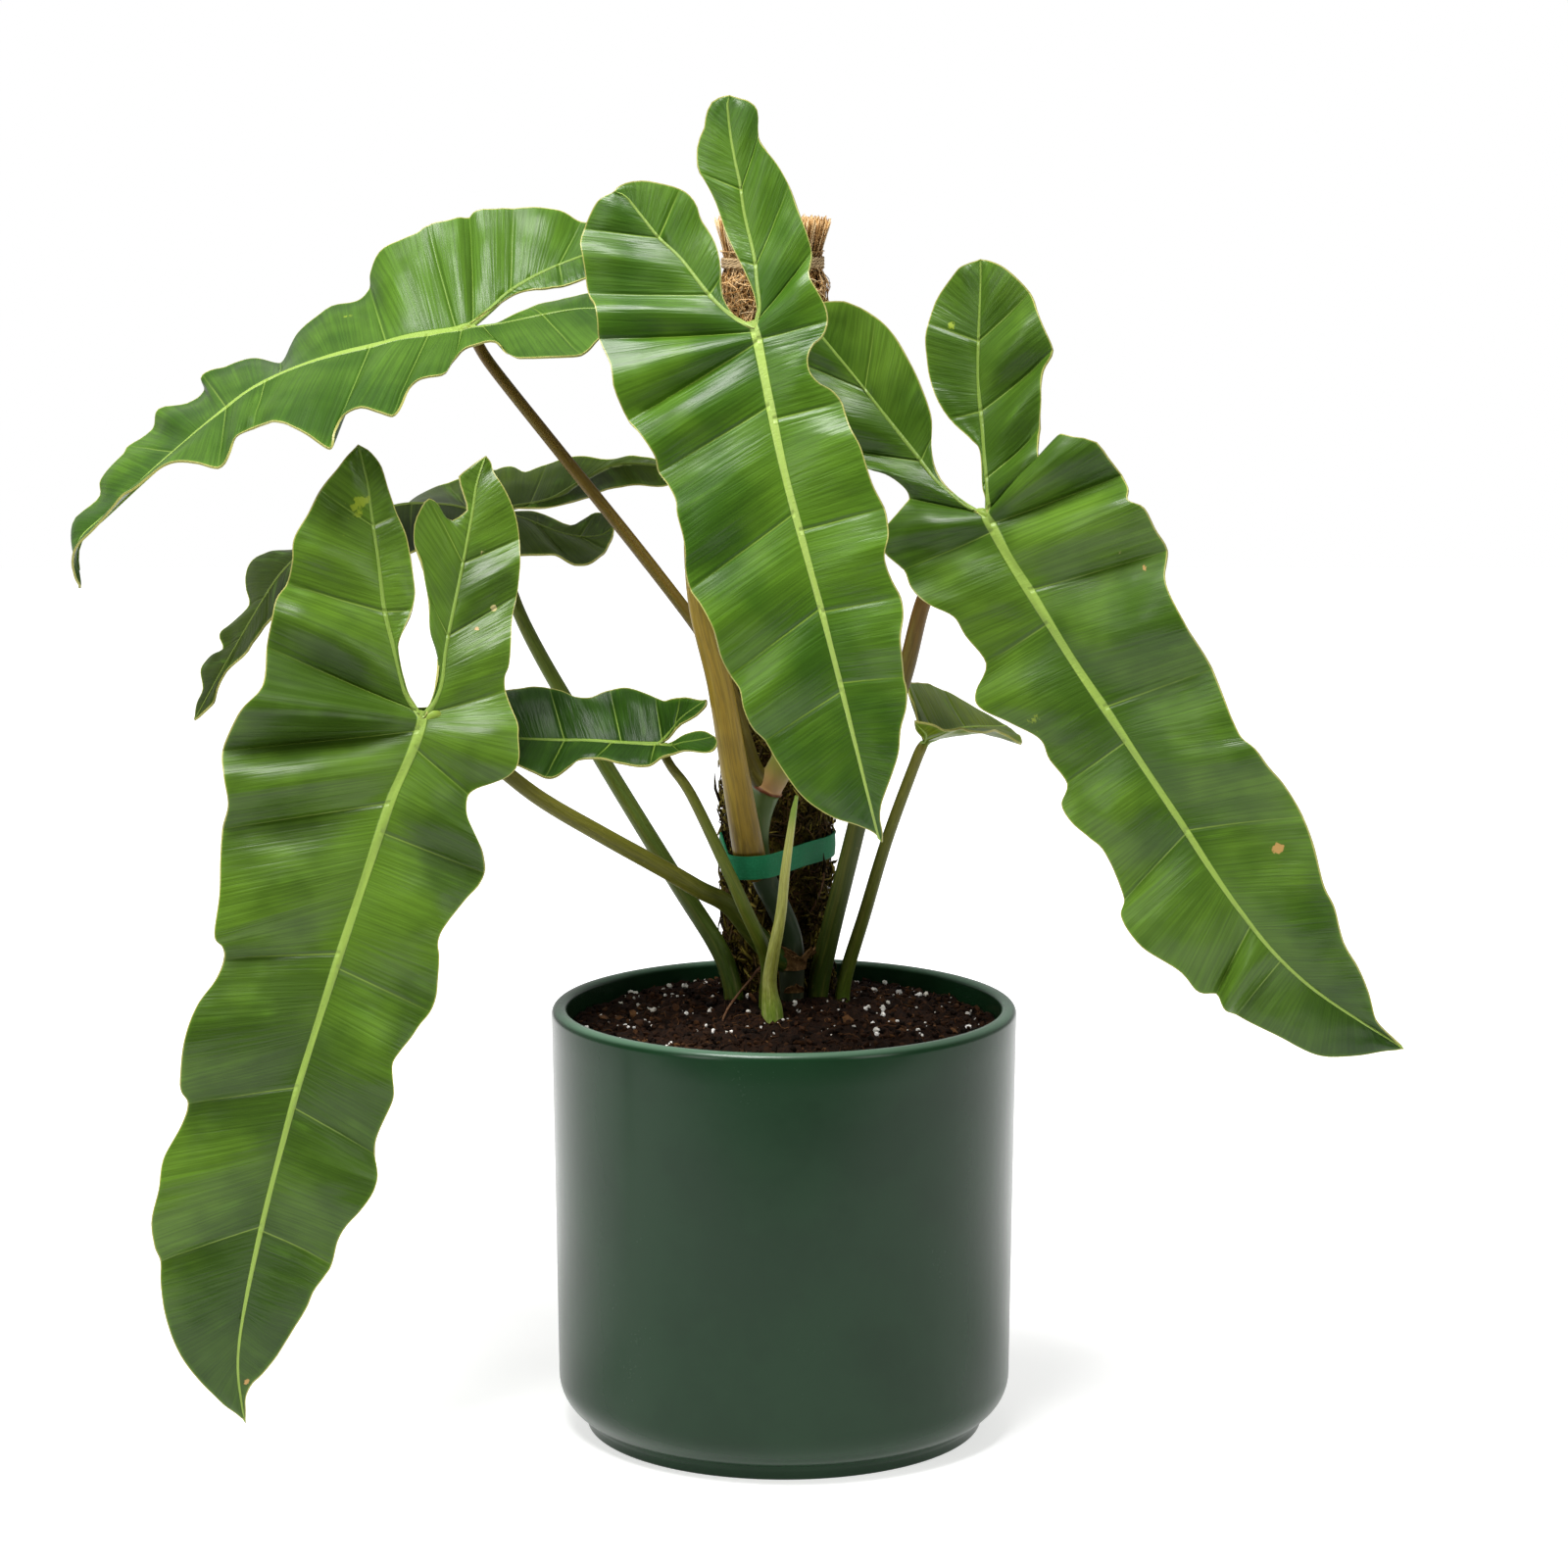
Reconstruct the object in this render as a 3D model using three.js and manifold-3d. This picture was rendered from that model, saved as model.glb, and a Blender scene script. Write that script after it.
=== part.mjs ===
// Potted philodendron with long arrow-shaped leaves, tied to a moss pole.
// Millimetres, +Z up, origin on the table under the middle of the pot, -Y is the front.

import * as THREE from 'three';
import { mergeVertices } from 'three/addons/utils/BufferGeometryUtils.js';
import Module from 'manifold-3d';

const wasm = await Module();
wasm.setup();

// Driving dimensions
const GAP = 0.35;

const POT_HEIGHT = 222;
const POT_RIM_RADIUS = 120;
const POT_LOW_RADIUS = 117.5;
const POT_WALL = 8;
const POT_FOOT_RADIUS = 103;
const POT_FOOT_HEIGHT = 5.5;
const POT_FLOOR = 10;
const POT_CORNER = 22;
const POT_CORNER_STEPS = [16, 8, 3, 0];
const POT_SEGMENTS = 48;

const SOIL_EDGE_Z = 206.5;
const SOIL_MOUND = 15;
const SOIL_MOUND_Y = 22;
const SOIL_MOUND_SPREAD = 62;
const SOIL_SEGMENTS = 36;

const POLE_X = -3.5;
const POLE_Y = 52;
const POLE_RADIUS = 28.2;
const POLE_RAG = 0.9;
const POLE_FOOT_Z = 16;
const POLE_TOP_Z = 621;
const POLE_JOIN_Z = 430;
const STAKE_RADIUS = 11.5;
const STAKE_TOP_Z = 606;
const POLE_SIDES = 20;

const TWINE_Z = 600;
const TWINE_DIAMETER = 2.4;
const TWINE_TURNS = 3;
const TWINE_PINCH = 3;
const TWINE_SEAT = 9;

const TIE_Z = 297;
const TIE_WIDTH = 12;
const TIE_THICKNESS = 1.4;

const BLADE_THICKNESS = 1.1;
const BLADE_SHARES = [0.3, 0.65, 1];
const LOBE_SHARES = [0.5, 1];
const MIDRIB_DEPTH = 1.9;
const QUILT = 0.075;
const PETIOLE_SIDES = 8;

// Colours of the pieces
const COLOURS = {
  glaze: 0x2f4a35,
  soil: 0x2b1d15,
  moss: 0x4e3a1d,
  coir: 0x9a6a3a,
  wood: 0x8a6b45,
  twine: 0xb49a78,
  tie: 0x2f7355,
  leaf: 0x4c7a36,
  stem: 0x4d5b40,
  shoot: 0xa9b84f,
};

// Vectors and curves
const v3 = (p) => new THREE.Vector3(p[0], p[1], p[2]);

function lerp(a, b, f) {
  return a + (b - a) * f;
}

// One point of a smooth curve through rows of numbers, by the row's index.
function splineRow(rows, x) {
  const last = rows.length - 1;
  const at = Math.min(Math.max(x, 0), last);
  const i = Math.min(Math.floor(at), last - 1);
  const f = at - i;
  const b = rows[i];
  const c = rows[i + 1];
  const a = i > 0 ? rows[i - 1] : b.map((value, k) => 2 * value - c[k]);
  const d = i + 2 <= last ? rows[i + 2] : c.map((value, k) => 2 * value - b[k]);
  return b.map((value, k) => {
    const m0 = (c[k] - a[k]) / 2;
    const m1 = (d[k] - value) / 2;
    const cubic = 2 * value - 2 * c[k] + m0 + m1;
    const square = -3 * value + 3 * c[k] - 2 * m0 - m1;
    return cubic * f ** 3 + square * f ** 2 + m0 * f + value;
  });
}

// Meshes
function geometryOf(points, triangles) {
  const geometry = new THREE.BufferGeometry();
  const flat = new Float32Array(points.length * 3);
  points.forEach((p, i) => flat.set([p.x, p.y, p.z], i * 3));
  geometry.setAttribute('position', new THREE.BufferAttribute(flat, 3));
  geometry.setIndex(triangles.flat());
  return geometry;
}

function signedVolume(points, triangles) {
  let volume = 0;
  const cross = new THREE.Vector3();
  for (const [a, b, c] of triangles) {
    cross.crossVectors(points[b], points[c]);
    volume += points[a].dot(cross);
  }
  return volume / 6;
}

// A closed set of triangles with its faces pointing out.
function closedGeometry(points, triangles) {
  if (signedVolume(points, triangles) < 0) {
    triangles = triangles.map(([a, b, c]) => [a, c, b]);
  }
  return geometryOf(points, triangles);
}

function solidOf(geometry) {
  const bare = geometry.clone();
  bare.deleteAttribute('normal');
  bare.deleteAttribute('uv');
  const merged = mergeVertices(bare, 1e-4);
  return new wasm.Manifold(new wasm.Mesh({
    numProp: 3,
    vertProperties: new Float32Array(merged.attributes.position.array),
    triVerts: new Uint32Array(merged.index.array),
  }));
}

function geometryFrom(solid) {
  const mesh = solid.getMesh();
  const geometry = new THREE.BufferGeometry();
  const count = mesh.vertProperties.length / mesh.numProp;
  const flat = new Float32Array(count * 3);
  for (let i = 0; i < count; i += 1) {
    for (let k = 0; k < 3; k += 1) {
      flat[i * 3 + k] = mesh.vertProperties[i * mesh.numProp + k];
    }
  }
  geometry.setAttribute('position', new THREE.BufferAttribute(flat, 3));
  geometry.setIndex(Array.from(mesh.triVerts));
  return geometry;
}

// The largest body of a solid, without loose scraps.
function mainBody(solid) {
  const bodies = solid.decompose();
  bodies.sort((a, b) => b.volume() - a.volume());
  return bodies[0];
}

// A tube along points, with a radius at each point and closed ends.
function taperedTube(points, radii, sides, steps, grow = 0) {
  const rows = points.map((p, i) => [...p, radii[i]]);
  const last = rows.length - 1;
  const centres = [];
  const sizes = [];
  for (let i = 0; i <= steps; i += 1) {
    const row = splineRow(rows, (i / steps) * last);
    centres.push(new THREE.Vector3(row[0], row[1], row[2]));
    sizes.push(row[3] + grow);
  }
  const tangents = centres.map((c, i) => {
    const before = centres[Math.max(i - 1, 0)];
    const after = centres[Math.min(i + 1, steps)];
    return after.clone().sub(before).normalize();
  });
  centres[0].addScaledVector(tangents[0], -grow);
  centres[steps].addScaledVector(tangents[steps], grow);
  let normal = new THREE.Vector3(1, 0, 0);
  const ring = [];
  const verts = [];
  centres.forEach((centre, i) => {
    const t = tangents[i];
    normal = normal.clone().addScaledVector(t, -normal.dot(t)).normalize();
    const side = new THREE.Vector3().crossVectors(t, normal);
    ring.push(verts.length);
    for (let k = 0; k < sides; k += 1) {
      const angle = (2 * Math.PI * k) / sides;
      verts.push(centre.clone()
        .addScaledVector(normal, Math.cos(angle) * sizes[i])
        .addScaledVector(side, Math.sin(angle) * sizes[i]));
    }
  });
  const tris = [];
  for (let i = 0; i < steps; i += 1) {
    for (let k = 0; k < sides; k += 1) {
      const a = ring[i] + k;
      const b = ring[i] + ((k + 1) % sides);
      const c = ring[i + 1] + k;
      const d = ring[i + 1] + ((k + 1) % sides);
      tris.push([a, b, d], [a, d, c]);
    }
  }
  const foot = verts.push(centres[0].clone()) - 1;
  const head = verts.push(centres[steps].clone()) - 1;
  for (let k = 0; k < sides; k += 1) {
    tris.push([foot, ring[0] + ((k + 1) % sides), ring[0] + k]);
    tris.push([head, ring[steps] + k, ring[steps] + ((k + 1) % sides)]);
  }
  return closedGeometry(verts, tris);
}

// Pot
function potInnerRadius(z) {
  const side = lerp(POT_LOW_RADIUS, POT_RIM_RADIUS, z / POT_HEIGHT) - POT_WALL;
  const up = z - POT_FLOOR;
  const corner = POT_CORNER - 6;
  if (up >= corner) {
    return side;
  }
  return side - corner + Math.sqrt(Math.max(corner ** 2 - (corner - up) ** 2, 0));
}

function buildPot() {
  const profile = [
    [0, 0],
    [POT_FOOT_RADIUS - 1, 0],
    [POT_FOOT_RADIUS, 1],
    [POT_FOOT_RADIUS, POT_FOOT_HEIGHT],
    [POT_FOOT_RADIUS + 5, POT_FOOT_HEIGHT + 0.6],
  ];
  const centreX = POT_LOW_RADIUS - POT_CORNER;
  const centreZ = POT_FOOT_HEIGHT + POT_CORNER;
  for (const degrees of [-50, -25, 0]) {
    const angle = THREE.MathUtils.degToRad(degrees);
    profile.push([centreX + POT_CORNER * Math.cos(angle), centreZ + POT_CORNER * Math.sin(angle)]);
  }
  profile.push([POT_RIM_RADIUS, POT_HEIGHT - 3.5]);
  profile.push([POT_RIM_RADIUS - 1.1, POT_HEIGHT - 1]);
  profile.push([POT_RIM_RADIUS - 3.5, POT_HEIGHT]);
  profile.push([POT_RIM_RADIUS - POT_WALL + 2.5, POT_HEIGHT - 0.3]);
  profile.push([POT_RIM_RADIUS - POT_WALL, POT_HEIGHT - 2.6]);
  for (const up of POT_CORNER_STEPS) {
    profile.push([potInnerRadius(POT_FLOOR + up), POT_FLOOR + up]);
  }
  profile.push([0, POT_FLOOR]);
  const points = profile.map(([r, z]) => new THREE.Vector2(r, z));
  const geometry = new THREE.LatheGeometry(points, POT_SEGMENTS);
  geometry.rotateX(Math.PI / 2);
  return geometry;
}

// Soil
function soilTop(x, y) {
  const spread = (x ** 2 + (y - SOIL_MOUND_Y) ** 2) / (2 * SOIL_MOUND_SPREAD ** 2);
  const lumps = 1.1 * Math.sin(x * 0.21 + 1.3) * Math.cos(y * 0.19 - 0.4)
    + 0.8 * Math.sin(x * 0.37 - y * 0.29) + 0.5 * Math.cos(x * 0.61 + y * 0.47);
  return SOIL_EDGE_Z + SOIL_MOUND * Math.exp(-spread) + lumps;
}

function buildSoil(holes) {
  const radiusAt = (z) => potInnerRadius(z) - GAP;
  const foot = POT_FLOOR + GAP;
  const verts = [new THREE.Vector3(0, 0, soilTop(0, 0))];
  const tris = [];
  const rings = [];
  const addRing = (radius, heightAt) => {
    rings.push(verts.length);
    for (let k = 0; k < SOIL_SEGMENTS; k += 1) {
      const angle = (2 * Math.PI * k) / SOIL_SEGMENTS;
      const x = radius * Math.cos(angle);
      const y = radius * Math.sin(angle);
      verts.push(new THREE.Vector3(x, y, heightAt(x, y)));
    }
  };
  for (const share of [0.12, 0.25, 0.38, 0.51, 0.64, 0.77, 0.89, 1]) {
    addRing(share * radiusAt(SOIL_EDGE_Z), soilTop);
  }
  for (const up of POT_CORNER_STEPS) {
    const inset = up > 10 ? GAP : 2 * GAP;
    addRing(potInnerRadius(POT_FLOOR + up) - inset, () => foot + up);
  }
  for (let k = 0; k < SOIL_SEGMENTS; k += 1) {
    tris.push([0, rings[0] + k, rings[0] + ((k + 1) % SOIL_SEGMENTS)]);
  }
  for (let i = 0; i + 1 < rings.length; i += 1) {
    for (let k = 0; k < SOIL_SEGMENTS; k += 1) {
      const next = (k + 1) % SOIL_SEGMENTS;
      tris.push([rings[i] + k, rings[i + 1] + k, rings[i + 1] + next]);
      tris.push([rings[i] + k, rings[i + 1] + next, rings[i] + next]);
    }
  }
  const middle = verts.push(new THREE.Vector3(0, 0, foot)) - 1;
  const edge = rings[rings.length - 1];
  for (let k = 0; k < SOIL_SEGMENTS; k += 1) {
    tris.push([middle, edge + ((k + 1) % SOIL_SEGMENTS), edge + k]);
  }
  let solid = solidOf(closedGeometry(verts, tris));
  for (const hole of holes) {
    solid = solid.subtract(solidOf(hole));
  }
  return geometryFrom(mainBody(solid));
}

// Moss pole
function poleRadius(angle, z) {
  const rag = Math.sin(angle * 5 + z * 0.31) * 0.5 + Math.sin(angle * 3 - z * 0.17 + 2) * 0.5;
  const fade = Math.min(1, Math.abs(z - TIE_Z) / 20);
  const away = Math.max(0, Math.abs(z - TWINE_Z) - TWINE_SEAT / 2);
  const pinch = TWINE_PINCH * Math.max(0, 1 - away / 8);
  const flare = Math.max(0, z - POLE_TOP_Z + 12) * 0.12;
  const calm = Math.min(1, away / 8);
  return POLE_RADIUS + rag * POLE_RAG * fade * calm - pinch + flare;
}

// A ragged sleeve round the stake; with a lid it closes over the stake's top.
function poleSleeve(heights, lidZ) {
  const low = heights[0];
  const high = heights[heights.length - 1];
  const bore = STAKE_RADIUS + GAP + 0.15;
  const verts = [];
  const tris = [];
  const rings = [];
  const addRing = (z, radiusAt) => {
    rings.push(verts.length);
    for (let k = 0; k < POLE_SIDES; k += 1) {
      const angle = (2 * Math.PI * k) / POLE_SIDES;
      const r = radiusAt(angle, z);
      verts.push(new THREE.Vector3(POLE_X + r * Math.cos(angle), POLE_Y + r * Math.sin(angle), z));
    }
  };
  addRing(low, () => bore);
  for (const z of heights) {
    addRing(z, poleRadius);
  }
  if (lidZ === null) {
    addRing(high, () => bore);
  }
  const join = (a, b) => {
    for (let k = 0; k < POLE_SIDES; k += 1) {
      const next = (k + 1) % POLE_SIDES;
      tris.push([a + k, a + next, b + next], [a + k, b + next, b + k]);
    }
  };
  const fan = (ring, z, up) => {
    const middle = verts.push(new THREE.Vector3(POLE_X, POLE_Y, z)) - 1;
    for (let k = 0; k < POLE_SIDES; k += 1) {
      const next = (k + 1) % POLE_SIDES;
      tris.push(up ? [middle, ring + k, ring + next] : [middle, ring + next, ring + k]);
    }
  };
  for (let i = 0; i + 1 < rings.length; i += 1) {
    join(rings[i], rings[i + 1]);
  }
  if (lidZ === null) {
    join(rings[rings.length - 1], rings[0]);
  } else {
    const outer = rings[rings.length - 1];
    fan(outer, high, true);
    addRing(lidZ, () => bore);
    const lid = rings[rings.length - 1];
    join(lid, rings[0]);
    fan(lid, lidZ, false);
  }
  return closedGeometry(verts, tris);
}

function evenHeights(low, high, count) {
  return Array.from({ length: count + 1 }, (_, i) => lerp(low, high, i / count));
}

function buildStake() {
  const height = STAKE_TOP_Z - POLE_FOOT_Z;
  const geometry = new THREE.CylinderGeometry(STAKE_RADIUS, STAKE_RADIUS, height, 18);
  geometry.rotateX(Math.PI / 2);
  geometry.translate(POLE_X, POLE_Y, POLE_FOOT_Z + height / 2);
  return geometry;
}

function buildTwine() {
  const r = TWINE_DIAMETER / 2;
  const inner = POLE_RADIUS - TWINE_PINCH + GAP + 0.15;
  const profile = [];
  const low = TWINE_Z - TWINE_TURNS * r;
  profile.push([inner, low]);
  for (let turn = 0; turn < TWINE_TURNS; turn += 1) {
    const z = low + r * (2 * turn + 1);
    for (const degrees of [-50, 0, 50]) {
      const angle = THREE.MathUtils.degToRad(degrees);
      profile.push([inner + 0.6 + r * Math.cos(angle), z + r * Math.sin(angle)]);
    }
  }
  profile.push([inner, low + TWINE_TURNS * TWINE_DIAMETER]);
  profile.push([inner, low]);
  const points = profile.map(([x, z]) => new THREE.Vector2(x, z));
  const geometry = new THREE.LatheGeometry(points, 24);
  geometry.rotateX(Math.PI / 2);
  geometry.translate(POLE_X, POLE_Y, 0);
  return geometry;
}

// Tie: a flat band, taut round the pole, the stem and the big leaf stalk
function hullOf(points) {
  const sorted = [...points].sort((p, q) => p[0] - q[0] || p[1] - q[1]);
  const turn = (o, a, b) => (a[0] - o[0]) * (b[1] - o[1]) - (a[1] - o[1]) * (b[0] - o[0]);
  const half = (list) => {
    const chain = [];
    for (const p of list) {
      while (chain.length > 1 && turn(chain[chain.length - 2], chain[chain.length - 1], p) <= 1e-6) {
        chain.pop();
      }
      chain.push(p);
    }
    chain.pop();
    return chain;
  };
  return [...half(sorted), ...half(sorted.reverse())];
}

function tieLoop(extra) {
  const circles = [
    [POLE_X, POLE_Y, POLE_RADIUS + 0.8, 36],
    [-13.3, 6.8, 8.4, 18],
    [-17.4, -10.8, 10.7, 22],
  ];
  const points = [];
  for (const [x, y, radius, count] of circles) {
    for (let k = 0; k < count; k += 1) {
      const angle = (2 * Math.PI * k) / count;
      const r = (radius + extra) / Math.cos(Math.PI / count);
      points.push([x + r * Math.cos(angle), y + r * Math.sin(angle)]);
    }
  }
  return hullOf(points);
}

function buildTie() {
  const outline = new THREE.Shape(tieLoop(TIE_THICKNESS).map(([x, y]) => new THREE.Vector2(x, y)));
  outline.holes.push(new THREE.Path(tieLoop(0).map(([x, y]) => new THREE.Vector2(x, y))));
  const geometry = new THREE.ExtrudeGeometry(outline, { depth: TIE_WIDTH, bevelEnabled: false });
  geometry.translate(0, 0, TIE_Z - TIE_WIDTH / 2);
  return geometry;
}

// Leaf blades
// A blade is drawn flat in s (along the midrib, 0 where the stalk joins, the tip positive)
// and t (across), with n as a lift, and is laid on a guide curve with straight crossings.
class BladeFrame {
  constructor({ guide, base, across }) {
    this.rows = [];
    const step = 40;
    for (let i = 0; i <= (guide.length - 1) * step; i += 1) {
      this.rows.push(v3(splineRow(guide, i / step)));
    }
    this.length = [0];
    for (let i = 1; i < this.rows.length; i += 1) {
      this.length.push(this.length[i - 1] + this.rows[i].distanceTo(this.rows[i - 1]));
    }
    const zero = this.length[base * step];
    this.length = this.length.map((value) => value - zero);
    this.low = this.length[0];
    this.high = this.length[this.length.length - 1];
    this.across = across.map((a) => v3(a).normalize());
  }

  raw(s) {
    const at = Math.min(Math.max(s, this.low), this.high);
    let i = this.length.findIndex((value) => value >= at);
    i = Math.max(i, 1);
    const f = (at - this.length[i - 1]) / (this.length[i] - this.length[i - 1]);
    return this.rows[i - 1].clone().lerp(this.rows[i], f);
  }

  tangent(s) {
    const at = Math.min(Math.max(s, this.low + 2), this.high - 2);
    return this.raw(at + 2).sub(this.raw(at - 2)).normalize();
  }

  side(s) {
    const f = Math.min(Math.max(s / this.high, 0), 1);
    return this.across[0].clone().lerp(this.across[this.across.length - 1], f).normalize();
  }

  point(s, t, n) {
    const tangent = this.tangent(s);
    const side = this.side(s);
    const up = new THREE.Vector3().crossVectors(tangent, side).normalize();
    const centre = this.raw(s);
    if (s < this.low) {
      centre.addScaledVector(tangent, s - this.low);
    }
    if (s > this.high) {
      centre.addScaledVector(tangent, s - this.high);
    }
    return centre.addScaledVector(side, t).addScaledVector(up, n);
  }
}

// The rows of one half from the tip to the lobe's tip: where each starts on the midrib or
// lobe rib, where it ends on the margin, and its place between two side veins.
function marginRows(half, count, least) {
  const marks = half.margin
    .map((row, i) => ({ i, spine: row[3] }))
    .filter((mark) => mark.spine !== undefined);
  const edge = half.margin.map((row) => row.slice(0, 3));
  const ribAt = (s) => {
    if (s >= 0) {
      return [s, 0, 0];
    }
    const j = Math.max(half.rib.findIndex((row) => row[0] <= s), 1);
    const f = (s - half.rib[j - 1][0]) / (half.rib[j][0] - half.rib[j - 1][0]);
    return splineRow(half.rib, j - 1 + f);
  };
  const total = edge.length - 1;
  const rows = [];
  for (let m = 0; m + 1 < marks.length; m += 1) {
    const from = marks[m];
    const to = marks[m + 1];
    const steps = Math.max(least, Math.round((count * (to.i - from.i)) / total));
    const shares = Array.from({ length: steps }, (_, k) => k / steps);
    if (from.spine > 0 && to.spine < 0) {
      const zero = from.spine / (from.spine - to.spine);
      shares.push(zero);
      shares.sort((p, q) => p - q);
    }
    for (const f of shares) {
      rows.push({
        spine: ribAt(lerp(from.spine, to.spine, f)),
        edge: splineRow(edge, lerp(from.i, to.i, f)),
        wave: f,
      });
    }
  }
  for (const row of rows) {
    if (Math.abs(row.spine[0]) < 1e-9) {
      row.spine = [0, 0, 0];
    }
  }
  const tip = edge[total];
  rows.push({ spine: tip, edge: tip, wave: 0 });
  rows[0].spine = rows[0].edge;
  return rows;
}

// One open sheet of welded corners and triangles for a whole blade.
function bladeSheet(leaf, frame) {
  const corners = [];
  const depth = [];
  const tris = [];
  const put = ([s, t, n], thick) => {
    corners.push(frame.point(s, t, n));
    depth.push(thick);
    return corners.length - 1;
  };
  const face = (a, b, c, flip) => {
    if (a !== b && b !== c && a !== c) {
      tris.push(flip ? [a, c, b] : [a, b, c]);
    }
  };
  // Triangles between two chains of corners that run side by side.
  const zip = (first, second, flip) => {
    let i = 0;
    let j = 0;
    while (i + 1 < first.length || j + 1 < second.length) {
      const ahead = j + 1 >= second.length
        || (i + 1 < first.length && first[i + 1].along <= second[j + 1].along);
      if (ahead) {
        face(first[i].at, first[i + 1].at, second[j].at, flip);
        i += 1;
      } else {
        face(first[i].at, second[j + 1].at, second[j].at, flip);
        j += 1;
      }
    }
  };
  const rowPoint = ({ spine, edge, wave }, share, quilt) => {
    const width = Math.abs(edge[1] - spine[1]);
    const swell = Math.sin(Math.PI * wave) ** 2 - 0.35;
    const rise = leaf.lift * width * share ** 1.6 + quilt * width * swell * share;
    return [lerp(spine[0], edge[0], share), lerp(spine[1], edge[1], share),
      lerp(spine[2], edge[2], share) + rise];
  };
  let midrib = null;
  for (const half of leaf.halves) {
    const flip = half.margin.reduce((sum, row) => sum + row[1], 0) > 0;
    const rows = marginRows(half, leaf.rows, leaf.least);
    const body = rows.filter((row) => row.spine[0] >= 0);
    const lobe = rows.filter((row) => row.spine[0] < 0);
    const last = lobe.length - 1;
    if (midrib === null) {
      midrib = body.map(({ spine }) => {
        const taper = Math.sqrt(Math.max(0, 1 - spine[0] / body[0].spine[0]));
        return { at: put(spine, MIDRIB_DEPTH * taper), along: -spine[0] };
      });
    }
    const rib = [midrib[midrib.length - 1], ...lobe.map(({ spine }, k) => (
      { at: put(spine, MIDRIB_DEPTH * 0.6 * (1 - k / last)), along: -spine[0] }))];
    const tip = midrib[0];
    const end = rib[rib.length - 1];
    const spine = [...midrib, ...rib.slice(1)];
    let chain = spine;
    for (const share of BLADE_SHARES) {
      const next = rows.map((row, k) => {
        const along = -row.spine[0];
        if (k === 0) {
          return { at: tip.at, along };
        }
        if (k === rows.length - 1) {
          return { at: end.at, along };
        }
        return { at: put(rowPoint(row, share, QUILT), 0), along };
      });
      zip(chain, next, flip);
      chain = next;
    }
    const lengths = rib.map((_, k) => (k === 0 ? 0
      : corners[rib[k].at].distanceTo(corners[rib[k - 1].at])));
    const whole = lengths.reduce((sum, value) => sum + value, 0);
    let gone = 0;
    const sinus = rib.map((station, k) => {
      gone += lengths[k];
      const edge = splineRow(half.sinus, (gone / whole) * (half.sinus.length - 1));
      return { k, edge, along: station.along, spine: k === 0 ? [0, 0, 0] : lobe[k - 1].spine };
    });
    chain = rib;
    for (const share of LOBE_SHARES) {
      const next = sinus.map(({ k, edge, along, spine: start }) => {
        if (k === 0 || k === rib.length - 1) {
          return { at: rib[k].at, along };
        }
        return { at: put(rowPoint({ spine: start, edge, wave: 0.35 }, share, 0), 0), along };
      });
      zip(chain, next, !flip);
      chain = next;
    }
  }
  return { corners, depth, tris };
}

// A sheet given its thickness, with the same triangles on both faces.
function thicken({ corners, depth, tris }) {
  const normals = corners.map(() => new THREE.Vector3());
  for (const [a, b, c] of tris) {
    const ab = corners[b].clone().sub(corners[a]);
    const ac = corners[c].clone().sub(corners[a]);
    const normal = ab.cross(ac);
    normals[a].add(normal);
    normals[b].add(normal);
    normals[c].add(normal);
  }
  normals.forEach((normal) => normal.normalize());
  const count = corners.length;
  const half = BLADE_THICKNESS / 2;
  const verts = corners.map((p, i) => p.clone().addScaledVector(normals[i], half));
  corners.forEach((p, i) => verts.push(p.clone().addScaledVector(normals[i], -half - depth[i])));
  const faces = [];
  const edges = new Map();
  for (const [a, b, c] of tris) {
    faces.push([a, b, c], [a + count, c + count, b + count]);
    for (const [p, q] of [[a, b], [b, c], [c, a]]) {
      const twin = `${q}_${p}`;
      if (edges.has(twin)) {
        edges.delete(twin);
      } else {
        edges.set(`${p}_${q}`, [p, q]);
      }
    }
  }
  for (const [p, q] of edges.values()) {
    faces.push([q, p, p + count], [q, p + count, q + count]);
  }
  return closedGeometry(verts, faces);
}

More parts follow.
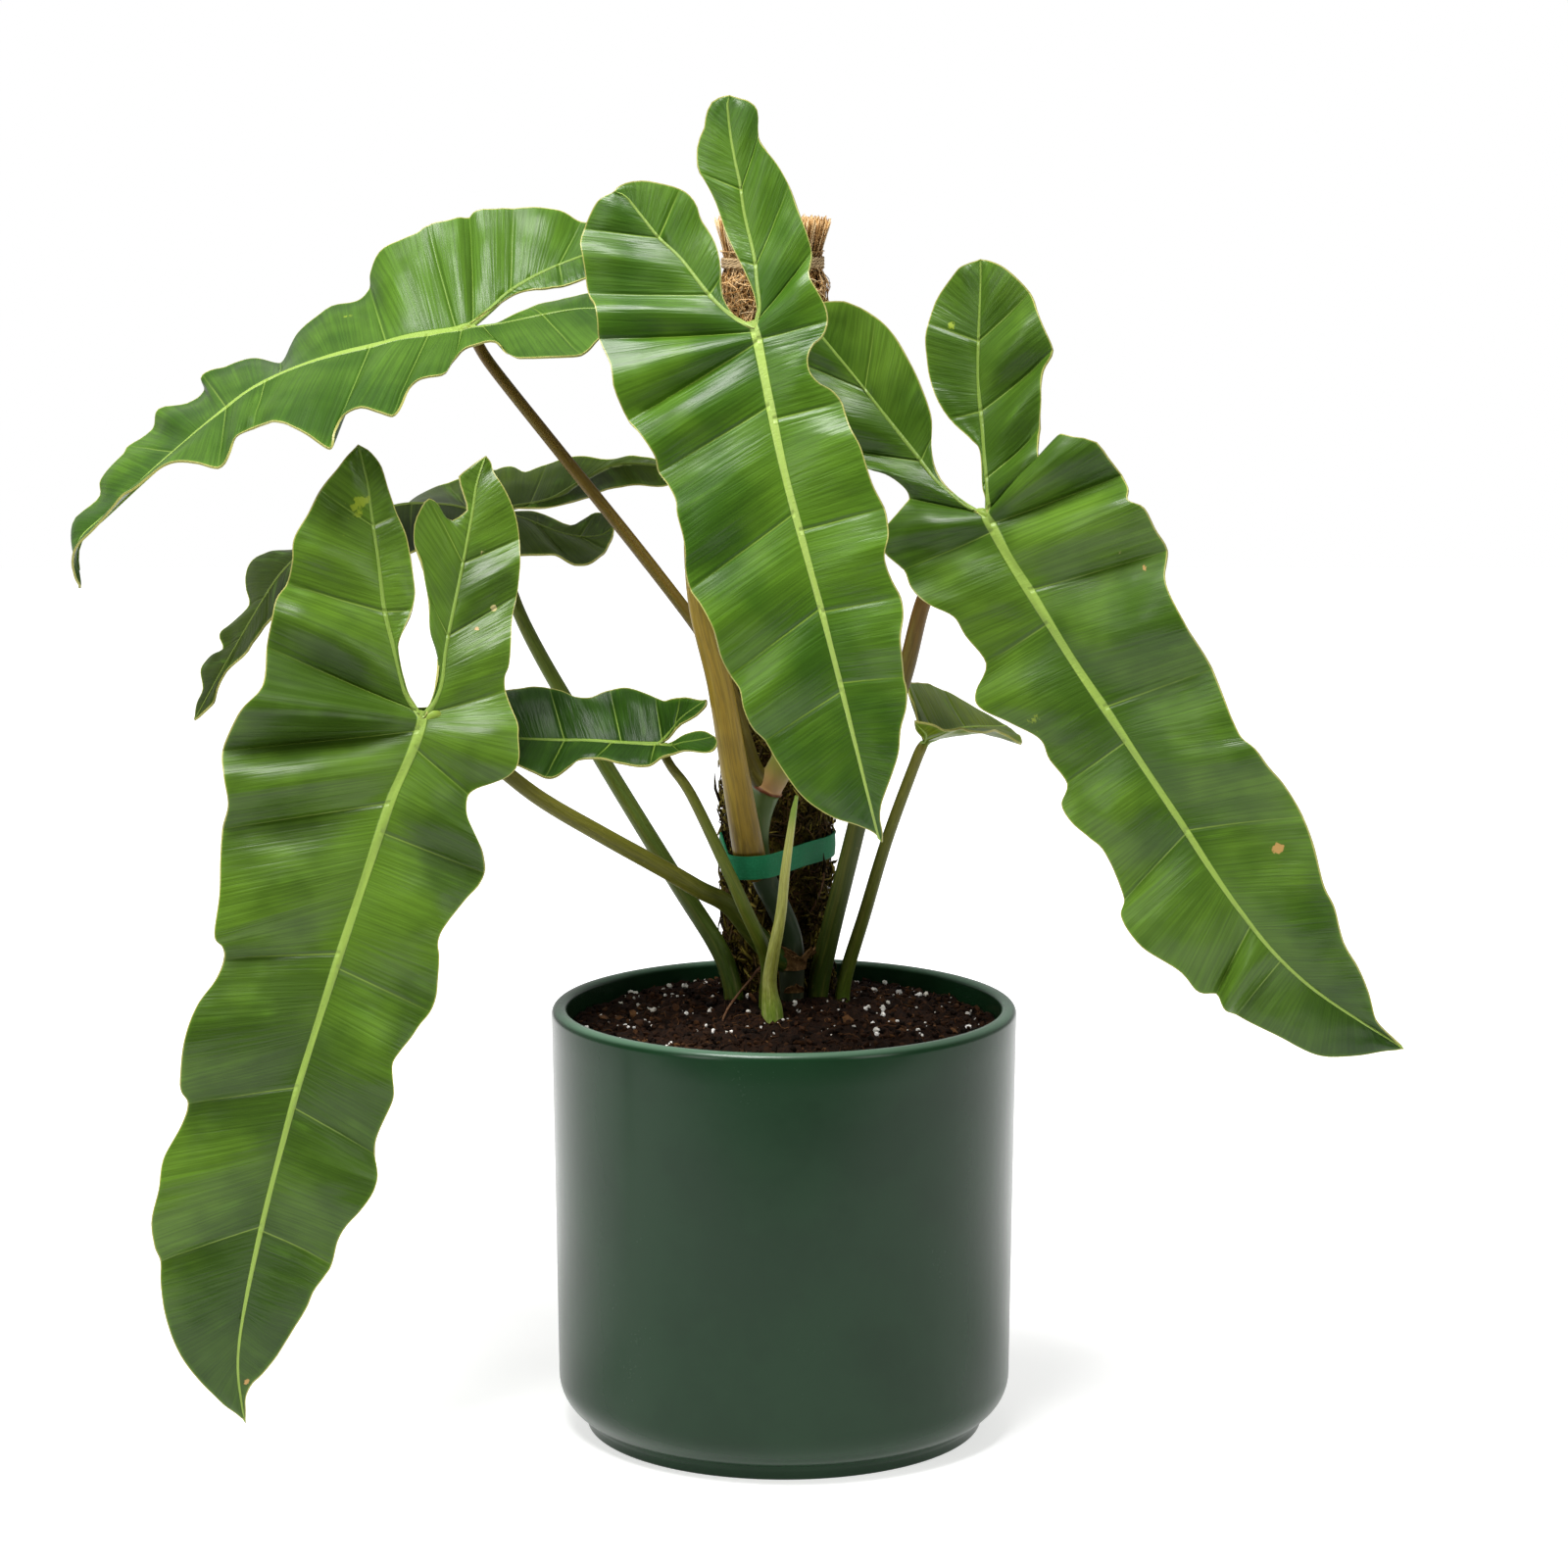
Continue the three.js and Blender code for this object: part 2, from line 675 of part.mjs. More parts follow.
// Leaf outlines: margin, rib and sinus rows are [s, t, n], and a fourth number in a margin
// row is the place on the midrib or rib where that side vein starts.
const LEAF_FRONT = {
  name: 'leaf_front',
  rows: 30,
  least: 2,
  guide: [[-40, -66, 679], [-26, -84, 623], [-14, -105, 575], [0, -126, 509], [20, -137, 435],
    [39, -134, 359], [46, -128, 330]],
  base: 2,
  across: [[1, -0.1, 0.18]],
  lift: 0.05,
  halves: [
    {
      margin: [[258, 1.5, 0, 258], [252, -2, 0], [247, -8, 0], [241, -18, 0], [234, -25.5, 0],
        [227, -31, 0], [217, -35.5, 0], [208, -39, 0], [198, -42, 0, 180], [190, -46, 0],
        [180, -47.6, 0], [171, -47.5, 0], [164, -50.4, 0, 139], [154, -52.3, 0],
        [140, -52, 0], [128, -55, 0], [120, -58.3, 0, 92], [110, -58, 0], [102, -55.6, 0],
        [94, -54.5, 0], [84, -54.5, 0], [77, -53.7, 0], [69, -55.7, 0], [62, -59, 0, 39],
        [54, -59, 0], [43, -63.5, 0], [34.7, -68.5, 0, 7], [27, -70.3, 0], [18.5, -71.5, 0],
        [9.5, -70.8, 0], [0, -72.8, 0], [-7.5, -74.6, 0, 2], [-16.7, -72.7, 0],
        [-24, -72.7, 0], [-32, -75, 0, -21], [-44.5, -73.4, 0], [-51, -72.7, 0],
        [-58, -72.4, 0], [-65, -69.7, 0, -54], [-72, -64.6, 0], [-77, -60, 0],
        [-79.4, -55, 0], [-81, -51, 0, -81]],
      rib: [[0, 0, 0], [-5, -6.5, 0], [-12.4, -13, 0], [-23, -19, 0], [-41.5, -27, 0],
        [-54, -35, 0], [-67.6, -41.3, 0], [-77.3, -46, 0], [-81, -51, 0]],
      sinus: [[0, -1, 0], [-2.4, -4, 0], [-8.2, -8.3, 0], [-16.3, -11.3, 0], [-24.7, -11, 0],
        [-32.6, -9.3, 0], [-43, -8.6, 0], [-51.4, -10, 0], [-59.6, -12.9, 0],
        [-67, -13.3, 0], [-73, -16, 0], [-77, -20.5, 0], [-80.5, -27.7, 0],
        [-83.6, -35, 0], [-84.4, -43, 0], [-83, -48.5, 0], [-81, -51, 0]],
    },
    {
      margin: [[258, 1.5, 0, 258], [253, 2.6, 0], [246, 3, 0], [239, 5, 0], [232, 9, 0],
        [223, 14.6, 0], [213.6, 19.7, 0], [202.6, 23.3, 0], [193, 28.2, 0],
        [184.5, 30.6, 0], [178, 30.7, 0, 176], [167.6, 32.4, 0], [158, 34.2, 0],
        [148.5, 37.8, 0], [140, 38.6, 0, 141], [132, 36.8, 0], [124, 36, 0], [118, 37, 0],
        [110.6, 40.8, 0], [104, 42, 0], [97, 42.3, 0, 101], [86, 40, 0], [76, 39.3, 0],
        [66, 38.6, 0], [57.4, 36, 0], [50, 34.8, 0], [43, 34, 0, 46], [37, 30.7, 0],
        [32, 25, 0], [26, 22, 0], [19.5, 22.5, 0], [13.5, 26, 0], [9.7, 31.5, 0],
        [3, 35.2, 0, 6], [-4, 35.8, 0], [-11, 34, 0], [-19.6, 31.6, 0], [-26, 33.5, 0],
        [-32.6, 35.5, 0, -3], [-44, 35.4, 0], [-56, 34, 0], [-68, 32.7, 0, -32],
        [-79, 29.7, 0], [-87, 26.2, 0], [-95, 23.8, 0, -70], [-107, 26.5, 0],
        [-112.4, 24, 0], [-115.5, 19.5, 0], [-118, 15, 0, -118]],
      rib: [[0, 0, 0], [-10, 4.5, 0], [-21.5, 6.2, 0], [-36.3, 8, 0], [-58.5, 8.3, 0],
        [-73.6, 9.7, 0], [-86, 10, 0], [-100, 11, 0], [-114, 13, 0], [-118, 15, 0]],
      sinus: [[0, 1, 0], [-4, 1.8, 0], [-10.4, 3, 0], [-19.4, 3, 0], [-28, 1.7, 0],
        [-36.5, 0, 0], [-44, -1.7, 0], [-52, -3, 0], [-62, -3.5, 0], [-69.6, -4.6, 0],
        [-78, -6.7, 0], [-83.6, -8.5, 0], [-90, -8, 0], [-97.6, -5.7, 0],
        [-104.6, -0.7, 0], [-110.5, 1.5, 0], [-116, 5.5, 0], [-118, 10.6, 0],
        [-118, 15, 0]],
    },
  ],
  petiole: {
    points: [[-13.5, 1.5, 292], [-15.5, -5, 293.5], [-17, -10.5, 298], [-19, -14, 310],
      [-25, -26, 348], [-32, -40, 393], [-43, -60, 445], [-43, -73, 505],
      [-31, -87, 552], [-17, -101, 575], [-11, -107, 566]],
    radii: [5, 7, 8.3, 8, 7.1, 6.4, 5.4, 4.4, 3.8, 3.2, 1.6],
  },
};

const LEAF_DROOPING = {
  name: 'leaf_drooping_left',
  rows: 32,
  least: 2,
  guide: [[-183, -30, 505], [-179, -54, 434], [-179, -70, 381], [-195, -82, 339],
    [-219, -97, 267], [-240, -108, 201], [-258, -112, 134], [-271, -110, 71],
    [-270, -104, 30]],
  base: 2,
  across: [[0.95, 0.15, -0.2]],
  lift: 0.05,
  halves: [
    {
      margin: [[369, 1, 0, 369], [365, -2, 0], [360, -10, 0], [348, -20, 0], [333, -30, 0],
        [316, -38, 0], [300, -43, 0], [290, -45, 0, 264], [282, -49.5, 0], [268, -54, 0],
        [252, -54, 0], [237, -55, 0], [220, -50.5, 0], [209, -50, 0, 192], [203, -55, 0],
        [196, -57.5, 0], [177, -61, 0], [160, -60, 0], [146, -55, 0], [135, -54, 0, 123],
        [129, -57, 0], [124, -62.5, 0], [105, -66, 0], [87, -71, 0], [72, -74.5, 0, 45],
        [60, -76, 0], [47, -82.5, 0], [34, -87.5, 0, 6], [19, -88.5, 0], [11, -87, 0],
        [3, -82, 0], [-5, -80, 0], [-21, -79.5, 0, -3], [-33, -77.5, 0], [-45, -74.5, 0],
        [-55, -68.5, 0, -50], [-66, -66, 0], [-77, -65, 0], [-91, -57.5, 0],
        [-106, -50, 0, -92], [-117, -42, 0], [-126, -35.5, 0], [-133, -30, 0, -133]],
      rib: [[0, 0, 0], [-9, -8.5, 0], [-17, -12, 0], [-31, -15.5, 0], [-53, -20, 0],
        [-79, -22.5, 0], [-98, -24.5, 0], [-114, -26, 0], [-133, -30, 0]],
      sinus: [[0, -0.8, 0], [-9, -7, 0], [-16.5, -10, 0], [-23, -12, 0], [-31, -13.5, 0],
        [-36, -13, 0], [-44, -9.5, 0], [-52, -6, 0], [-61, -4, 0], [-69, -4.3, 0],
        [-80, -5.4, 0], [-89, -7, 0], [-96, -9.4, 0], [-103, -12.4, 0], [-111, -15, 0],
        [-120, -17.3, 0], [-126.5, -20, 0], [-131, -24.4, 0], [-133, -30, 0]],
    },
    {
      margin: [[369, 1, 0, 369], [362, 1.8, 0], [354, 3, 0], [346, 7, 0], [340, 12, 0],
        [332, 17.5, 0], [325, 21, 0], [309, 27.5, 0], [300, 30.5, 0], [292, 32, 0],
        [284, 35.5, 0], [277, 38, 0, 266], [264, 38.3, 0], [255, 40.6, 0], [247, 44.6, 0],
        [238, 48.7, 0], [231, 49.7, 0], [226, 48.8, 0], [219, 46, 0, 202], [212, 44.6, 0],
        [204, 45, 0], [192, 46.6, 0], [186, 46, 0], [177, 42.5, 0], [171, 41, 0],
        [165, 43, 0], [158, 46.4, 0], [151, 49, 0], [144, 52, 0, 130], [136, 52.3, 0],
        [128, 50.4, 0], [116, 47.2, 0], [110, 44.6, 0], [104, 44, 0], [98, 45.6, 0],
        [92, 48.2, 0], [85, 51.5, 0], [78, 55.4, 0], [71, 56.5, 0, 60], [66, 54.5, 0],
        [59, 50.2, 0], [52, 44, 0], [45.6, 39, 0], [39.5, 36.4, 0], [34, 35.6, 0, 15],
        [30, 38, 0], [26, 43.7, 0], [21, 49.5, 0], [14, 51.3, 0], [2, 48, 0],
        [-5, 47, 0], [-13, 43.4, 0], [-21, 40.5, 0, -2], [-28, 40, 0], [-34, 42, 0],
        [-47, 43.4, 0], [-59.5, 45, 0], [-70, 47.6, 0, -44], [-80, 49, 0], [-90, 50, 0],
        [-100, 50.6, 0, -82], [-110, 49.3, 0], [-118, 46.5, 0], [-125, 43, 0],
        [-131, 39.4, 0], [-137, 37.8, 0], [-140, 35.3, 0, -140]],
      rib: [[0, 0, 0], [-10, 5.5, 0], [-20, 8.3, 0], [-35, 10.5, 0], [-58, 15.5, 0],
        [-82, 21, 0], [-106, 26.5, 0], [-124, 30, 0], [-140, 35.3, 0]],
      sinus: [[0, 1, 0], [-9.6, 3.7, 0], [-18.8, 5.5, 0], [-29, 6.7, 0], [-36, 6.2, 0],
        [-43, 4, 0], [-50, 3, 0], [-59, 2.9, 0], [-67, 1.4, 0], [-76, 0, 0],
        [-83, -2, 0], [-88, -3.6, 0], [-97, -3, 0], [-105, 0, 0], [-111.7, 4.3, 0],
        [-110.7, 8.7, 0], [-106.4, 11.6, 0], [-103.5, 16, 0], [-106.6, 20.9, 0],
        [-110.6, 24.5, 0], [-117, 22.9, 0], [-126, 20.7, 0], [-130.5, 24.7, 0],
        [-136, 30.4, 0], [-140, 35.3, 0]],
    },
  ],
  petiole: {
    points: [[2, 12, 241], [-6, 7, 247], [-16.6, -2, 260.5], [-28.6, -10, 275.9],
      [-43.4, -20, 285.8], [-59.6, -28, 297], [-92.3, -40, 317.8], [-124.3, -47, 338.5],
      [-152.9, -54, 363.5], [-166, -61, 377], [-174.5, -67, 382], [-181, -71, 373]],
    radii: [6, 6, 5.6, 4.9, 4.6, 4.5, 4.3, 4, 3.7, 3.5, 3, 1.6],
  },
};

const LEAF_RIGHT = {
  name: 'leaf_right',
  rows: 30,
  least: 2,
  guide: [[62, 10, 591], [85, -15, 524], [101, -40, 478], [142, -62, 411], [182, -74, 352],
    [225, -82, 288], [259, -86, 251], [308, -88, 218]],
  base: 2,
  across: [[0.85, -0.25, 0.5]],
  lift: 0.05,
  halves: [
    {
      margin: [[341, 0, 0, 341], [338, -5, 0], [331.6, -18, 0], [320, -29.5, 0],
        [298, -34, 0], [281, -39.4, 0, 265], [273, -39, 0], [266, -38.2, 0, 242],
        [260, -43.4, 0], [245, -43, 0], [225, -50.4, 0], [209, -51.4, 0],
        [202, -46.3, 0, 186], [187, -42.2, 0], [174, -40.2, 0], [165, -43, 0],
        [155, -46.2, 0], [145, -46, 0], [137, -38, 0, 132], [122, -38.2, 0],
        [111, -36.2, 0], [97, -43.2, 0], [83.5, -52, 0], [75, -50, 0], [65, -38.7, 0, 62],
        [48, -39, 0], [37, -38.4, 0], [25.4, -46.3, 0], [14, -50.8, 0],
        [3.6, -50.5, 0, 8], [-8.6, -54.7, 0], [-16.7, -51.2, 0], [-24, -38.3, 0],
        [-29, -34.5, 0, -5], [-34.7, -34.3, 0], [-45.4, -41, 1], [-55, -51.7, 2],
        [-68.4, -58.6, 4, -45], [-85, -64.8, 6], [-104.8, -70, 9], [-124, -70, 12, -90],
        [-136.5, -63, 13], [-142, -53, 13, -142]],
      rib: [[0, 0, 0], [-10, -7.5, 0], [-20, -12.5, 0], [-32, -18.6, 0], [-64, -29, 3],
        [-97.5, -39.4, 7], [-128, -49.3, 12], [-142, -53, 13]],
      sinus: [[0, -1.2, 0], [-8, -5.5, 0], [-15.7, -9.6, 0], [-33.4, -16.3, 0],
        [-49, -15, 0], [-63, -9.5, 1], [-85, -9.5, 3], [-101.7, -11.5, 6],
        [-115, -15.5, 8], [-126, -22.5, 10], [-131, -27, 11], [-135, -31.6, 12],
        [-140, -43, 13], [-142, -53, 13]],
    },
    {
      margin: [[341, 0, 0, 341], [333, 1.8, 0], [318.5, 6, 0], [301, 18, 0], [286, 26, 0],
        [271, 31, 0], [253, 40, 0], [240, 43, 0], [222, 50, 0], [205, 54, 0, 185],
        [187, 55.2, 0], [174.5, 54.6, 0], [164, 54.2, 0], [154, 50.8, 0], [134.4, 54, 0],
        [120, 56.5, 0, 112], [105, 58.5, 0], [91, 60.4, 0], [71, 62.6, 0],
        [58, 70, 0, 43], [47.4, 71.7, 0], [35, 73.8, 0], [28.3, 69, 0], [22.4, 70.6, 0],
        [14, 70, 0, 4], [5, 69.5, 0], [-5, 68.3, 0], [-12.4, 58, 0], [-17, 52, 0],
        [-14.5, 43, 0], [-7, 38, 0, -3], [-12, 38.2, 0], [-27, 42.6, 0, -18],
        [-36, 47, 0], [-45, 51.2, 0], [-54, 54.5, 0], [-61, 61.5, 0, -52], [-76, 61.6, 0],
        [-94, 59.5, 0, -85], [-109.5, 53, 0], [-118, 46, 0], [-122, 41, 0, -122]],
      rib: [[0, 0, 0], [-10, 5, 0], [-22, 8.6, 0], [-36, 12, 0], [-57, 16.4, 0],
        [-79, 23.7, 0], [-110, 36.7, 0], [-122, 41, 0]],
      sinus: [[0, 1.3, 0], [-8, 3, 0], [-16, 4.8, 0], [-33, 8.7, 0], [-41, 6, 0],
        [-57, -1.7, 0], [-77, -4.6, 0], [-92, -2, 0], [-103, 2.5, 0], [-116, 13, 0],
        [-122, 25.6, 0], [-123.3, 33, 0], [-122, 41, 0]],
    },
  ],
  petiole: {
    points: [[17, 20, 165], [17, 20, 205], [17.5, 19.5, 224], [22, 16, 248], [32, 8, 291],
      [45, 1.5, 344], [61, -5, 393], [71, -14, 434], [85, -24, 462], [98, -36, 479],
      [106, -44, 471]],
    radii: [5.8, 5.8, 5.6, 5.4, 5, 4.7, 4.4, 4.1, 3.8, 3.2, 1.6],
  },
};

const LEAF_UPPER_LEFT = {
  name: 'leaf_upper_left',
  rows: 30,
  least: 2,
  guide: [[-80, 28, 592], [-119, 20, 583], [-160, 10, 569], [-200, 2, 562], [-257, -12, 545],
    [-300, -28, 513], [-336, -42, 480], [-350, -48, 465], [-349, -52, 444]],
  base: 2,
  across: [[0.1, -0.9, -0.42], [0.25, -0.85, -0.4]],
  lift: 0,
  halves: [
    {
      margin: [[253, 0, 0, 253], [246, -5, 0], [239, -14, 1], [230, -20, 0],
        [214, -26, -4], [209, -33, 0], [194, -36, 1], [190, -42, 0, 165], [176, -44, -4],
        [168, -46, 0], [154, -44, -6], [144, -46, -6], [141, -50, 0, 130],
        [127, -48, -6], [112, -46, -11], [101, -46, -18, 98], [92, -47, -12],
        [84, -48, -7], [68, -52, -1], [54, -54, -1], [47, -58, 3, 42], [45, -62, 9],
        [38, -66, 16], [22, -68, 21], [15, -70, 26, 6], [-1, -70, 23],
        [-10, -70, 24, -3], [-15, -70, 24], [-26, -68, 23], [-34, -66, 23, -25],
        [-52, -60, 16], [-66, -54, 11, -52], [-78, -46, 6], [-86, -38, 2, -86]],
      rib: [[0, 0, 0], [-12, -9, 1], [-25, -17, 3], [-45, -24, 3.5], [-62, -28, 4],
        [-86, -38, 2]],
      sinus: [[0, -1, 0], [-11.4, -8, 1], [-26, -14, 1.5], [-36, -14, 1], [-47, -10, 0],
        [-62, -11, 0], [-78, -20, 0], [-86, -38, 2]],
    },
    {
      margin: [[253, 0, 0, 253], [244, 6, 2], [227, 14, 5], [208, 22, 10], [193, 27, 14],
        [186, 28, 13, 165], [171, 30, 12], [160, 32, 9], [150, 38, 5], [141, 46, 0, 130],
        [132, 46.5, 0], [125, 38, 1], [117, 35, 0, 106], [106.5, 43.5, 0], [91, 66, 0],
        [78, 82, -2, 50], [74, 77, 0], [68, 67, 0], [59, 63, 0], [50, 68, 0],
        [43, 72, 0, 20], [38, 67, 0], [31.4, 53, 0], [24, 47, 0], [14, 44, 0],
        [8, 30, 0, 3], [0, 22, 0], [-13.8, 27, 0], [-19, 39, 0, -8], [-26.5, 53, 0],
        [-42.7, 64, 0], [-57, 66, 0, -40], [-68, 56, 0], [-80, 42, 0], [-85, 30, 0, -85]],
      rib: [[0, 0, 0], [-10, 4.5, 0], [-22, 9.6, 0], [-40, 15, 0], [-59, 19.5, 0],
        [-72, 25, 0], [-85, 30, 0]],
      sinus: [[0, 1, 0], [-8, 3, 0], [-15, 4.5, 0], [-30, 1, -1.5], [-47, -5, -4],
        [-62, -3, -4], [-76, 10, -2], [-85, 30, 0]],
    },
  ],
  petiole: {
    points: [[-8, 3, 332], [-16, 2, 345], [-21.5, 0, 364], [-27.5, 0, 385], [-39, 2, 410],
      [-71.4, 7, 453], [-115.5, 10, 508.2], [-147, 12, 548], [-156, 11.5, 562],
      [-161, 10, 568], [-170, 8, 563.5]],
    radii: [5.6, 5, 4.3, 3.9, 3.5, 3.3, 3.1, 3, 2.9, 2.6, 1.5],
  },
};

const LEAF_BACK = {
  name: 'leaf_back_left',
  rows: 24,
  least: 2,
  guide: [[-58, 122, 482], [-105, 114, 473], [-153, 100, 467], [-179, 94, 471],
    [-205, 90, 471], [-235, 84, 459], [-262, 78, 439], [-282, 72, 409], [-310, 64, 360]],
  base: 2,
  across: [[0.1, -0.9, -0.42], [0.4, -0.85, -0.2]],
  lift: 0,
  halves: [
    {
      margin: [[214, 0, 0, 214], [207, -8, 0], [199, -10, 0], [193, -23, 0],
        [186, -23.5, 0], [177, -15, 0, 165], [173, -23, 0], [165, -21, 0],
        [151, -15, 0, 140], [147, -29, 0], [142, -37, 0], [134, -38, 0], [126, -30, 0],
        [116, -22, -4, 105], [100, -28, -17], [80, -33, -24], [55, -40, -27, 50],
        [35, -46, -21], [19, -48, -12, 15], [5, -50, -7], [-3, -52, -4, -2],
        [-11, -50, -4], [-18.5, -44, -5], [-31, -50, -4, -20], [-46, -50, -5],
        [-66, -46, -6, -50], [-80, -42, -6], [-92, -36, -8], [-104, -28, -12, -104]],
      rib: [[0, 0, 0], [-12, -5, -1], [-31, -9, -2], [-49, -24, -3], [-66, -37, -5],
        [-84, -36, -8], [-104, -28, -12]],
      sinus: [[0, -1, 0], [-12, -3.5, -1.5], [-31, -4, -4.5], [-49, -21, -13],
        [-61, -33, -17], [-77, -37, -20], [-94, -30, -20], [-104, -28, -12]],
    },
    {
      margin: [[214, 0, 0, 214], [204, 8, 0], [199, 10, 0], [191, 7, 0], [179, 7, 0, 165],
        [165, 19, 0], [154, 20, 0], [146, 20, 0, 135], [130, 30, 0], [110, 42, 0, 95],
        [90, 50, 0], [70, 50, 0], [51, 50, 0, 45], [35, 52, 0], [20, 52, 0, 12],
        [5, 50, 0], [-11, 47, 0, -3], [-28.5, 56, 0], [-39.5, 66, 0, -22], [-47, 70, 0],
        [-53.4, 64, 0], [-57, 57, 0, -44], [-61, 47, 0], [-63, 35, 0, -63]],
      rib: [[0, 0, 0], [-16, 12, 0], [-32, 30, 0], [-46, 40, 0], [-56, 41, 0],
        [-63, 35, 0]],
      sinus: [[0, 1, 0], [-9, 2, 0], [-17.5, 3.5, 0], [-25, 9, 0], [-39, 26, 0],
        [-47.5, 23, 0], [-56, 18.5, 0], [-61.5, 24.5, 0], [-63, 35, 0]],
    },
  ],
  petiole: {
    points: [[-26, 23, 165], [-26, 23, 205], [-27, 23.5, 226], [-34.3, 27, 246],
      [-56, 37, 279], [-93.8, 61, 336.5], [-128.4, 80, 392], [-144.4, 92, 424.5],
      [-150, 97, 452], [-154, 99.5, 465], [-163, 99, 467.5]],
    radii: [5.2, 5.2, 5, 4.9, 4.7, 4.3, 3.8, 3.5, 3.3, 2.9, 1.5],
  },
};

const LEAF_SMALL_LEFT = {
  name: 'leaf_small_left',
  rows: 16,
  least: 1,
  guide: [[-32, -44, 376], [-49, -38, 369], [-63, -30, 362], [-99, -20, 362],
    [-136, -12, 362], [-170, -4, 367], [-198, 4, 376]],
  base: 2,
  across: [[0, -0.85, -0.5]],
  lift: 0,
  halves: [
    {
      margin: [[141, 0, 0, 141], [125, -7, 1], [110, -16, 3], [95, -25, 6, 80],
        [82.5, -28, 7], [68, -33, 8], [58, -33, 8, 50], [50.5, -30, 7.5], [44, -26, 6.5],
        [37, -27, 6.5], [26, -33, 8, 20], [17.5, -34, 8.5], [9, -32, 8], [0, -29, 7, -2],
        [-7, -26, 6.5], [-18, -22, 5.5, -12], [-27, -17, 4], [-31.5, -15, 4, -31.5]],
      rib: [[0, 0, 0], [-8, -6.5, 1.2], [-20, -12, 2.5], [-31.5, -15, 4]],
      sinus: [[0, -0.6, 0], [-4, -2, 0.3], [-13, -6, 1.5], [-24.5, -8, 2],
        [-30.5, -11.5, 3], [-31.5, -15, 4]],
    },
    {
      margin: [[141, 0, 0, 141], [125, 3, 0], [110, 12, 0], [95, 20, 0, 80],
        [77, 21.5, 0], [66, 26, 0], [59, 29, 0, 50], [53, 28, 0], [46, 21.5, 0],
        [41, 15.5, 0], [33, 13.5, 0, 25], [27.5, 14.5, 0], [21, 17, 0], [13, 17.5, 0],
        [4.7, 16, 0, 2], [-3.5, 11, 0], [-14, 12, 0, -8], [-28, 20.5, 0],
        [-34, 22, 0], [-36, 17, 0], [-34.5, 11.5, 0, -34.5]],
      rib: [[0, 0, 0], [-12, 5.5, 0], [-24, 9.5, 0], [-34.5, 11.5, 0]],
      sinus: [[0, 0.8, 0], [-8, 1, 0], [-19, 1.2, 0], [-28, 4, 0], [-34.5, 11.5, 0]],
    },
  ],
  petiole: {
    points: [[-9, -2, 165], [-9, -2, 205], [-9, -4, 226], [-8.8, -13, 248], [-19.9, -26, 277],
      [-29.7, -33, 300.5], [-46.6, -37, 337], [-56.5, -33, 350.5], [-62, -29.5, 358],
      [-70, -28, 360.5]],
    radii: [4, 4, 3.9, 3.8, 3.5, 3.1, 2.7, 2.4, 2.1, 1.2],
  },
};

const LEAF_SMALL_RIGHT = {
  name: 'leaf_small_right',
  rows: 8,
  least: 1,
  guide: [[61, -22, 368], [72, 0, 359], [92, 36, 360], [116, 70, 356]],
  base: 1,
  across: [[-0.89, 0.45, 0]],
  lift: 0,
  halves: [
    {
      margin: [[86, 0, 0, 86], [78, -12, -4], [66, -20, -7, 50], [50, -18, -2],
        [36, -20, 1], [18, -20, 4, 12], [6, -17, 6], [-4, -13, 7, -2], [-12, -8, 8],
        [-19, -1, 7, -19]],
      rib: [[0, 0, 0], [-8, -3.5, 4], [-19, -1, 7]],
      sinus: [[0, -0.6, 0], [-6, -0.5, 2.5], [-12, 0.5, 5], [-19, -1, 7]],
    },
    {
      margin: [[86, 0, 0, 86], [74, 14, 10], [56, 20, 18, 45], [38, 20, 22],
        [20, 18, 27, 12], [8, 14, 28.5], [2, 11, 24, -2], [-3, 6, 17], [-8, 1.5, 9, -8]],
      rib: [[0, 0, 0], [-4, 1, 5], [-8, 1.5, 9]],
      sinus: [[0, 0.6, 0], [-4, 0.4, 4.5], [-8, 1.5, 9]],
    },
  ],
  petiole: {
    points: [[31, 23, 165], [31, 23, 205], [31.3, 22.3, 228], [42.2, 17, 267], [53, 9, 306],
      [65.6, 3, 343], [71, 0.5, 356.5], [75, 5.5, 359]],
    radii: [4, 4, 3.8, 3.4, 3.1, 2.9, 2.6, 1.2],
  },
};

const LEAVES = [LEAF_FRONT, LEAF_DROOPING, LEAF_RIGHT, LEAF_UPPER_LEFT, LEAF_BACK,
  LEAF_SMALL_LEFT, LEAF_SMALL_RIGHT];

// Main stem with its joints, going on as the top bud
const STEM = {
  points: [[4, 14, 165], [4, 14, 205], [4, 14, 226], [4, 13, 241], [3, 12, 256], [-3, 10, 271],
    [-9.5, 8.2, 284], [-13, 7, 295], [-14, 6.5, 307], [-12.5, 5.5, 320], [-9, 4, 333],
    [-3, 3, 343], [3.5, 3.5, 357], [7, 3, 374], [12, 0, 400], [18, -7, 436], [20, -10, 462]],
  radii: [6, 6, 6.3, 6.8, 6, 6.2, 6.4, 6.4, 6.2, 6.4, 7.6, 6.8, 7, 6.8, 6, 4, 1.2],
};

// The rolled new leaf in front
const SHOOT = {
  points: [[-5.5, -19, 170], [-5.5, -19, 204], [-5.6, -19, 221], [-6.8, -19.5, 231],
    [-7, -20.5, 240], [-5, -23.5, 254], [-1.5, -28.5, 274], [1, -33.5, 299],
    [4.5, -40.5, 326], [6.4, -45, 338]],
  radii: [5.2, 5.6, 5.6, 4.2, 3.6, 3.3, 2.8, 2.4, 1.7, 0.9],
};

function petioleGeometry({ points, radii }, grow) {
  return taperedTube(points, radii, PETIOLE_SIDES, Math.round(points.length * 1.9), grow);
}

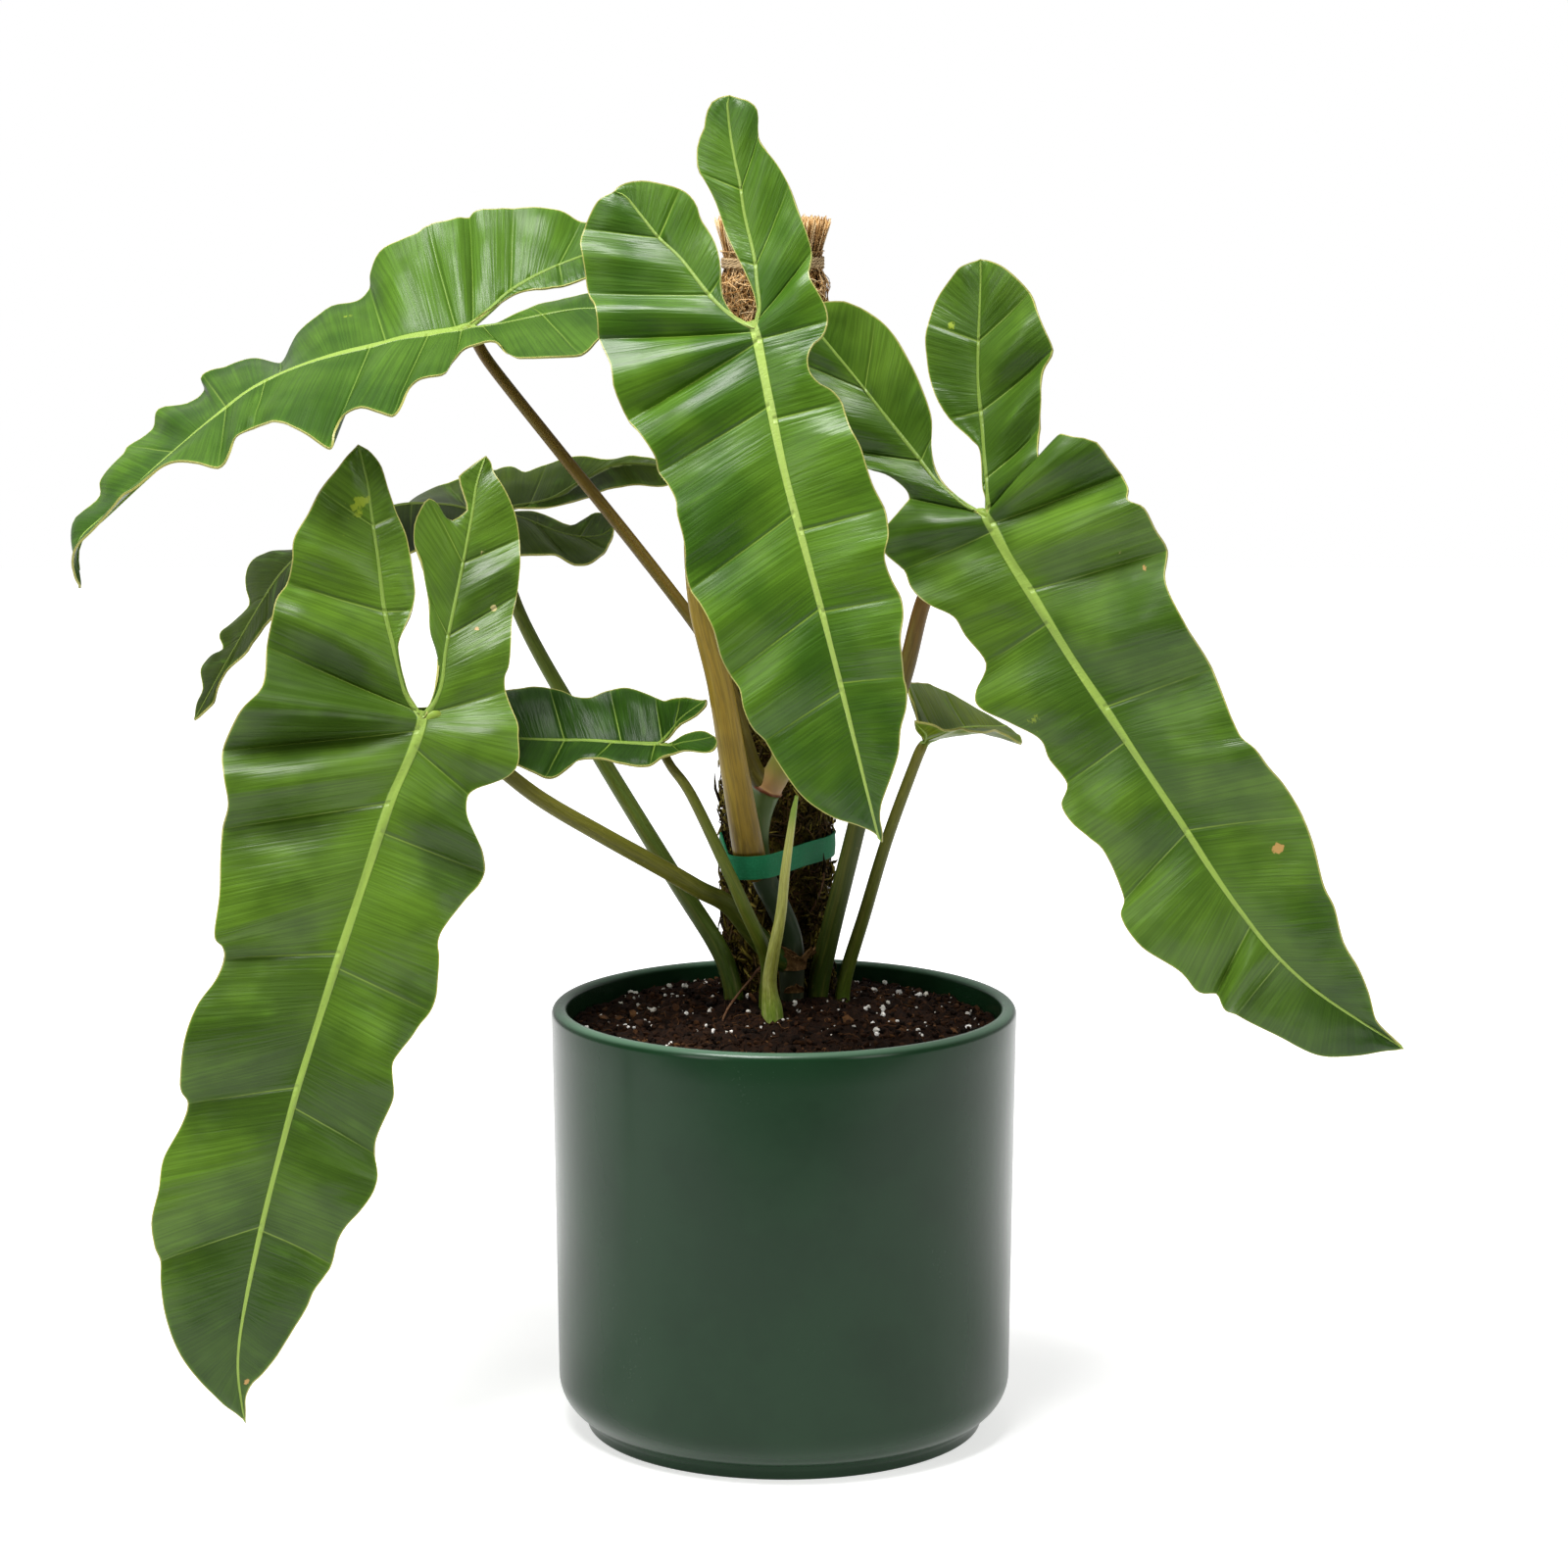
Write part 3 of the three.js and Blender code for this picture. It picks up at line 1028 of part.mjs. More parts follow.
function buildLeaf(leaf, stemCutter) {
  const frame = new BladeFrame(leaf);
  const blade = solidOf(thicken(bladeSheet(leaf, frame)));
  let petiole = solidOf(petioleGeometry(leaf.petiole, 0));
  if (leaf.petiole.points[0][2] > 240) {
    petiole = mainBody(petiole.subtract(stemCutter));
  }
  return geometryFrom(mainBody(blade.add(petiole)));
}

function tubeOf({ points, radii }, grow = 0) {
  return taperedTube(points, radii, 12, points.length * 2, grow);
}

// The scene
const plant = new THREE.Group();

function addPiece(name, geometry, colour, roughness) {
  const material = new THREE.MeshStandardMaterial({ color: colour, roughness, metalness: 0 });
  const mesh = new THREE.Mesh(geometry, material);
  mesh.name = name;
  plant.add(mesh);
}

const stemCutter = solidOf(tubeOf(STEM, GAP));
const poleHole = new THREE.CylinderGeometry(POLE_RADIUS + POLE_RAG + GAP,
  POLE_RADIUS + POLE_RAG + GAP, 260, 36);
poleHole.rotateX(Math.PI / 2);
poleHole.translate(POLE_X, POLE_Y, POLE_FOOT_Z - GAP + 130);

const soilHoles = [
  poleHole,
  tubeOf(STEM, GAP),
  tubeOf(SHOOT, GAP),
  ...LEAVES.filter((leaf) => leaf.petiole.points[0][2] < 200)
    .map((leaf) => petioleGeometry(leaf.petiole, GAP)),
];

addPiece('pot', buildPot(), COLOURS.glaze, 0.45);
addPiece('soil', buildSoil(soilHoles), COLOURS.soil, 0.95);
addPiece('pole_stake', buildStake(), COLOURS.wood, 0.8);
addPiece('pole_moss', poleSleeve(evenHeights(POLE_FOOT_Z, POLE_JOIN_Z, 12), null),
  COLOURS.moss, 0.95);
addPiece('pole_coir', poleSleeve([
  ...evenHeights(POLE_JOIN_Z + GAP, TWINE_Z - TWINE_SEAT / 2 - 8, 9),
  TWINE_Z - TWINE_SEAT / 2,
  TWINE_Z + TWINE_SEAT / 2,
  POLE_TOP_Z - 6,
  POLE_TOP_Z,
], STAKE_TOP_Z + GAP + 0.15), COLOURS.coir, 0.9);
addPiece('twine', buildTwine(), COLOURS.twine, 0.9);
addPiece('tie', buildTie(), COLOURS.tie, 0.7);
addPiece('stem', tubeOf(STEM), COLOURS.stem, 0.6);
addPiece('shoot', tubeOf(SHOOT), COLOURS.shoot, 0.5);
for (const leaf of LEAVES) {
  addPiece(leaf.name, buildLeaf(leaf, stemCutter), COLOURS.leaf, 0.45);
}

export default plant;
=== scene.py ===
"""Potted philodendron on a fibre pole: seven waved arrow-shaped leaves over a dark green glazed pot.

Metres, +Z up, origin on the floor under the middle of the pot, -Y is the front. The plans of the
leaves, stalks and stem are given in millimetres and are turned into metres where a mesh is made.
"""

import logging
import math
from dataclasses import dataclass
from typing import Any, Callable, Sequence, Union

import bpy
import numpy as np
from mathutils import Euler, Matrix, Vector, noise


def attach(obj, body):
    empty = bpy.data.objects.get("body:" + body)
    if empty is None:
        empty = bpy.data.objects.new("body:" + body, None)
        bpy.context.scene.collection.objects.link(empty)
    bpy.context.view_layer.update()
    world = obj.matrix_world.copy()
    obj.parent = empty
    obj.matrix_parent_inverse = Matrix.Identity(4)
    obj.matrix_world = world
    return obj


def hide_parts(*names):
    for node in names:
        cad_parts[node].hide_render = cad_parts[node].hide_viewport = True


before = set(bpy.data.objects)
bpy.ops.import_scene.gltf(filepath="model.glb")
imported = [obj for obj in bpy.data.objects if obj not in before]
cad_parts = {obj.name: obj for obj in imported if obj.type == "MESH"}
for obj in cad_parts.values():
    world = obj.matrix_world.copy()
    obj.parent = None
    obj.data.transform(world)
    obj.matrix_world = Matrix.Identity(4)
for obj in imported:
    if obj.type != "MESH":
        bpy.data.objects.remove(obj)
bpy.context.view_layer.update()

LOG = logging.getLogger("plant")
MM = 0.001
TURN = 2 * math.pi
FIBRE_SIDES = 3

Row = tuple[float, ...]
Colour = tuple[float, float, float, float]
Number = Union["Line", float]
Array = np.ndarray
Piece = bpy.types.Object
Material = bpy.types.Material


def paint(code: str) -> Colour:
    """Turn a screen colour into the renderer's own.

    Args:
        code: six hexadecimal digits, as on a paint card.

    Returns:
        Red, green, blue and full opacity, in linear light.
    """
    parts = [int(code[i:i + 2], 16) / 255 for i in (0, 2, 4)]
    red, green, blue = (v / 12.92 if v <= 0.04045 else ((v + 0.055) / 1.055) ** 2.4 for v in parts)
    return (red, green, blue, 1.0)


def smooth_step(low: float, high: float, value: Array) -> Array:
    """Rise smoothly from 0 at low to 1 at high."""
    share = np.clip((value - low) / (high - low), 0, 1)
    return share * share * (3 - 2 * share)


def unit(vectors: Array) -> Array:
    """Scale each row of an array to the length 1."""
    return vectors / np.maximum(np.linalg.norm(vectors, axis=-1, keepdims=True), 1e-12)


def spline(rows: Sequence[Row] | Array, places: Array) -> Array:
    """Read a smooth curve that goes through every row.

    Args:
        rows: the rows of numbers that the curve goes through.
        places: where to read it, counted in rows.

    Returns:
        One row of numbers for each place.
    """
    table = np.array(rows, float)
    table = np.vstack([2 * table[0] - table[1], table, 2 * table[-1] - table[-2]])
    last = len(rows) - 1
    at = np.clip(places, 0, last)
    i = np.minimum(np.floor(at).astype(int), last - 1)
    f = (at - i)[:, None]
    before, start, end, after = (table[i + k] for k in range(4))
    m0 = (end - before) / 2
    m1 = (after - start) / 2
    cubic = 2 * start - 2 * end + m0 + m1
    square = -3 * start + 3 * end - 2 * m0 - m1
    return cubic * f ** 3 + square * f ** 2 + m0 * f + start


def grain(x: Any, y: Any, z: Any) -> Array:
    """Read a smooth noise at many places.

    Args:
        x: first coordinates, one lump being about one unit wide.
        y: second coordinates.
        z: third coordinates.

    Returns:
        Values of about -1 to 1, in the shape that the three have together.
    """
    places = np.stack(np.broadcast_arrays(x, y, z), axis=-1)
    values = [noise.noise(Vector(p)) for p in places.reshape(-1, 3).tolist()]
    return np.array(values).reshape(places.shape[:-1])


def distances(points: Array) -> Array:
    """Give the distance gone along a line at each of its points."""
    steps = np.linalg.norm(np.diff(points, axis=0), axis=1)
    return np.concatenate([[0.0], steps.cumsum()])


def pair(first: Array, second: Array) -> Array:
    """Put two charts together, as two numbers for each place."""
    return np.stack(np.broadcast_arrays(first, second), axis=-1)


def maths(operation: str, swapped: bool = False) -> Callable[..., "Line"]:
    """Make an operator that adds one Math node.

    Args:
        operation: what the node does.
        swapped: whether the socket comes second.

    Returns:
        The operator.
    """

    def work(line: "Line", other: Number = 0.0) -> "Line":
        """Add the node."""
        first, second = (other, line) if swapped else (line, other)
        return line.bench.add("ShaderNodeMath", {"operation": operation}, {0: first, 1: second})

    return work


class Line:
    """A node's output that takes part in sums."""

    __add__ = maths("ADD")
    __radd__ = maths("ADD", swapped=True)
    __sub__ = maths("SUBTRACT")
    __rsub__ = maths("SUBTRACT", swapped=True)
    __mul__ = maths("MULTIPLY")
    __rmul__ = maths("MULTIPLY", swapped=True)
    sine = maths("SINE")
    largest = maths("MAXIMUM")

    def __init__(self, bench: "Bench", socket: Any) -> None:
        """Keep the socket and the bench that it is on."""
        self.bench = bench
        self.socket = socket

    def ramp(self, low: float, high: float, start: float = 0.0, end: float = 1.0) -> "Line":
        """Map a range smoothly onto another, and hold it outside.

        Args:
            low: the value that becomes start.
            high: the value that becomes end.
            start: what low becomes.
            end: what high becomes.

        Returns:
            The mapped value.
        """
        if high < low:
            low, high, start, end = high, low, end, start
        return self.bench.add(
            "ShaderNodeMapRange",
            {"interpolation_type": "SMOOTHSTEP"},
            {"Value": self, "From Min": low, "From Max": high, "To Min": start, "To Max": end},
        )


class Bench:
    """The nodes of one material, or of the studio's air."""

    def __init__(self, name: str, owner: Any = None) -> None:
        """Start with no nodes.

        Args:
            name: the material's name.
            owner: what the nodes belong to; a new material if none is given.
        """
        self.owner = owner or bpy.data.materials.new(name)
        self.owner.use_nodes = True
        self.tree = self.owner.node_tree
        self.tree.nodes.clear()
        self.place = self.add("ShaderNodeTexCoord", out="Object")

    def add(self, kind: str, settings: dict[str, Any] | None = None,
            inputs: dict[Any, Any] | None = None, out: Any = 0) -> Line:
        """Put one node on the bench.

        Args:
            kind: the node's type.
            settings: its settings, set first; stops fills a colour ramp.
            inputs: the values, colour codes or links of its sockets, by name or number.
            out: the output that is wanted; None where the node has none.

        Returns:
            That output.
        """
        node = self.tree.nodes.new(kind)
        for key, value in (settings or {}).items():
            if key == "stops":
                ramp = node.color_ramp
                while len(ramp.elements) < len(value):
                    ramp.elements.new(1.0)
                for element, (position, colour) in zip(ramp.elements, value):
                    element.position = position
                    element.color = paint(colour)
            else:
                setattr(node, key, value)
        for key, value in (inputs or {}).items():
            if isinstance(value, Line):
                self.tree.links.new(value.socket, node.inputs[key])
            else:
                node.inputs[key].default_value = paint(value) if isinstance(value, str) else value
        return Line(self, None if out is None else node.outputs[out])

    def mix(self, share: Number, first: Any, second: Any) -> Line:
        """Mix two colours."""
        settings = {"data_type": "RGBA", "clamp_factor": True}
        return self.add("ShaderNodeMix", settings, {0: share, 6: first, 7: second}, out=2)

    def noise(self, feature: float, detail: float = 3.0, rough: float = 0.55,
              vector: Line | None = None, twist: float = 0.0) -> Line:
        """Read a noise of about 0 to 1.

        Args:
            feature: how wide one lump is, in the vector's unit.
            detail: how many finer layers it has.
            rough: how strong those are.
            vector: where it is read; the piece's own place if none is given.
            twist: how far the lumps are pulled about.

        Returns:
            The noise.
        """
        inputs = {"Vector": vector or self.place, "Scale": 1 / feature, "Detail": detail,
                  "Roughness": rough, "Distortion": twist}
        return self.add("ShaderNodeTexNoise", None, inputs)

    def split(self, vector: Line) -> tuple[Line, Line, Line]:
        """Take a vector apart."""
        node = self.add("ShaderNodeSeparateXYZ", None, {0: vector}).socket.node
        return tuple(Line(self, node.outputs[k]) for k in range(3))

    def join(self, x: Number, y: Number, z: Number = 0.0) -> Line:
        """Put three numbers together as a vector."""
        return self.add("ShaderNodeCombineXYZ", None, {0: x, 1: y, 2: z})

    def chart(self, name: str) -> tuple[Line, Line]:
        """Read one of the piece's own charts."""
        across, along, _ = self.split(self.add("ShaderNodeUVMap", {"uv_map": name}))
        return across, along

    def far(self, point: Sequence[float]) -> Line:
        """Measure how far a place is from one point of the piece."""
        return self.add("ShaderNodeVectorMath", {"operation": "DISTANCE"},
                        {0: self.place, 1: tuple(point)}, out="Value")

    def bump(self, height: Line, depth: float, strength: float = 1.0) -> Line:
        """Turn a height into a shading normal."""
        return self.add("ShaderNodeBump", None,
                        {"Strength": strength, "Distance": depth, "Height": height})

    def close(self, sockets: dict[str, Any], shader: str = "ShaderNodeBsdfPrincipled",
              end: str = "ShaderNodeOutputMaterial") -> Any:
        """Finish the material with one shader."""
        self.add(end, None, {"Surface": self.add(shader, None, sockets)}, out=None)
        return self.owner


class Shop:
    """The few hand operations that every piece uses."""

    @staticmethod
    def clear() -> None:
        """Deselect everything."""
        if bpy.context.object and bpy.context.object.mode != "OBJECT":
            bpy.ops.object.mode_set(mode="OBJECT")
        bpy.ops.object.select_all(action="DESELECT")

    @staticmethod
    def pick(*pieces: Piece) -> None:
        """Select these pieces alone, the first one active."""
        Shop.clear()
        for piece in pieces:
            piece.select_set(True)
        bpy.context.view_layer.objects.active = pieces[0]

    @staticmethod
    def edit(piece: Piece, action: str = "SELECT") -> None:
        """Open a piece's mesh for editing.

        Args:
            piece: the piece.
            action: SELECT or DESELECT, for all of its mesh.
        """
        Shop.pick(piece)
        bpy.ops.object.mode_set(mode="EDIT")
        bpy.ops.mesh.select_all(action=action)

    @staticmethod
    def take(name: str) -> Piece:
        """Name the primitive that was just added.

        Args:
            name: the piece's name.

        Returns:
            The piece.
        """
        piece = bpy.context.object
        piece.name = name
        piece.data.name = name
        return piece

    @staticmethod
    def weld(piece: Piece, reach: float = 1e-6) -> None:
        """Merge double points and turn the faces out.

        Args:
            piece: the piece.
            reach: how far apart doubles may be.
        """
        Shop.edit(piece)
        bpy.ops.mesh.remove_doubles(threshold=reach)
        bpy.ops.mesh.normals_make_consistent(inside=False)
        bpy.ops.object.mode_set(mode="OBJECT")

    @staticmethod
    def settle(piece: Piece, angle: float = 45.0) -> Piece:
        """Put the piece's place into its mesh and shade it smooth.

        Args:
            piece: the piece.
            angle: edges sharper than this stay sharp, in degrees.

        Returns:
            The piece.
        """
        Shop.pick(piece)
        bpy.ops.object.transform_apply(location=True, rotation=True, scale=True)
        bpy.ops.object.shade_smooth_by_angle(angle=math.radians(angle))
        return piece

    @staticmethod
    def modify(piece: Piece, kind: str, **settings: Any) -> None:
        """Add a modifier and apply it.

        Args:
            piece: the piece.
            kind: the modifier's type.
            settings: its settings.
        """
        Shop.pick(piece)
        modifier = piece.modifiers.new(kind.title(), kind)
        for key, value in settings.items():
            setattr(modifier, key, value)
        bpy.ops.object.modifier_apply(modifier=modifier.name)

    @staticmethod
    def join(name: str, pieces: Sequence[Piece]) -> Piece:
        """Join pieces into one object.

        Args:
            name: the joined piece's name.
            pieces: what is joined; the first one takes the others.

        Returns:
            The joined piece.
        """
        Shop.pick(*pieces)
        if len(pieces) > 1:
            bpy.ops.object.join()
        return Shop.take(name)

    @staticmethod
    def grid(name: str, points: Array, charts: dict[str, Array] | None = None,
             ) -> Piece:
        """Add a grid and move each of its crossings to its place.

        Args:
            name: the piece's name.
            points: the places by row and column, in metres.
            charts: charts by name, two numbers for each crossing.

        Returns:
            The open sheet.
        """
        rows, columns = points.shape[:2]
        Shop.clear()
        bpy.ops.mesh.primitive_grid_add(x_subdivisions=columns - 1, y_subdivisions=rows - 1, size=1)
        piece = Shop.take(name)
        mesh = piece.data
        flat = np.zeros(len(mesh.vertices) * 3)
        mesh.vertices.foreach_get("co", flat)
        flat = flat.reshape(-1, 3)
        column = np.rint((flat[:, 0] + 0.5) * (columns - 1)).astype(int)
        row = np.rint((flat[:, 1] + 0.5) * (rows - 1)).astype(int)
        mesh.vertices.foreach_set("co", points[row, column].ravel())
        while mesh.uv_layers:
            mesh.uv_layers.remove(mesh.uv_layers[0])
        corner = np.zeros(len(mesh.loops), int)
        mesh.loops.foreach_get("vertex_index", corner)
        for key, chart in (charts or {}).items():
            layer = mesh.uv_layers.new(name=key)
            layer.data.foreach_set("uv", chart[row[corner], column[corner]].ravel())
        mesh.update()
        return piece

    @staticmethod
    def hand_over(piece: Piece, slot: str, *nodes: str) -> None:
        """Give the finished piece to its body, hide the solids that it replaces and log its triangles.

        Args:
            piece: the finished piece.
            slot: not used.
            nodes: the solids that it replaces.
        """
        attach(piece, "root")
        if nodes:
            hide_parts(*nodes)
        piece.data.calc_loop_triangles()
        LOG.info("%s: %d triangles", piece.name, len(piece.data.loop_triangles))

    @staticmethod
    def coat(piece: Piece, *materials: Material) -> None:
        """Give the piece its materials, in order."""
        piece.data.materials.clear()
        for material in materials:
            piece.data.materials.append(material)

    @staticmethod
    def finish(piece: Piece, material: Material, slot: str, *nodes: str, angle: float = 0.0) -> Piece:
        """Dress a piece, shade it and hand it over.

        Args:
            piece: the modelled piece.
            material: its material.
            slot: not used.
            nodes: the solids that it replaces.
            angle: edges sharper than this stay sharp, in degrees; 0 leaves the shading alone.

        Returns:
            The finished piece.
        """
        Shop.coat(piece, material)
        if angle:
            Shop.settle(piece, angle)
        Shop.hand_over(piece, slot, *nodes)
        return piece


def turned(name: str, profile: Sequence[tuple[float, float]], sides: int) -> Piece:
    """Raise a round shape from a disc, ring by ring.

    Args:
        name: the piece's name.
        profile: radius and height of each ring in millimetres, from the bottom disc
            up the outside, over the edge and down to the last disc.
        sides: how many sides the rings have.

    Returns:
        The closed shape.
    """
    radius, height = profile[0]
    Shop.clear()
    bpy.ops.mesh.primitive_circle_add(vertices=sides, radius=radius * MM, fill_type="NGON",
                                      location=(0, 0, height * MM))
    piece = Shop.take(name)
    bpy.ops.object.transform_apply(location=True, rotation=True, scale=True)
    Shop.edit(piece)
    for wide, high in profile[1:]:
        bpy.ops.mesh.extrude_region_move(TRANSFORM_OT_translate={"value": (0, 0, (high - height) * MM)})
        share = wide / radius
        bpy.ops.transform.resize(value=(share, share, 1), center_override=(0, 0, 0))
        radius, height = wide, high
    bpy.ops.mesh.select_all(action="DESELECT")
    bpy.ops.mesh.select_non_manifold()
    bpy.ops.mesh.edge_face_add()
    bpy.ops.object.mode_set(mode="OBJECT")
    Shop.weld(piece)
    return piece


def corner_arc(centre: tuple[float, float], radius: float, start: float, end: float,
               steps: int) -> list[tuple[float, float]]:
    """Round a corner of a profile.

    Args:
        centre: radius and height of the arc's centre.
        radius: the arc's radius.
        start: the first angle in degrees, 0 pointing outwards and 90 up.
        end: the last angle.
        steps: how many steps it takes.

    Returns:
        The points of the arc.
    """
    points = []
    for k in range(steps + 1):
        angle = math.radians(start + (end - start) * k / steps)
        points.append((centre[0] + radius * math.cos(angle), centre[1] + radius * math.sin(angle)))
    return points


@dataclass(frozen=True)
class TubePath:
    """A round stalk along a curve."""

    rows: Sequence[Row] | Array
    sides: int = 20
    pitch: float = 4.0
    swell: Callable[[Array, Array], Array] | None = None

    def build(self, name: str) -> Piece:
        """Model the stalk as one closed skin.

        Args:
            name: the piece's name.

        Returns:
            The stalk, with a chart called along: share of the length and turn.
        """
        table = np.array(self.rows, float)
        length = np.linalg.norm(np.diff(table[:, :3], axis=0), axis=1).sum()
        steps = max(12, int(length / self.pitch))
        places = np.linspace(0, len(self.rows) - 1, steps + 1)
        read = spline(self.rows, places)
        centre, radius = read[:, :3], read[:, 3]
        tangent = unit(np.gradient(centre, axis=0))
        side = np.zeros_like(centre)
        across = np.array([1.0, 0, 0])
        for k, direction in enumerate(tangent):
            across = across - direction * across.dot(direction)
            across /= np.linalg.norm(across)
            side[k] = across
        other = np.cross(tangent, side)
        turn = np.linspace(0, TURN, self.sides + 1)
        share = np.linspace(0, 1, steps + 1)
        wide = radius[:, None] * np.ones((1, self.sides + 1))
        if self.swell:
            wide = wide * self.swell(share[:, None], turn[None, :])
        ring = centre[:, None] + wide[..., None] * (
            np.cos(turn)[None, :, None] * side[:, None] + np.sin(turn)[None, :, None] * other[:, None])
        ring[:, -1] = ring[:, 0]
        first = np.repeat(centre[:1, None], self.sides + 1, axis=1)
        last = np.repeat(centre[-1:, None], self.sides + 1, axis=1)
        points = np.concatenate([first, ring, last]) * MM
        shares = np.concatenate([[0.0], share, [1.0]])
        chart = pair(shares[:, None], turn / TURN)
        piece = Shop.grid(name, points, {"along": chart})
        Shop.weld(piece, 1e-7)
        return piece


def of_bits(name: str, points: Array, faces: list[Any], tones: Array) -> Piece:
    """Make one piece of many bits.

    Args:
        name: the piece's name.
        points: all the points, in metres.
        faces: the faces by point numbers.
        tones: each point's tone, 0 to 1, kept as an attribute.

    Returns:
        The piece.
    """
    mesh = bpy.data.meshes.new(name)
    mesh.from_pydata(points.tolist(), [], faces)
    tone = mesh.attributes.new("tone", "FLOAT", "POINT")
    tone.data.foreach_set("value", tones.astype(np.float32))
    mesh.update()
    piece = bpy.data.objects.new(name, mesh)
    bpy.context.scene.collection.objects.link(piece)
    return piece


def lay_fibres(name: str, paths: Array, width: float, more: float, source: np.random.Generator,
               taper: float = 0.35) -> Piece:
    """Lay a three-sided fibre along every path. Thousands are past what hand tools can place.

    Args:
        name: the piece's name.
        paths: the middle lines, by fibre and bend, in millimetres.
        width: the least width in millimetres.
        more: how much wider a fibre may be.
        source: the seeded numbers.
        taper: how wide a fibre's tip is against its middle.

    Returns:
        One piece that holds all the fibres.
    """
    count, bends = paths.shape[:2]
    paths = paths * MM
    widths = (width + more * source.random(count)) * MM
    tones = source.random(count)
    tangent = unit(np.gradient(paths, axis=1))
    help_axis = np.where(np.abs(tangent[..., 2:3]) > 0.8, [[[1.0, 0, 0]]], [[[0, 0, 1.0]]])
    side = unit(np.cross(tangent, help_axis))
    other = np.cross(tangent, side)
    profile = taper + (1 - taper) * np.sin(math.pi * np.linspace(0, 1, bends)) ** 0.5
    turn = (np.arange(FIBRE_SIDES) * TURN / FIBRE_SIDES)[:, None]
    radius = (widths[:, None] / 2 * profile)[..., None, None]
    ring = paths[:, :, None] + radius * (np.cos(turn) * side[:, :, None] + np.sin(turn) * other[:, :, None])
    number = np.arange(ring[..., 0].size).reshape(ring.shape[:3])
    after = np.roll(number, -1, axis=2)
    quads = np.stack([number[:, :-1], after[:, :-1], after[:, 1:], number[:, 1:]], axis=-1)
    faces = quads.reshape(-1, 4).tolist() + number[:, 0, ::-1].tolist() + number[:, -1].tolist()
    piece = of_bits(name, ring.reshape(-1, 3), faces, np.repeat(tones, bends * FIBRE_SIDES))
    piece.data.shade_smooth()
    return piece


def scatter(name: str, model: Piece, places: Array, sizes: Array,
            turns: Array, tones: Array) -> Piece:
    """Copy a small modelled lump to many places, each copy with its own mesh in one piece.

    Args:
        name: the piece's name.
        model: the lump, about one unit wide; it is used up.
        places: where the copies go, in metres.
        sizes: each copy's size along x, y and z, in metres.
        turns: each copy's turn about x, y and z, in radians.
        tones: each copy's tone, 0 to 1, kept as an attribute.

    Returns:
        One piece that holds all the copies.
    """
    source = model.data
    corners = np.array([v.co for v in source.vertices])
    faces = [list(face.vertices) for face in source.polygons]
    points = []
    polygons = []
    for k, (place, size, turn) in enumerate(zip(places, sizes, turns)):
        points.append((corners * size) @ np.array(Euler(turn).to_matrix()).T + place)
        polygons.extend([[i + k * len(corners) for i in face] for face in faces])
    piece = of_bits(name, np.concatenate(points), polygons, np.repeat(tones, len(corners)))
    bpy.data.objects.remove(model)
    return piece


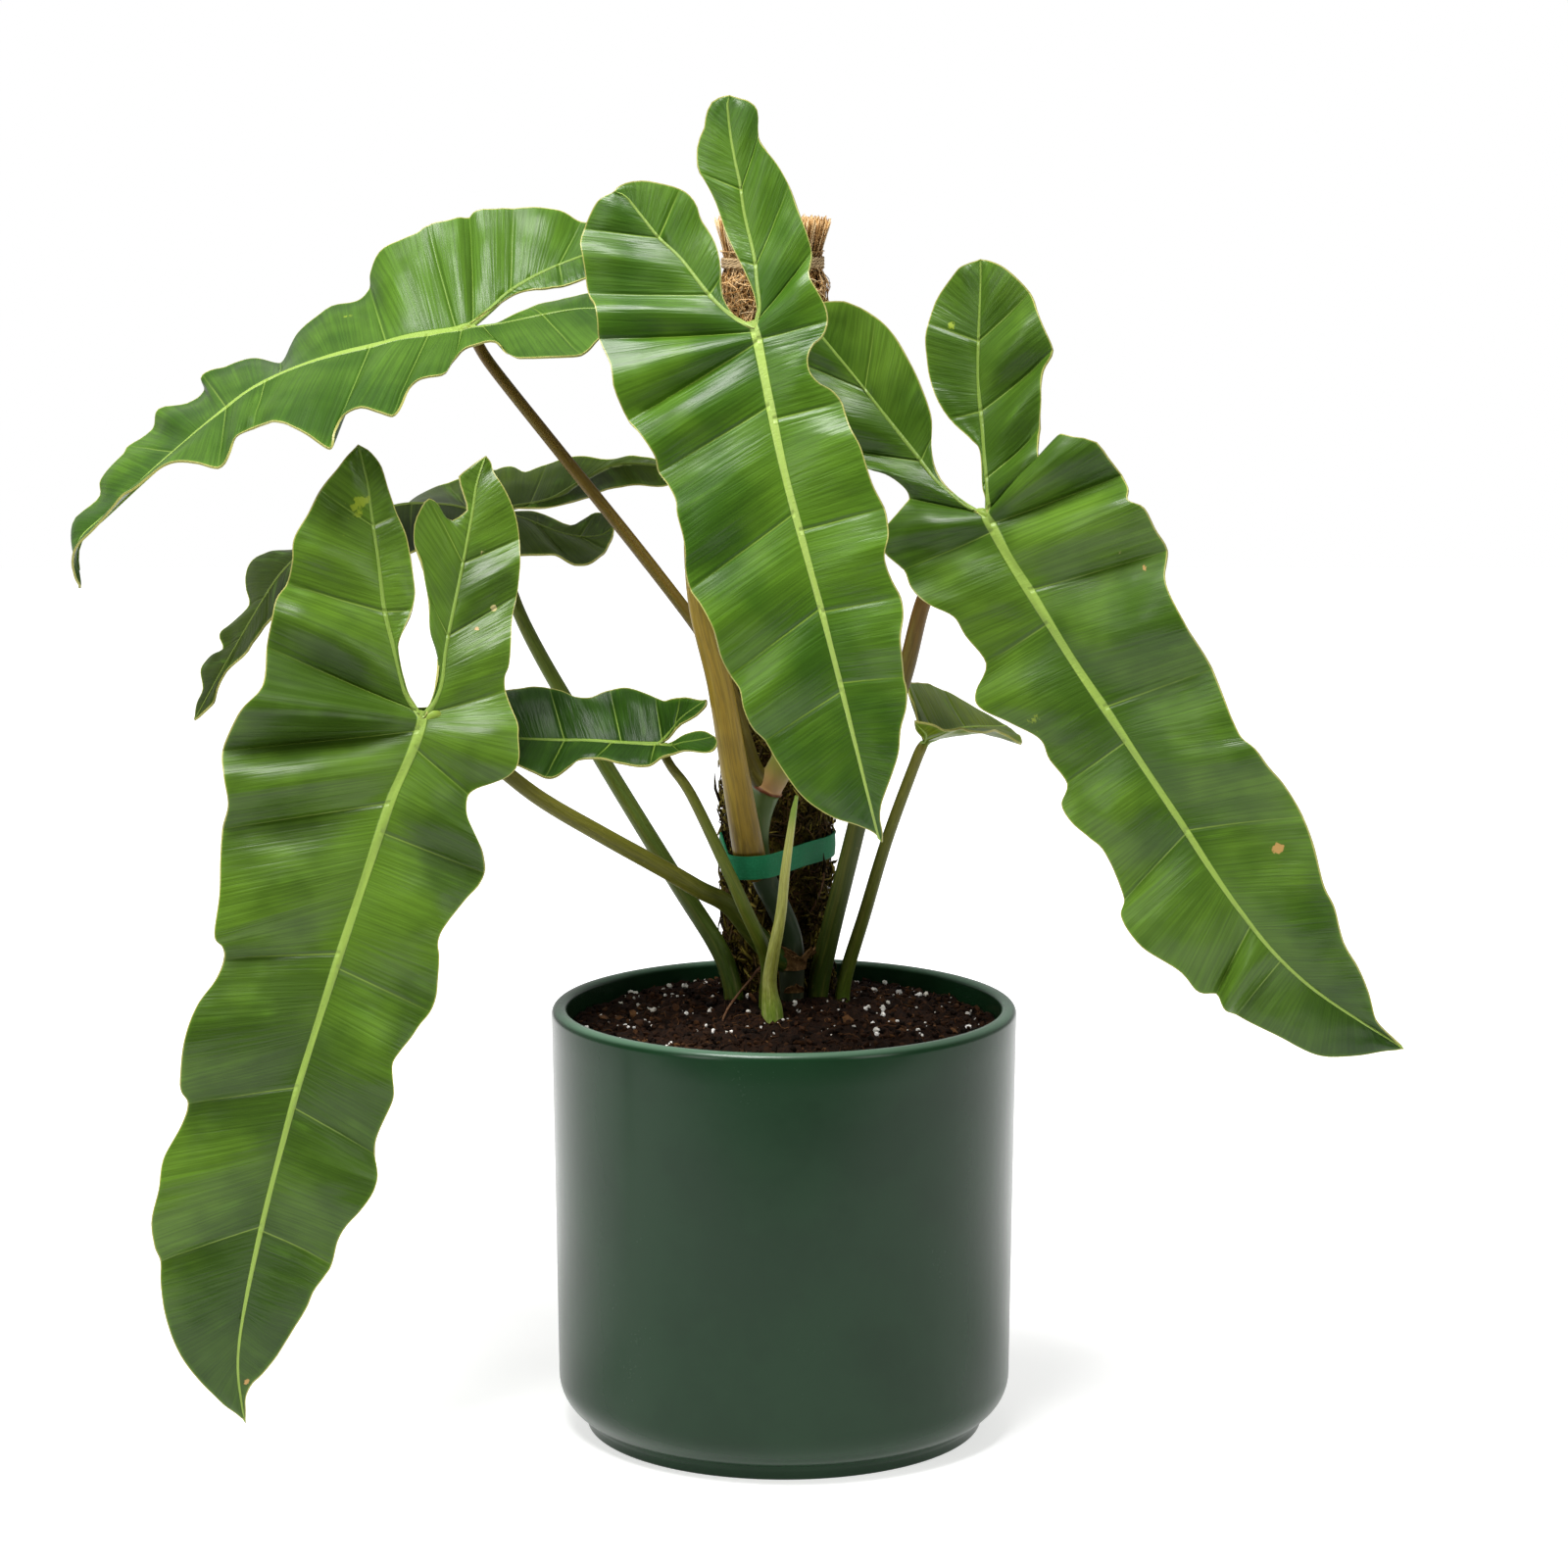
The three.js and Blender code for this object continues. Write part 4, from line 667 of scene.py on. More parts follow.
@dataclass(frozen=True)
class LeafFinish:
    """The skin of one leaf blade."""

    deep: str = "305110"
    fresh: str = "4C751D"
    vein: str = "9CB848"
    glow: str = "5C8620"
    rib: str = "86A046"
    rim: str = "A8A45C"
    back: str = "5A7230"
    rough: float = 0.36
    shine: float = 0.3
    # The last two set how strongly the lobes and the tip are darkened as painted shade.
    painted_lobe_shade: float = 0.0
    painted_tip_shade: float = 0.5

    def face(self, name: str, spots: Sequence["Spot"], reach: float) -> Material:
        """Make the upper face: veins, fine stripes, cloudy greens, spots, and painted shade on the lobes,
        at the tip and beside the side veins.

        Args:
            name: the material's name.
            spots: the spots on this blade.
            reach: how far the blade's tip is along the midrib, in millimetres.

        Returns:
            The material.
        """
        b = Bench(name)
        gap, share = b.chart("vein")
        run, ratio = b.chart("row")
        rim, along = b.chart("edge")
        cloud = b.noise(0.07, 3.0)
        patch = b.noise(0.02, 2.0)
        band = b.noise(6.0, 2.0, vector=b.join(run, share * 4.0))
        fine = b.noise(1.1, 2.0, vector=b.join(run, share * 0.8))
        colour = b.mix(cloud.ramp(0.38, 0.62), self.deep, self.fresh)
        colour = b.mix(band.ramp(0.5, 0.72) * patch.ramp(0.4, 0.7) * 0.35, colour, self.glow)
        colour = b.mix(band.ramp(0.3, 0.5, 0.2, 0.0), colour, self.deep)
        # Painted shade: the lobes and the downturned tip are darkened towards 16300A.
        shade = along.ramp(-70.0, 0.0, self.painted_lobe_shade, 0.0)
        shade = shade + along.ramp(reach * 0.5, reach, 0.0, self.painted_tip_shade)
        colour = b.mix(shade, colour, "16300A")
        colour = b.mix(fine.ramp(0.35, 0.65, 0.3, 0.0), colour, "142507")
        # Painted shade: the blade is darkened beside each side vein, where the crease lies in shade.
        painted_crease_shade = gap.ramp(0.5, 3.0, 0.45, 0.0) * share.ramp(0.2, 1.0, 1.0, 0.4)
        colour = b.mix(painted_crease_shade, colour, self.deep)
        thin = gap.ramp(0.12, 0.6, 0.42, 0.0) * share.ramp(0.2, 0.97, 1.0, 0.3)
        colour = b.mix(thin, colour, self.vein)
        middle = ratio.ramp(0.78, 1.06, 1.0, 0.0)
        streak = b.noise(2.5, 2.0, vector=b.join(run * 0.12, ratio * 3.0))
        middle = middle * along.ramp(-16.0, 4.0, 0.55, 0.94)
        colour = b.mix(middle, colour, b.mix(streak.ramp(0.35, 0.7, 0.0, 0.5), self.rib, self.vein))
        colour = b.mix(rim.ramp(0.3, 3.0, 0.4, 0.0) * band, colour, self.glow)
        colour = b.mix(rim.ramp(0.3, 0.75, 0.85, 0.0), colour, self.rim)
        fray = b.noise(0.006, 4.0, 0.65)
        for spot in spots:
            edge = b.far(spot.place) * 1000.0 + (fray - 0.5) * (spot.size * 5.0)
            inside = edge.ramp(spot.size * 0.6, spot.size, spot.strength, 0.0)
            colour = b.mix(inside, colour, spot.colour)
        rough = self.rough + (fine - 0.5) * 0.12 + (patch - 0.5) * 0.1 + middle * 0.08
        wrinkle = b.noise(2.4, 2.0, vector=b.join(run, share * 5.0))
        height = fine * 0.18 + wrinkle * 0.32 + band * 0.2 * share.ramp(0.0, 0.3) + patch * 0.3
        height = height + gap.ramp(0.0, 2.2, 0.0, 0.55) * share.ramp(0.7, 1.0, 1.0, 0.3)
        height = height + ratio.ramp(0.75, 1.15, 0.25, 0.0)
        normal = b.bump(height, 0.001, 1.0)
        return b.close({"Base Color": colour, "Roughness": rough, "Normal": normal,
                        "Specular IOR Level": self.shine})

    def underside(self, name: str) -> Material:
        """Make the paler, duller lower face with its standing veins.

        Args:
            name: the material's name.

        Returns:
            The material.
        """
        b = Bench(name)
        gap, share = b.chart("vein")
        run, _ = b.chart("row")
        rim, _ = b.chart("edge")
        cloud = b.noise(0.04, 3.0)
        fine = b.noise(1.0, 2.0, vector=b.join(run, share * 1.6))
        colour = b.mix(cloud.ramp(0.35, 0.65), self.back, b.mix(0.35, self.back, self.fresh))
        colour = b.mix(fine.ramp(0.4, 0.7, 0.0, 0.25), colour, self.vein)
        colour = b.mix(gap.ramp(0.4, 1.3, 0.75, 0.0) * share.ramp(0.6, 0.97, 1.0, 0.0), colour, self.vein)
        colour = b.mix(rim.ramp(0.3, 1.0, 0.8, 0.0), colour, self.rim)
        height = gap.ramp(0.0, 1.4, 0.5, 0.0) + fine * 0.12
        return b.close({"Base Color": colour, "Roughness": 0.5 + (fine - 0.5) * 0.1,
                        "Normal": b.bump(height, 0.0006, 0.8),
                        "Specular IOR Level": self.shine * 0.7})

    def margin(self, name: str) -> Material:
        """Make the thin pale edge of the blade.

        Args:
            name: the material's name.

        Returns:
            The material.
        """
        b = Bench(name)
        cloud = b.noise(0.006, 3.0)
        colour = b.mix(cloud.ramp(0.4, 0.7), self.rim, "8E8A45")
        return b.close({"Base Color": colour, "Roughness": 0.45 + cloud * 0.1})


@dataclass(frozen=True)
class Spot:
    """A blemish on a blade: where it is and how it looks."""

    place: tuple[float, float, float]
    size: float
    colour: str
    strength: float = 0.9


@dataclass(frozen=True)
class StalkFinish:
    """The skin of a stalk, from its foot to its head."""

    foot: str = "2C3E0C"
    middle: str = "454F16"
    head: str = "5C4220"
    streak: str = "6E6A2C"
    rough: float = 0.4

    def skin(self, name: str) -> Material:
        """Make the stalk's skin with streaks along it.

        Args:
            name: the material's name.

        Returns:
            The material.
        """
        b = Bench(name)
        share, turn = b.chart("along")
        east = (turn * TURN).sine()
        north = (turn * TURN + math.pi / 2).sine()
        long = b.noise(0.5, 3.0, vector=b.join(east, north, share * 3.0))
        fine = b.noise(0.14, 2.0, vector=b.join(east, north, share * 4.0))
        fleck = b.noise(0.002, 2.0)
        colour = b.mix(share.ramp(0.05, 0.5), self.foot, self.middle)
        colour = b.mix(share.ramp(0.45, 0.9), colour, self.head)
        colour = b.mix(long.ramp(0.45, 0.75, 0.0, 0.5), colour, self.streak)
        colour = b.mix(fine.ramp(0.35, 0.6, 0.3, 0.0), colour, "1E220D")
        colour = b.mix(fleck.ramp(0.66, 0.8, 0.0, 0.3), colour, "8E8850")
        colour = b.mix(share.ramp(0.84, 0.91), colour, "7C9438")
        rough = self.rough + (fine - 0.5) * 0.12
        return b.close({"Base Color": colour, "Roughness": rough, "Specular IOR Level": 0.18,
                        "Normal": b.bump(fine + fleck * 0.3, 0.0003, 0.6)})


@dataclass(frozen=True)
class GlazeFinish:
    """The pot's satin glaze."""

    dark: str = "102A16"
    light: str = "142F1A"
    rough: float = 0.25

    def coat(self, name: str) -> Material:
        """Make the glaze, with a painted highlight along the top of the rim.

        Args:
            name: the material's name.

        Returns:
            The material.
        """
        b = Bench(name)
        _, _, up = b.split(b.place)
        cloud = b.noise(0.05, 3.0)
        speck = b.noise(0.0016, 2.0)
        colour = b.mix(cloud.ramp(0.35, 0.65), self.dark, self.light)
        # Painted highlight: the glaze turns paler at the top of the rim, standing in for the lip's
        # reflection.
        colour = b.mix(up.ramp(0.2195, 0.2218, 0.0, 0.7), colour, "5A7862")
        colour = b.mix(speck.ramp(0.7, 0.8, 0.0, 0.12), colour, "14241A")
        rough = self.rough + (cloud - 0.5) * 0.08 + (speck - 0.5) * 0.05
        height = b.noise(0.004, 3.0) * 0.5 + cloud
        return b.close({"Base Color": colour, "Roughness": rough, "Specular IOR Level": 0.22,
                        "Normal": b.bump(height, 0.0003, 0.25)})


@dataclass(frozen=True)
class LooseFinish:
    """Loose or fibrous matter whose every bit has its own tone."""

    stops: tuple[tuple[float, str], ...]
    cast: str
    lump: float = 0.02
    share: float = 0.4
    rough: float = 0.8
    sheen: float = 0.0

    def matter(self, name: str, toned: bool = True) -> Material:
        """Make the matter.

        Args:
            name: the material's name.
            toned: whether the piece carries a tone for each bit.

        Returns:
            The material.
        """
        b = Bench(name)
        fine = b.noise(0.0018, 3.0)
        if toned:
            tone = b.add("ShaderNodeAttribute", {"attribute_name": "tone"}, out="Fac")
            tone = tone * 0.8 + fine * 0.2
        else:
            tone = fine
        colour = b.add("ShaderNodeValToRGB", {"stops": self.stops}, {0: tone})
        patch = b.noise(self.lump, 3.0)
        colour = b.mix(patch.ramp(0.4, 0.65, 0.0, self.share), colour, self.cast)
        grit = b.noise(0.0007, 3.0, 0.7)
        return b.close({"Base Color": colour, "Roughness": self.rough + (fine - 0.5) * 0.15,
                        "Normal": b.bump(grit + fine, 0.0006, 0.8),
                        "Specular IOR Level": 0.1, "Sheen Weight": self.sheen})


@dataclass(frozen=True)
class WeaveFinish:
    """A woven band."""

    thread: str = "1C7A4E"
    shade: str = "125A38"
    pitch: float = 0.9

    def cloth(self, name: str) -> Material:
        """Make the weave from the band's own chart, which is in millimetres.

        Args:
            name: the material's name.

        Returns:
            The material.
        """
        b = Bench(name)
        along, across = b.chart("band")
        turn = TURN / self.pitch
        warp = (along * turn).sine() * (across * turn).sine()
        ribs = (across * (turn * 0.5)).sine()
        fuzz = b.noise(0.0012, 3.0, 0.65)
        wear = b.noise(0.02, 3.0)
        colour = b.mix(warp * 0.25 + 0.5, self.shade, self.thread)
        colour = b.mix(fuzz.ramp(0.45, 0.75, 0.0, 0.3), colour, "3A8E64")
        colour = b.mix(wear.ramp(0.5, 0.75, 0.0, 0.3), colour, "2A6A48")
        height = warp * 0.3 + ribs * 0.2 + fuzz * 0.6
        return b.close({"Base Color": colour, "Roughness": 0.72 + (fuzz - 0.5) * 0.2,
                        "Normal": b.bump(height, 0.0004, 0.7), "Specular IOR Level": 0.15})


@dataclass(frozen=True)
class WoodFinish:
    """The plain stake inside the pole."""

    early: str = "A98355"
    late: str = "7C5A34"

    def timber(self, name: str) -> Material:
        """Make the wood, its grain running up the stake.

        Args:
            name: the material's name.

        Returns:
            The material.
        """
        b = Bench(name)
        stretched = b.add("ShaderNodeMapping", None, {"Vector": b.place, "Scale": (1.0, 1.0, 0.06)})
        ring = b.noise(0.004, 4.0, vector=stretched, twist=0.6)
        pore = b.noise(0.0009, 2.0, vector=stretched)
        colour = b.mix(ring.ramp(0.35, 0.65), self.early, self.late)
        colour = b.mix(pore.ramp(0.6, 0.75, 0.0, 0.5), colour, "4A3320")
        return b.close({"Base Color": colour, "Roughness": 0.7 + (ring - 0.5) * 0.15,
                        "Normal": b.bump(ring + pore, 0.0004, 0.6)})


@dataclass(frozen=True)
class HalfPlan:
    """One half of a blade, in millimetres: along the midrib, across it, and lift.

    A row without a lift lies flat. A fourth number in a margin row is the place on the midrib or
    rib where that side vein starts.
    """

    margin: tuple[Row, ...]
    rib: tuple[Row, ...]
    sinus: tuple[Row, ...]

    @staticmethod
    def table(rows: tuple[Row, ...]) -> Array:
        """Give the rows' three measures, with the lifts that are left out."""
        return np.array([(*row, 0)[:3] for row in rows], float)


@dataclass(frozen=True)
class LeafPlan:
    """The plan of one leaf: its blade, the curve it lies along, and its stalk."""

    name: str
    guide: tuple[Row, ...]
    base: int
    across: tuple[Row, Row]
    lift: float
    halves: tuple[HalfPlan, HalfPlan]
    stalk: tuple[Row, ...]


LEAF_FRONT = LeafPlan(
    name="leaf_front",
    guide=(
        (-40, -66, 679), (-26, -84, 623), (-14, -105, 575), (0, -126, 509), (20, -137, 435),
        (39, -134, 359), (46, -128, 330),
    ),
    base=2,
    across=((1, -0.1, 0.18), (1, -0.1, 0.18)),
    lift=0.05,
    halves=(HalfPlan(margin=(
        (258, 1.5, 0, 258), (252, -2), (247, -8), (241, -18), (234, -25.5), (227, -31), (217, -35.5),
        (208, -39), (198, -42, 0, 180), (190, -46), (180, -47.6), (171, -47.5), (164, -50.4, 0, 139),
        (154, -52.3), (140, -52), (128, -55), (120, -58.3, 0, 92), (110, -58), (102, -55.6), (94, -54.5),
        (84, -54.5), (77, -53.7), (69, -55.7), (62, -59, 0, 39), (54, -59), (43, -63.5),
        (34.7, -68.5, 0, 7), (27, -70.3), (18.5, -71.5), (9.5, -70.8), (0, -72.8), (-7.5, -74.6, 0, 2),
        (-16.7, -72.7), (-24, -72.7), (-32, -75, 0, -21), (-44.5, -73.4), (-51, -72.7), (-58, -72.4),
        (-65, -69.7, 0, -54), (-72, -64.6), (-77, -60), (-79.4, -55), (-81, -51, 0, -81),
    ), rib=(
        (0, 0), (-5, -6.5), (-12.4, -13), (-23, -19), (-41.5, -27), (-54, -35), (-67.6, -41.3),
        (-77.3, -46), (-81, -51),
    ), sinus=(
        (0, -1), (-2.4, -4), (-8.2, -8.3), (-16.3, -11.3), (-24.7, -11), (-32.6, -9.3), (-43, -8.6),
        (-51.4, -10), (-59.6, -12.9), (-67, -13.3), (-73, -16), (-77, -20.5), (-80.5, -27.7),
        (-83.6, -35), (-84.4, -43), (-83, -48.5), (-81, -51),
    )), HalfPlan(margin=(
        (258, 1.5, 0, 258), (253, 2.6), (246, 3), (239, 5), (232, 9), (223, 14.6), (213.6, 19.7),
        (202.6, 23.3), (193, 28.2), (184.5, 30.6), (178, 30.7, 0, 176), (167.6, 32.4), (158, 34.2),
        (148.5, 37.8), (140, 38.6, 0, 141), (132, 36.8), (124, 36), (118, 37), (110.6, 40.8), (104, 42),
        (97, 42.3, 0, 101), (86, 40), (76, 39.3), (66, 38.6), (57.4, 36), (50, 34.8), (43, 34, 0, 46),
        (37, 30.7), (32, 25), (26, 22), (19.5, 22.5), (13.5, 26), (9.7, 31.5), (3, 35.2, 0, 6),
        (-4, 35.8), (-11, 34), (-19.6, 31.6), (-26, 33.5), (-32.6, 35.5, 0, -3), (-44, 35.4), (-56, 34),
        (-68, 32.7, 0, -32), (-79, 29.7), (-87, 26.2), (-95, 23.8, 0, -70), (-107, 26.5), (-112.4, 24),
        (-115.5, 19.5), (-118, 15, 0, -118),
    ), rib=(
        (0, 0), (-10, 4.5), (-21.5, 6.2), (-36.3, 8), (-58.5, 8.3), (-73.6, 9.7), (-86, 10), (-100, 11),
        (-114, 13), (-118, 15),
    ), sinus=(
        (0, 1), (-4, 1.8), (-10.4, 3), (-19.4, 3), (-28, 1.7), (-36.5, 0), (-44, -1.7), (-52, -3),
        (-62, -3.5), (-69.6, -4.6), (-78, -6.7), (-83.6, -8.5), (-90, -8), (-97.6, -5.7), (-104.6, -0.7),
        (-110.5, 1.5), (-116, 5.5), (-118, 10.6), (-118, 15),
    ))),
    stalk=(
        (-13.5, 1.5, 292, 5), (-15.5, -5, 293.5, 7), (-17, -10.5, 298, 8.3), (-19, -14, 310, 8),
        (-25, -26, 348, 7.1), (-32, -40, 393, 6.4), (-43, -60, 445, 5.4), (-43, -73, 505, 4.4),
        (-31, -87, 552, 3.8), (-17, -101, 575, 3.2), (-11, -107, 566, 1.6),
    ),
)

LEAF_DROOPING = LeafPlan(
    name="leaf_drooping_left",
    guide=(
        (-183, -30, 505), (-179, -54, 434), (-179, -70, 381), (-195, -82, 339), (-219, -97, 267),
        (-240, -108, 201), (-258, -112, 134), (-271, -110, 71), (-270, -104, 30),
    ),
    base=2,
    across=((0.95, 0.15, -0.2), (0.95, 0.15, -0.2)),
    lift=0.05,
    halves=(HalfPlan(margin=(
        (369, 1, 0, 369), (365, -2), (360, -10), (348, -20), (333, -30), (316, -38), (300, -43),
        (290, -45, 0, 264), (282, -49.5), (268, -54), (252, -54), (237, -55), (220, -50.5),
        (209, -50, 0, 192), (203, -55), (196, -57.5), (177, -61), (160, -60), (146, -55),
        (135, -54, 0, 123), (129, -57), (124, -62.5), (105, -66), (87, -71), (72, -74.5, 0, 45),
        (60, -76), (47, -82.5), (34, -87.5, 0, 6), (19, -88.5), (11, -87), (3, -82), (-5, -80),
        (-21, -79.5, 0, -3), (-33, -77.5), (-45, -74.5), (-55, -68.5, 0, -50), (-66, -66), (-77, -65),
        (-91, -57.5), (-106, -50, 0, -92), (-117, -42), (-126, -35.5), (-133, -30, 0, -133),
    ), rib=(
        (0, 0), (-9, -8.5), (-17, -12), (-31, -15.5), (-53, -20), (-79, -22.5), (-98, -24.5), (-114, -26),
        (-133, -30),
    ), sinus=(
        (0, -0.8), (-9, -7), (-16.5, -10), (-23, -12), (-31, -13.5), (-36, -13), (-44, -9.5), (-52, -6),
        (-61, -4), (-69, -4.3), (-80, -5.4), (-89, -7), (-96, -9.4), (-103, -12.4), (-111, -15),
        (-120, -17.3), (-126.5, -20), (-131, -24.4), (-133, -30),
    )), HalfPlan(margin=(
        (369, 1, 0, 369), (362, 1.8), (354, 3), (346, 7), (340, 12), (332, 17.5), (325, 21), (309, 27.5),
        (300, 30.5), (292, 32), (284, 35.5), (277, 38, 0, 266), (264, 38.3), (255, 40.6), (247, 44.6),
        (238, 48.7), (231, 49.7), (226, 48.8), (219, 46, 0, 202), (212, 44.6), (204, 45), (192, 46.6),
        (186, 46), (177, 42.5), (171, 41), (165, 43), (158, 46.4), (151, 49), (144, 52, 0, 130),
        (136, 52.3), (128, 50.4), (116, 47.2), (110, 44.6), (104, 44), (98, 45.6), (92, 48.2), (85, 51.5),
        (78, 55.4), (71, 56.5, 0, 60), (66, 54.5), (59, 50.2), (52, 44), (45.6, 39), (39.5, 36.4),
        (34, 35.6, 0, 15), (30, 38), (26, 43.7), (21, 49.5), (14, 51.3), (2, 48), (-5, 47), (-13, 43.4),
        (-21, 40.5, 0, -2), (-28, 40), (-34, 42), (-47, 43.4), (-59.5, 45), (-70, 47.6, 0, -44),
        (-80, 49), (-90, 50), (-100, 50.6, 0, -82), (-110, 49.3), (-118, 46.5), (-125, 43), (-131, 39.4),
        (-137, 37.8), (-140, 35.3, 0, -140),
    ), rib=(
        (0, 0), (-10, 5.5), (-20, 8.3), (-35, 10.5), (-58, 15.5), (-82, 21), (-106, 26.5), (-124, 30),
        (-140, 35.3),
    ), sinus=(
        (0, 1), (-9.6, 3.7), (-18.8, 5.5), (-29, 6.7), (-36, 6.2), (-43, 4), (-50, 3), (-59, 2.9),
        (-67, 1.4), (-76, 0), (-83, -2), (-88, -3.6), (-97, -3), (-105, 0), (-111.7, 4.3), (-110.7, 8.7),
        (-106.4, 11.6), (-103.5, 16), (-106.6, 20.9), (-110.6, 24.5), (-117, 22.9), (-126, 20.7),
        (-130.5, 24.7), (-136, 30.4), (-140, 35.3),
    ))),
    stalk=(
        (2, 12, 241, 6), (-6, 7, 247, 6), (-16.6, -2, 260.5, 5.6), (-28.6, -10, 275.9, 4.9),
        (-43.4, -20, 285.8, 4.6), (-59.6, -28, 297, 4.5), (-92.3, -40, 317.8, 4.3),
        (-124.3, -47, 338.5, 4), (-152.9, -54, 363.5, 3.7), (-166, -61, 377, 3.5), (-174.5, -67, 382, 3),
        (-181, -71, 373, 1.6),
    ),
)

LEAF_RIGHT = LeafPlan(
    name="leaf_right",
    guide=(
        (62, 10, 591), (85, -15, 524), (101, -40, 478), (142, -62, 411), (182, -74, 352), (225, -82, 288),
        (259, -86, 251), (308, -88, 218),
    ),
    base=2,
    across=((0.85, -0.25, 0.5), (0.85, -0.25, 0.5)),
    lift=0.05,
    halves=(HalfPlan(margin=(
        (341, 0, 0, 341), (338, -5), (331.6, -18), (320, -29.5), (298, -34), (281, -39.4, 0, 265),
        (273, -39), (266, -38.2, 0, 242), (260, -43.4), (245, -43), (225, -50.4), (209, -51.4),
        (202, -46.3, 0, 186), (187, -42.2), (174, -40.2), (165, -43), (155, -46.2), (145, -46),
        (137, -38, 0, 132), (122, -38.2), (111, -36.2), (97, -43.2), (83.5, -52), (75, -50),
        (65, -38.7, 0, 62), (48, -39), (37, -38.4), (25.4, -46.3), (14, -50.8), (3.6, -50.5, 0, 8),
        (-8.6, -54.7), (-16.7, -51.2), (-24, -38.3), (-29, -34.5, 0, -5), (-34.7, -34.3), (-45.4, -41, 1),
        (-55, -51.7, 2), (-68.4, -58.6, 4, -45), (-85, -64.8, 6), (-104.8, -70, 9), (-124, -70, 12, -90),
        (-136.5, -63, 13), (-142, -53, 13, -142),
    ), rib=(
        (0, 0), (-10, -7.5), (-20, -12.5), (-32, -18.6), (-64, -29, 3), (-97.5, -39.4, 7),
        (-128, -49.3, 12), (-142, -53, 13),
    ), sinus=(
        (0, -1.2), (-8, -5.5), (-15.7, -9.6), (-33.4, -16.3), (-49, -15), (-63, -9.5, 1), (-85, -9.5, 3),
        (-101.7, -11.5, 6), (-115, -15.5, 8), (-126, -22.5, 10), (-131, -27, 11), (-135, -31.6, 12),
        (-140, -43, 13), (-142, -53, 13),
    )), HalfPlan(margin=(
        (341, 0, 0, 341), (333, 1.8), (318.5, 6), (301, 18), (286, 26), (271, 31), (253, 40), (240, 43),
        (222, 50), (205, 54, 0, 185), (187, 55.2), (174.5, 54.6), (164, 54.2), (154, 50.8), (134.4, 54),
        (120, 56.5, 0, 112), (105, 58.5), (91, 60.4), (71, 62.6), (58, 70, 0, 43), (47.4, 71.7),
        (35, 73.8), (28.3, 69), (22.4, 70.6), (14, 70, 0, 4), (5, 69.5), (-5, 68.3), (-12.4, 58),
        (-17, 52), (-14.5, 43), (-7, 38, 0, -3), (-12, 38.2), (-27, 42.6, 0, -18), (-36, 47), (-45, 51.2),
        (-54, 54.5), (-61, 61.5, 0, -52), (-76, 61.6), (-94, 59.5, 0, -85), (-109.5, 53), (-118, 46),
        (-122, 41, 0, -122),
    ), rib=(
        (0, 0), (-10, 5), (-22, 8.6), (-36, 12), (-57, 16.4), (-79, 23.7), (-110, 36.7), (-122, 41),
    ), sinus=(
        (0, 1.3), (-8, 3), (-16, 4.8), (-33, 8.7), (-41, 6), (-57, -1.7), (-77, -4.6), (-92, -2),
        (-103, 2.5), (-116, 13), (-122, 25.6), (-123.3, 33), (-122, 41),
    ))),
    stalk=(
        (17, 20, 165, 5.8), (17, 20, 205, 5.8), (17.5, 19.5, 224, 5.6), (22, 16, 248, 5.4),
        (32, 8, 291, 5), (45, 1.5, 344, 4.7), (61, -5, 393, 4.4), (71, -14, 434, 4.1),
        (85, -24, 462, 3.8), (98, -36, 479, 3.2), (106, -44, 471, 1.6),
    ),
)

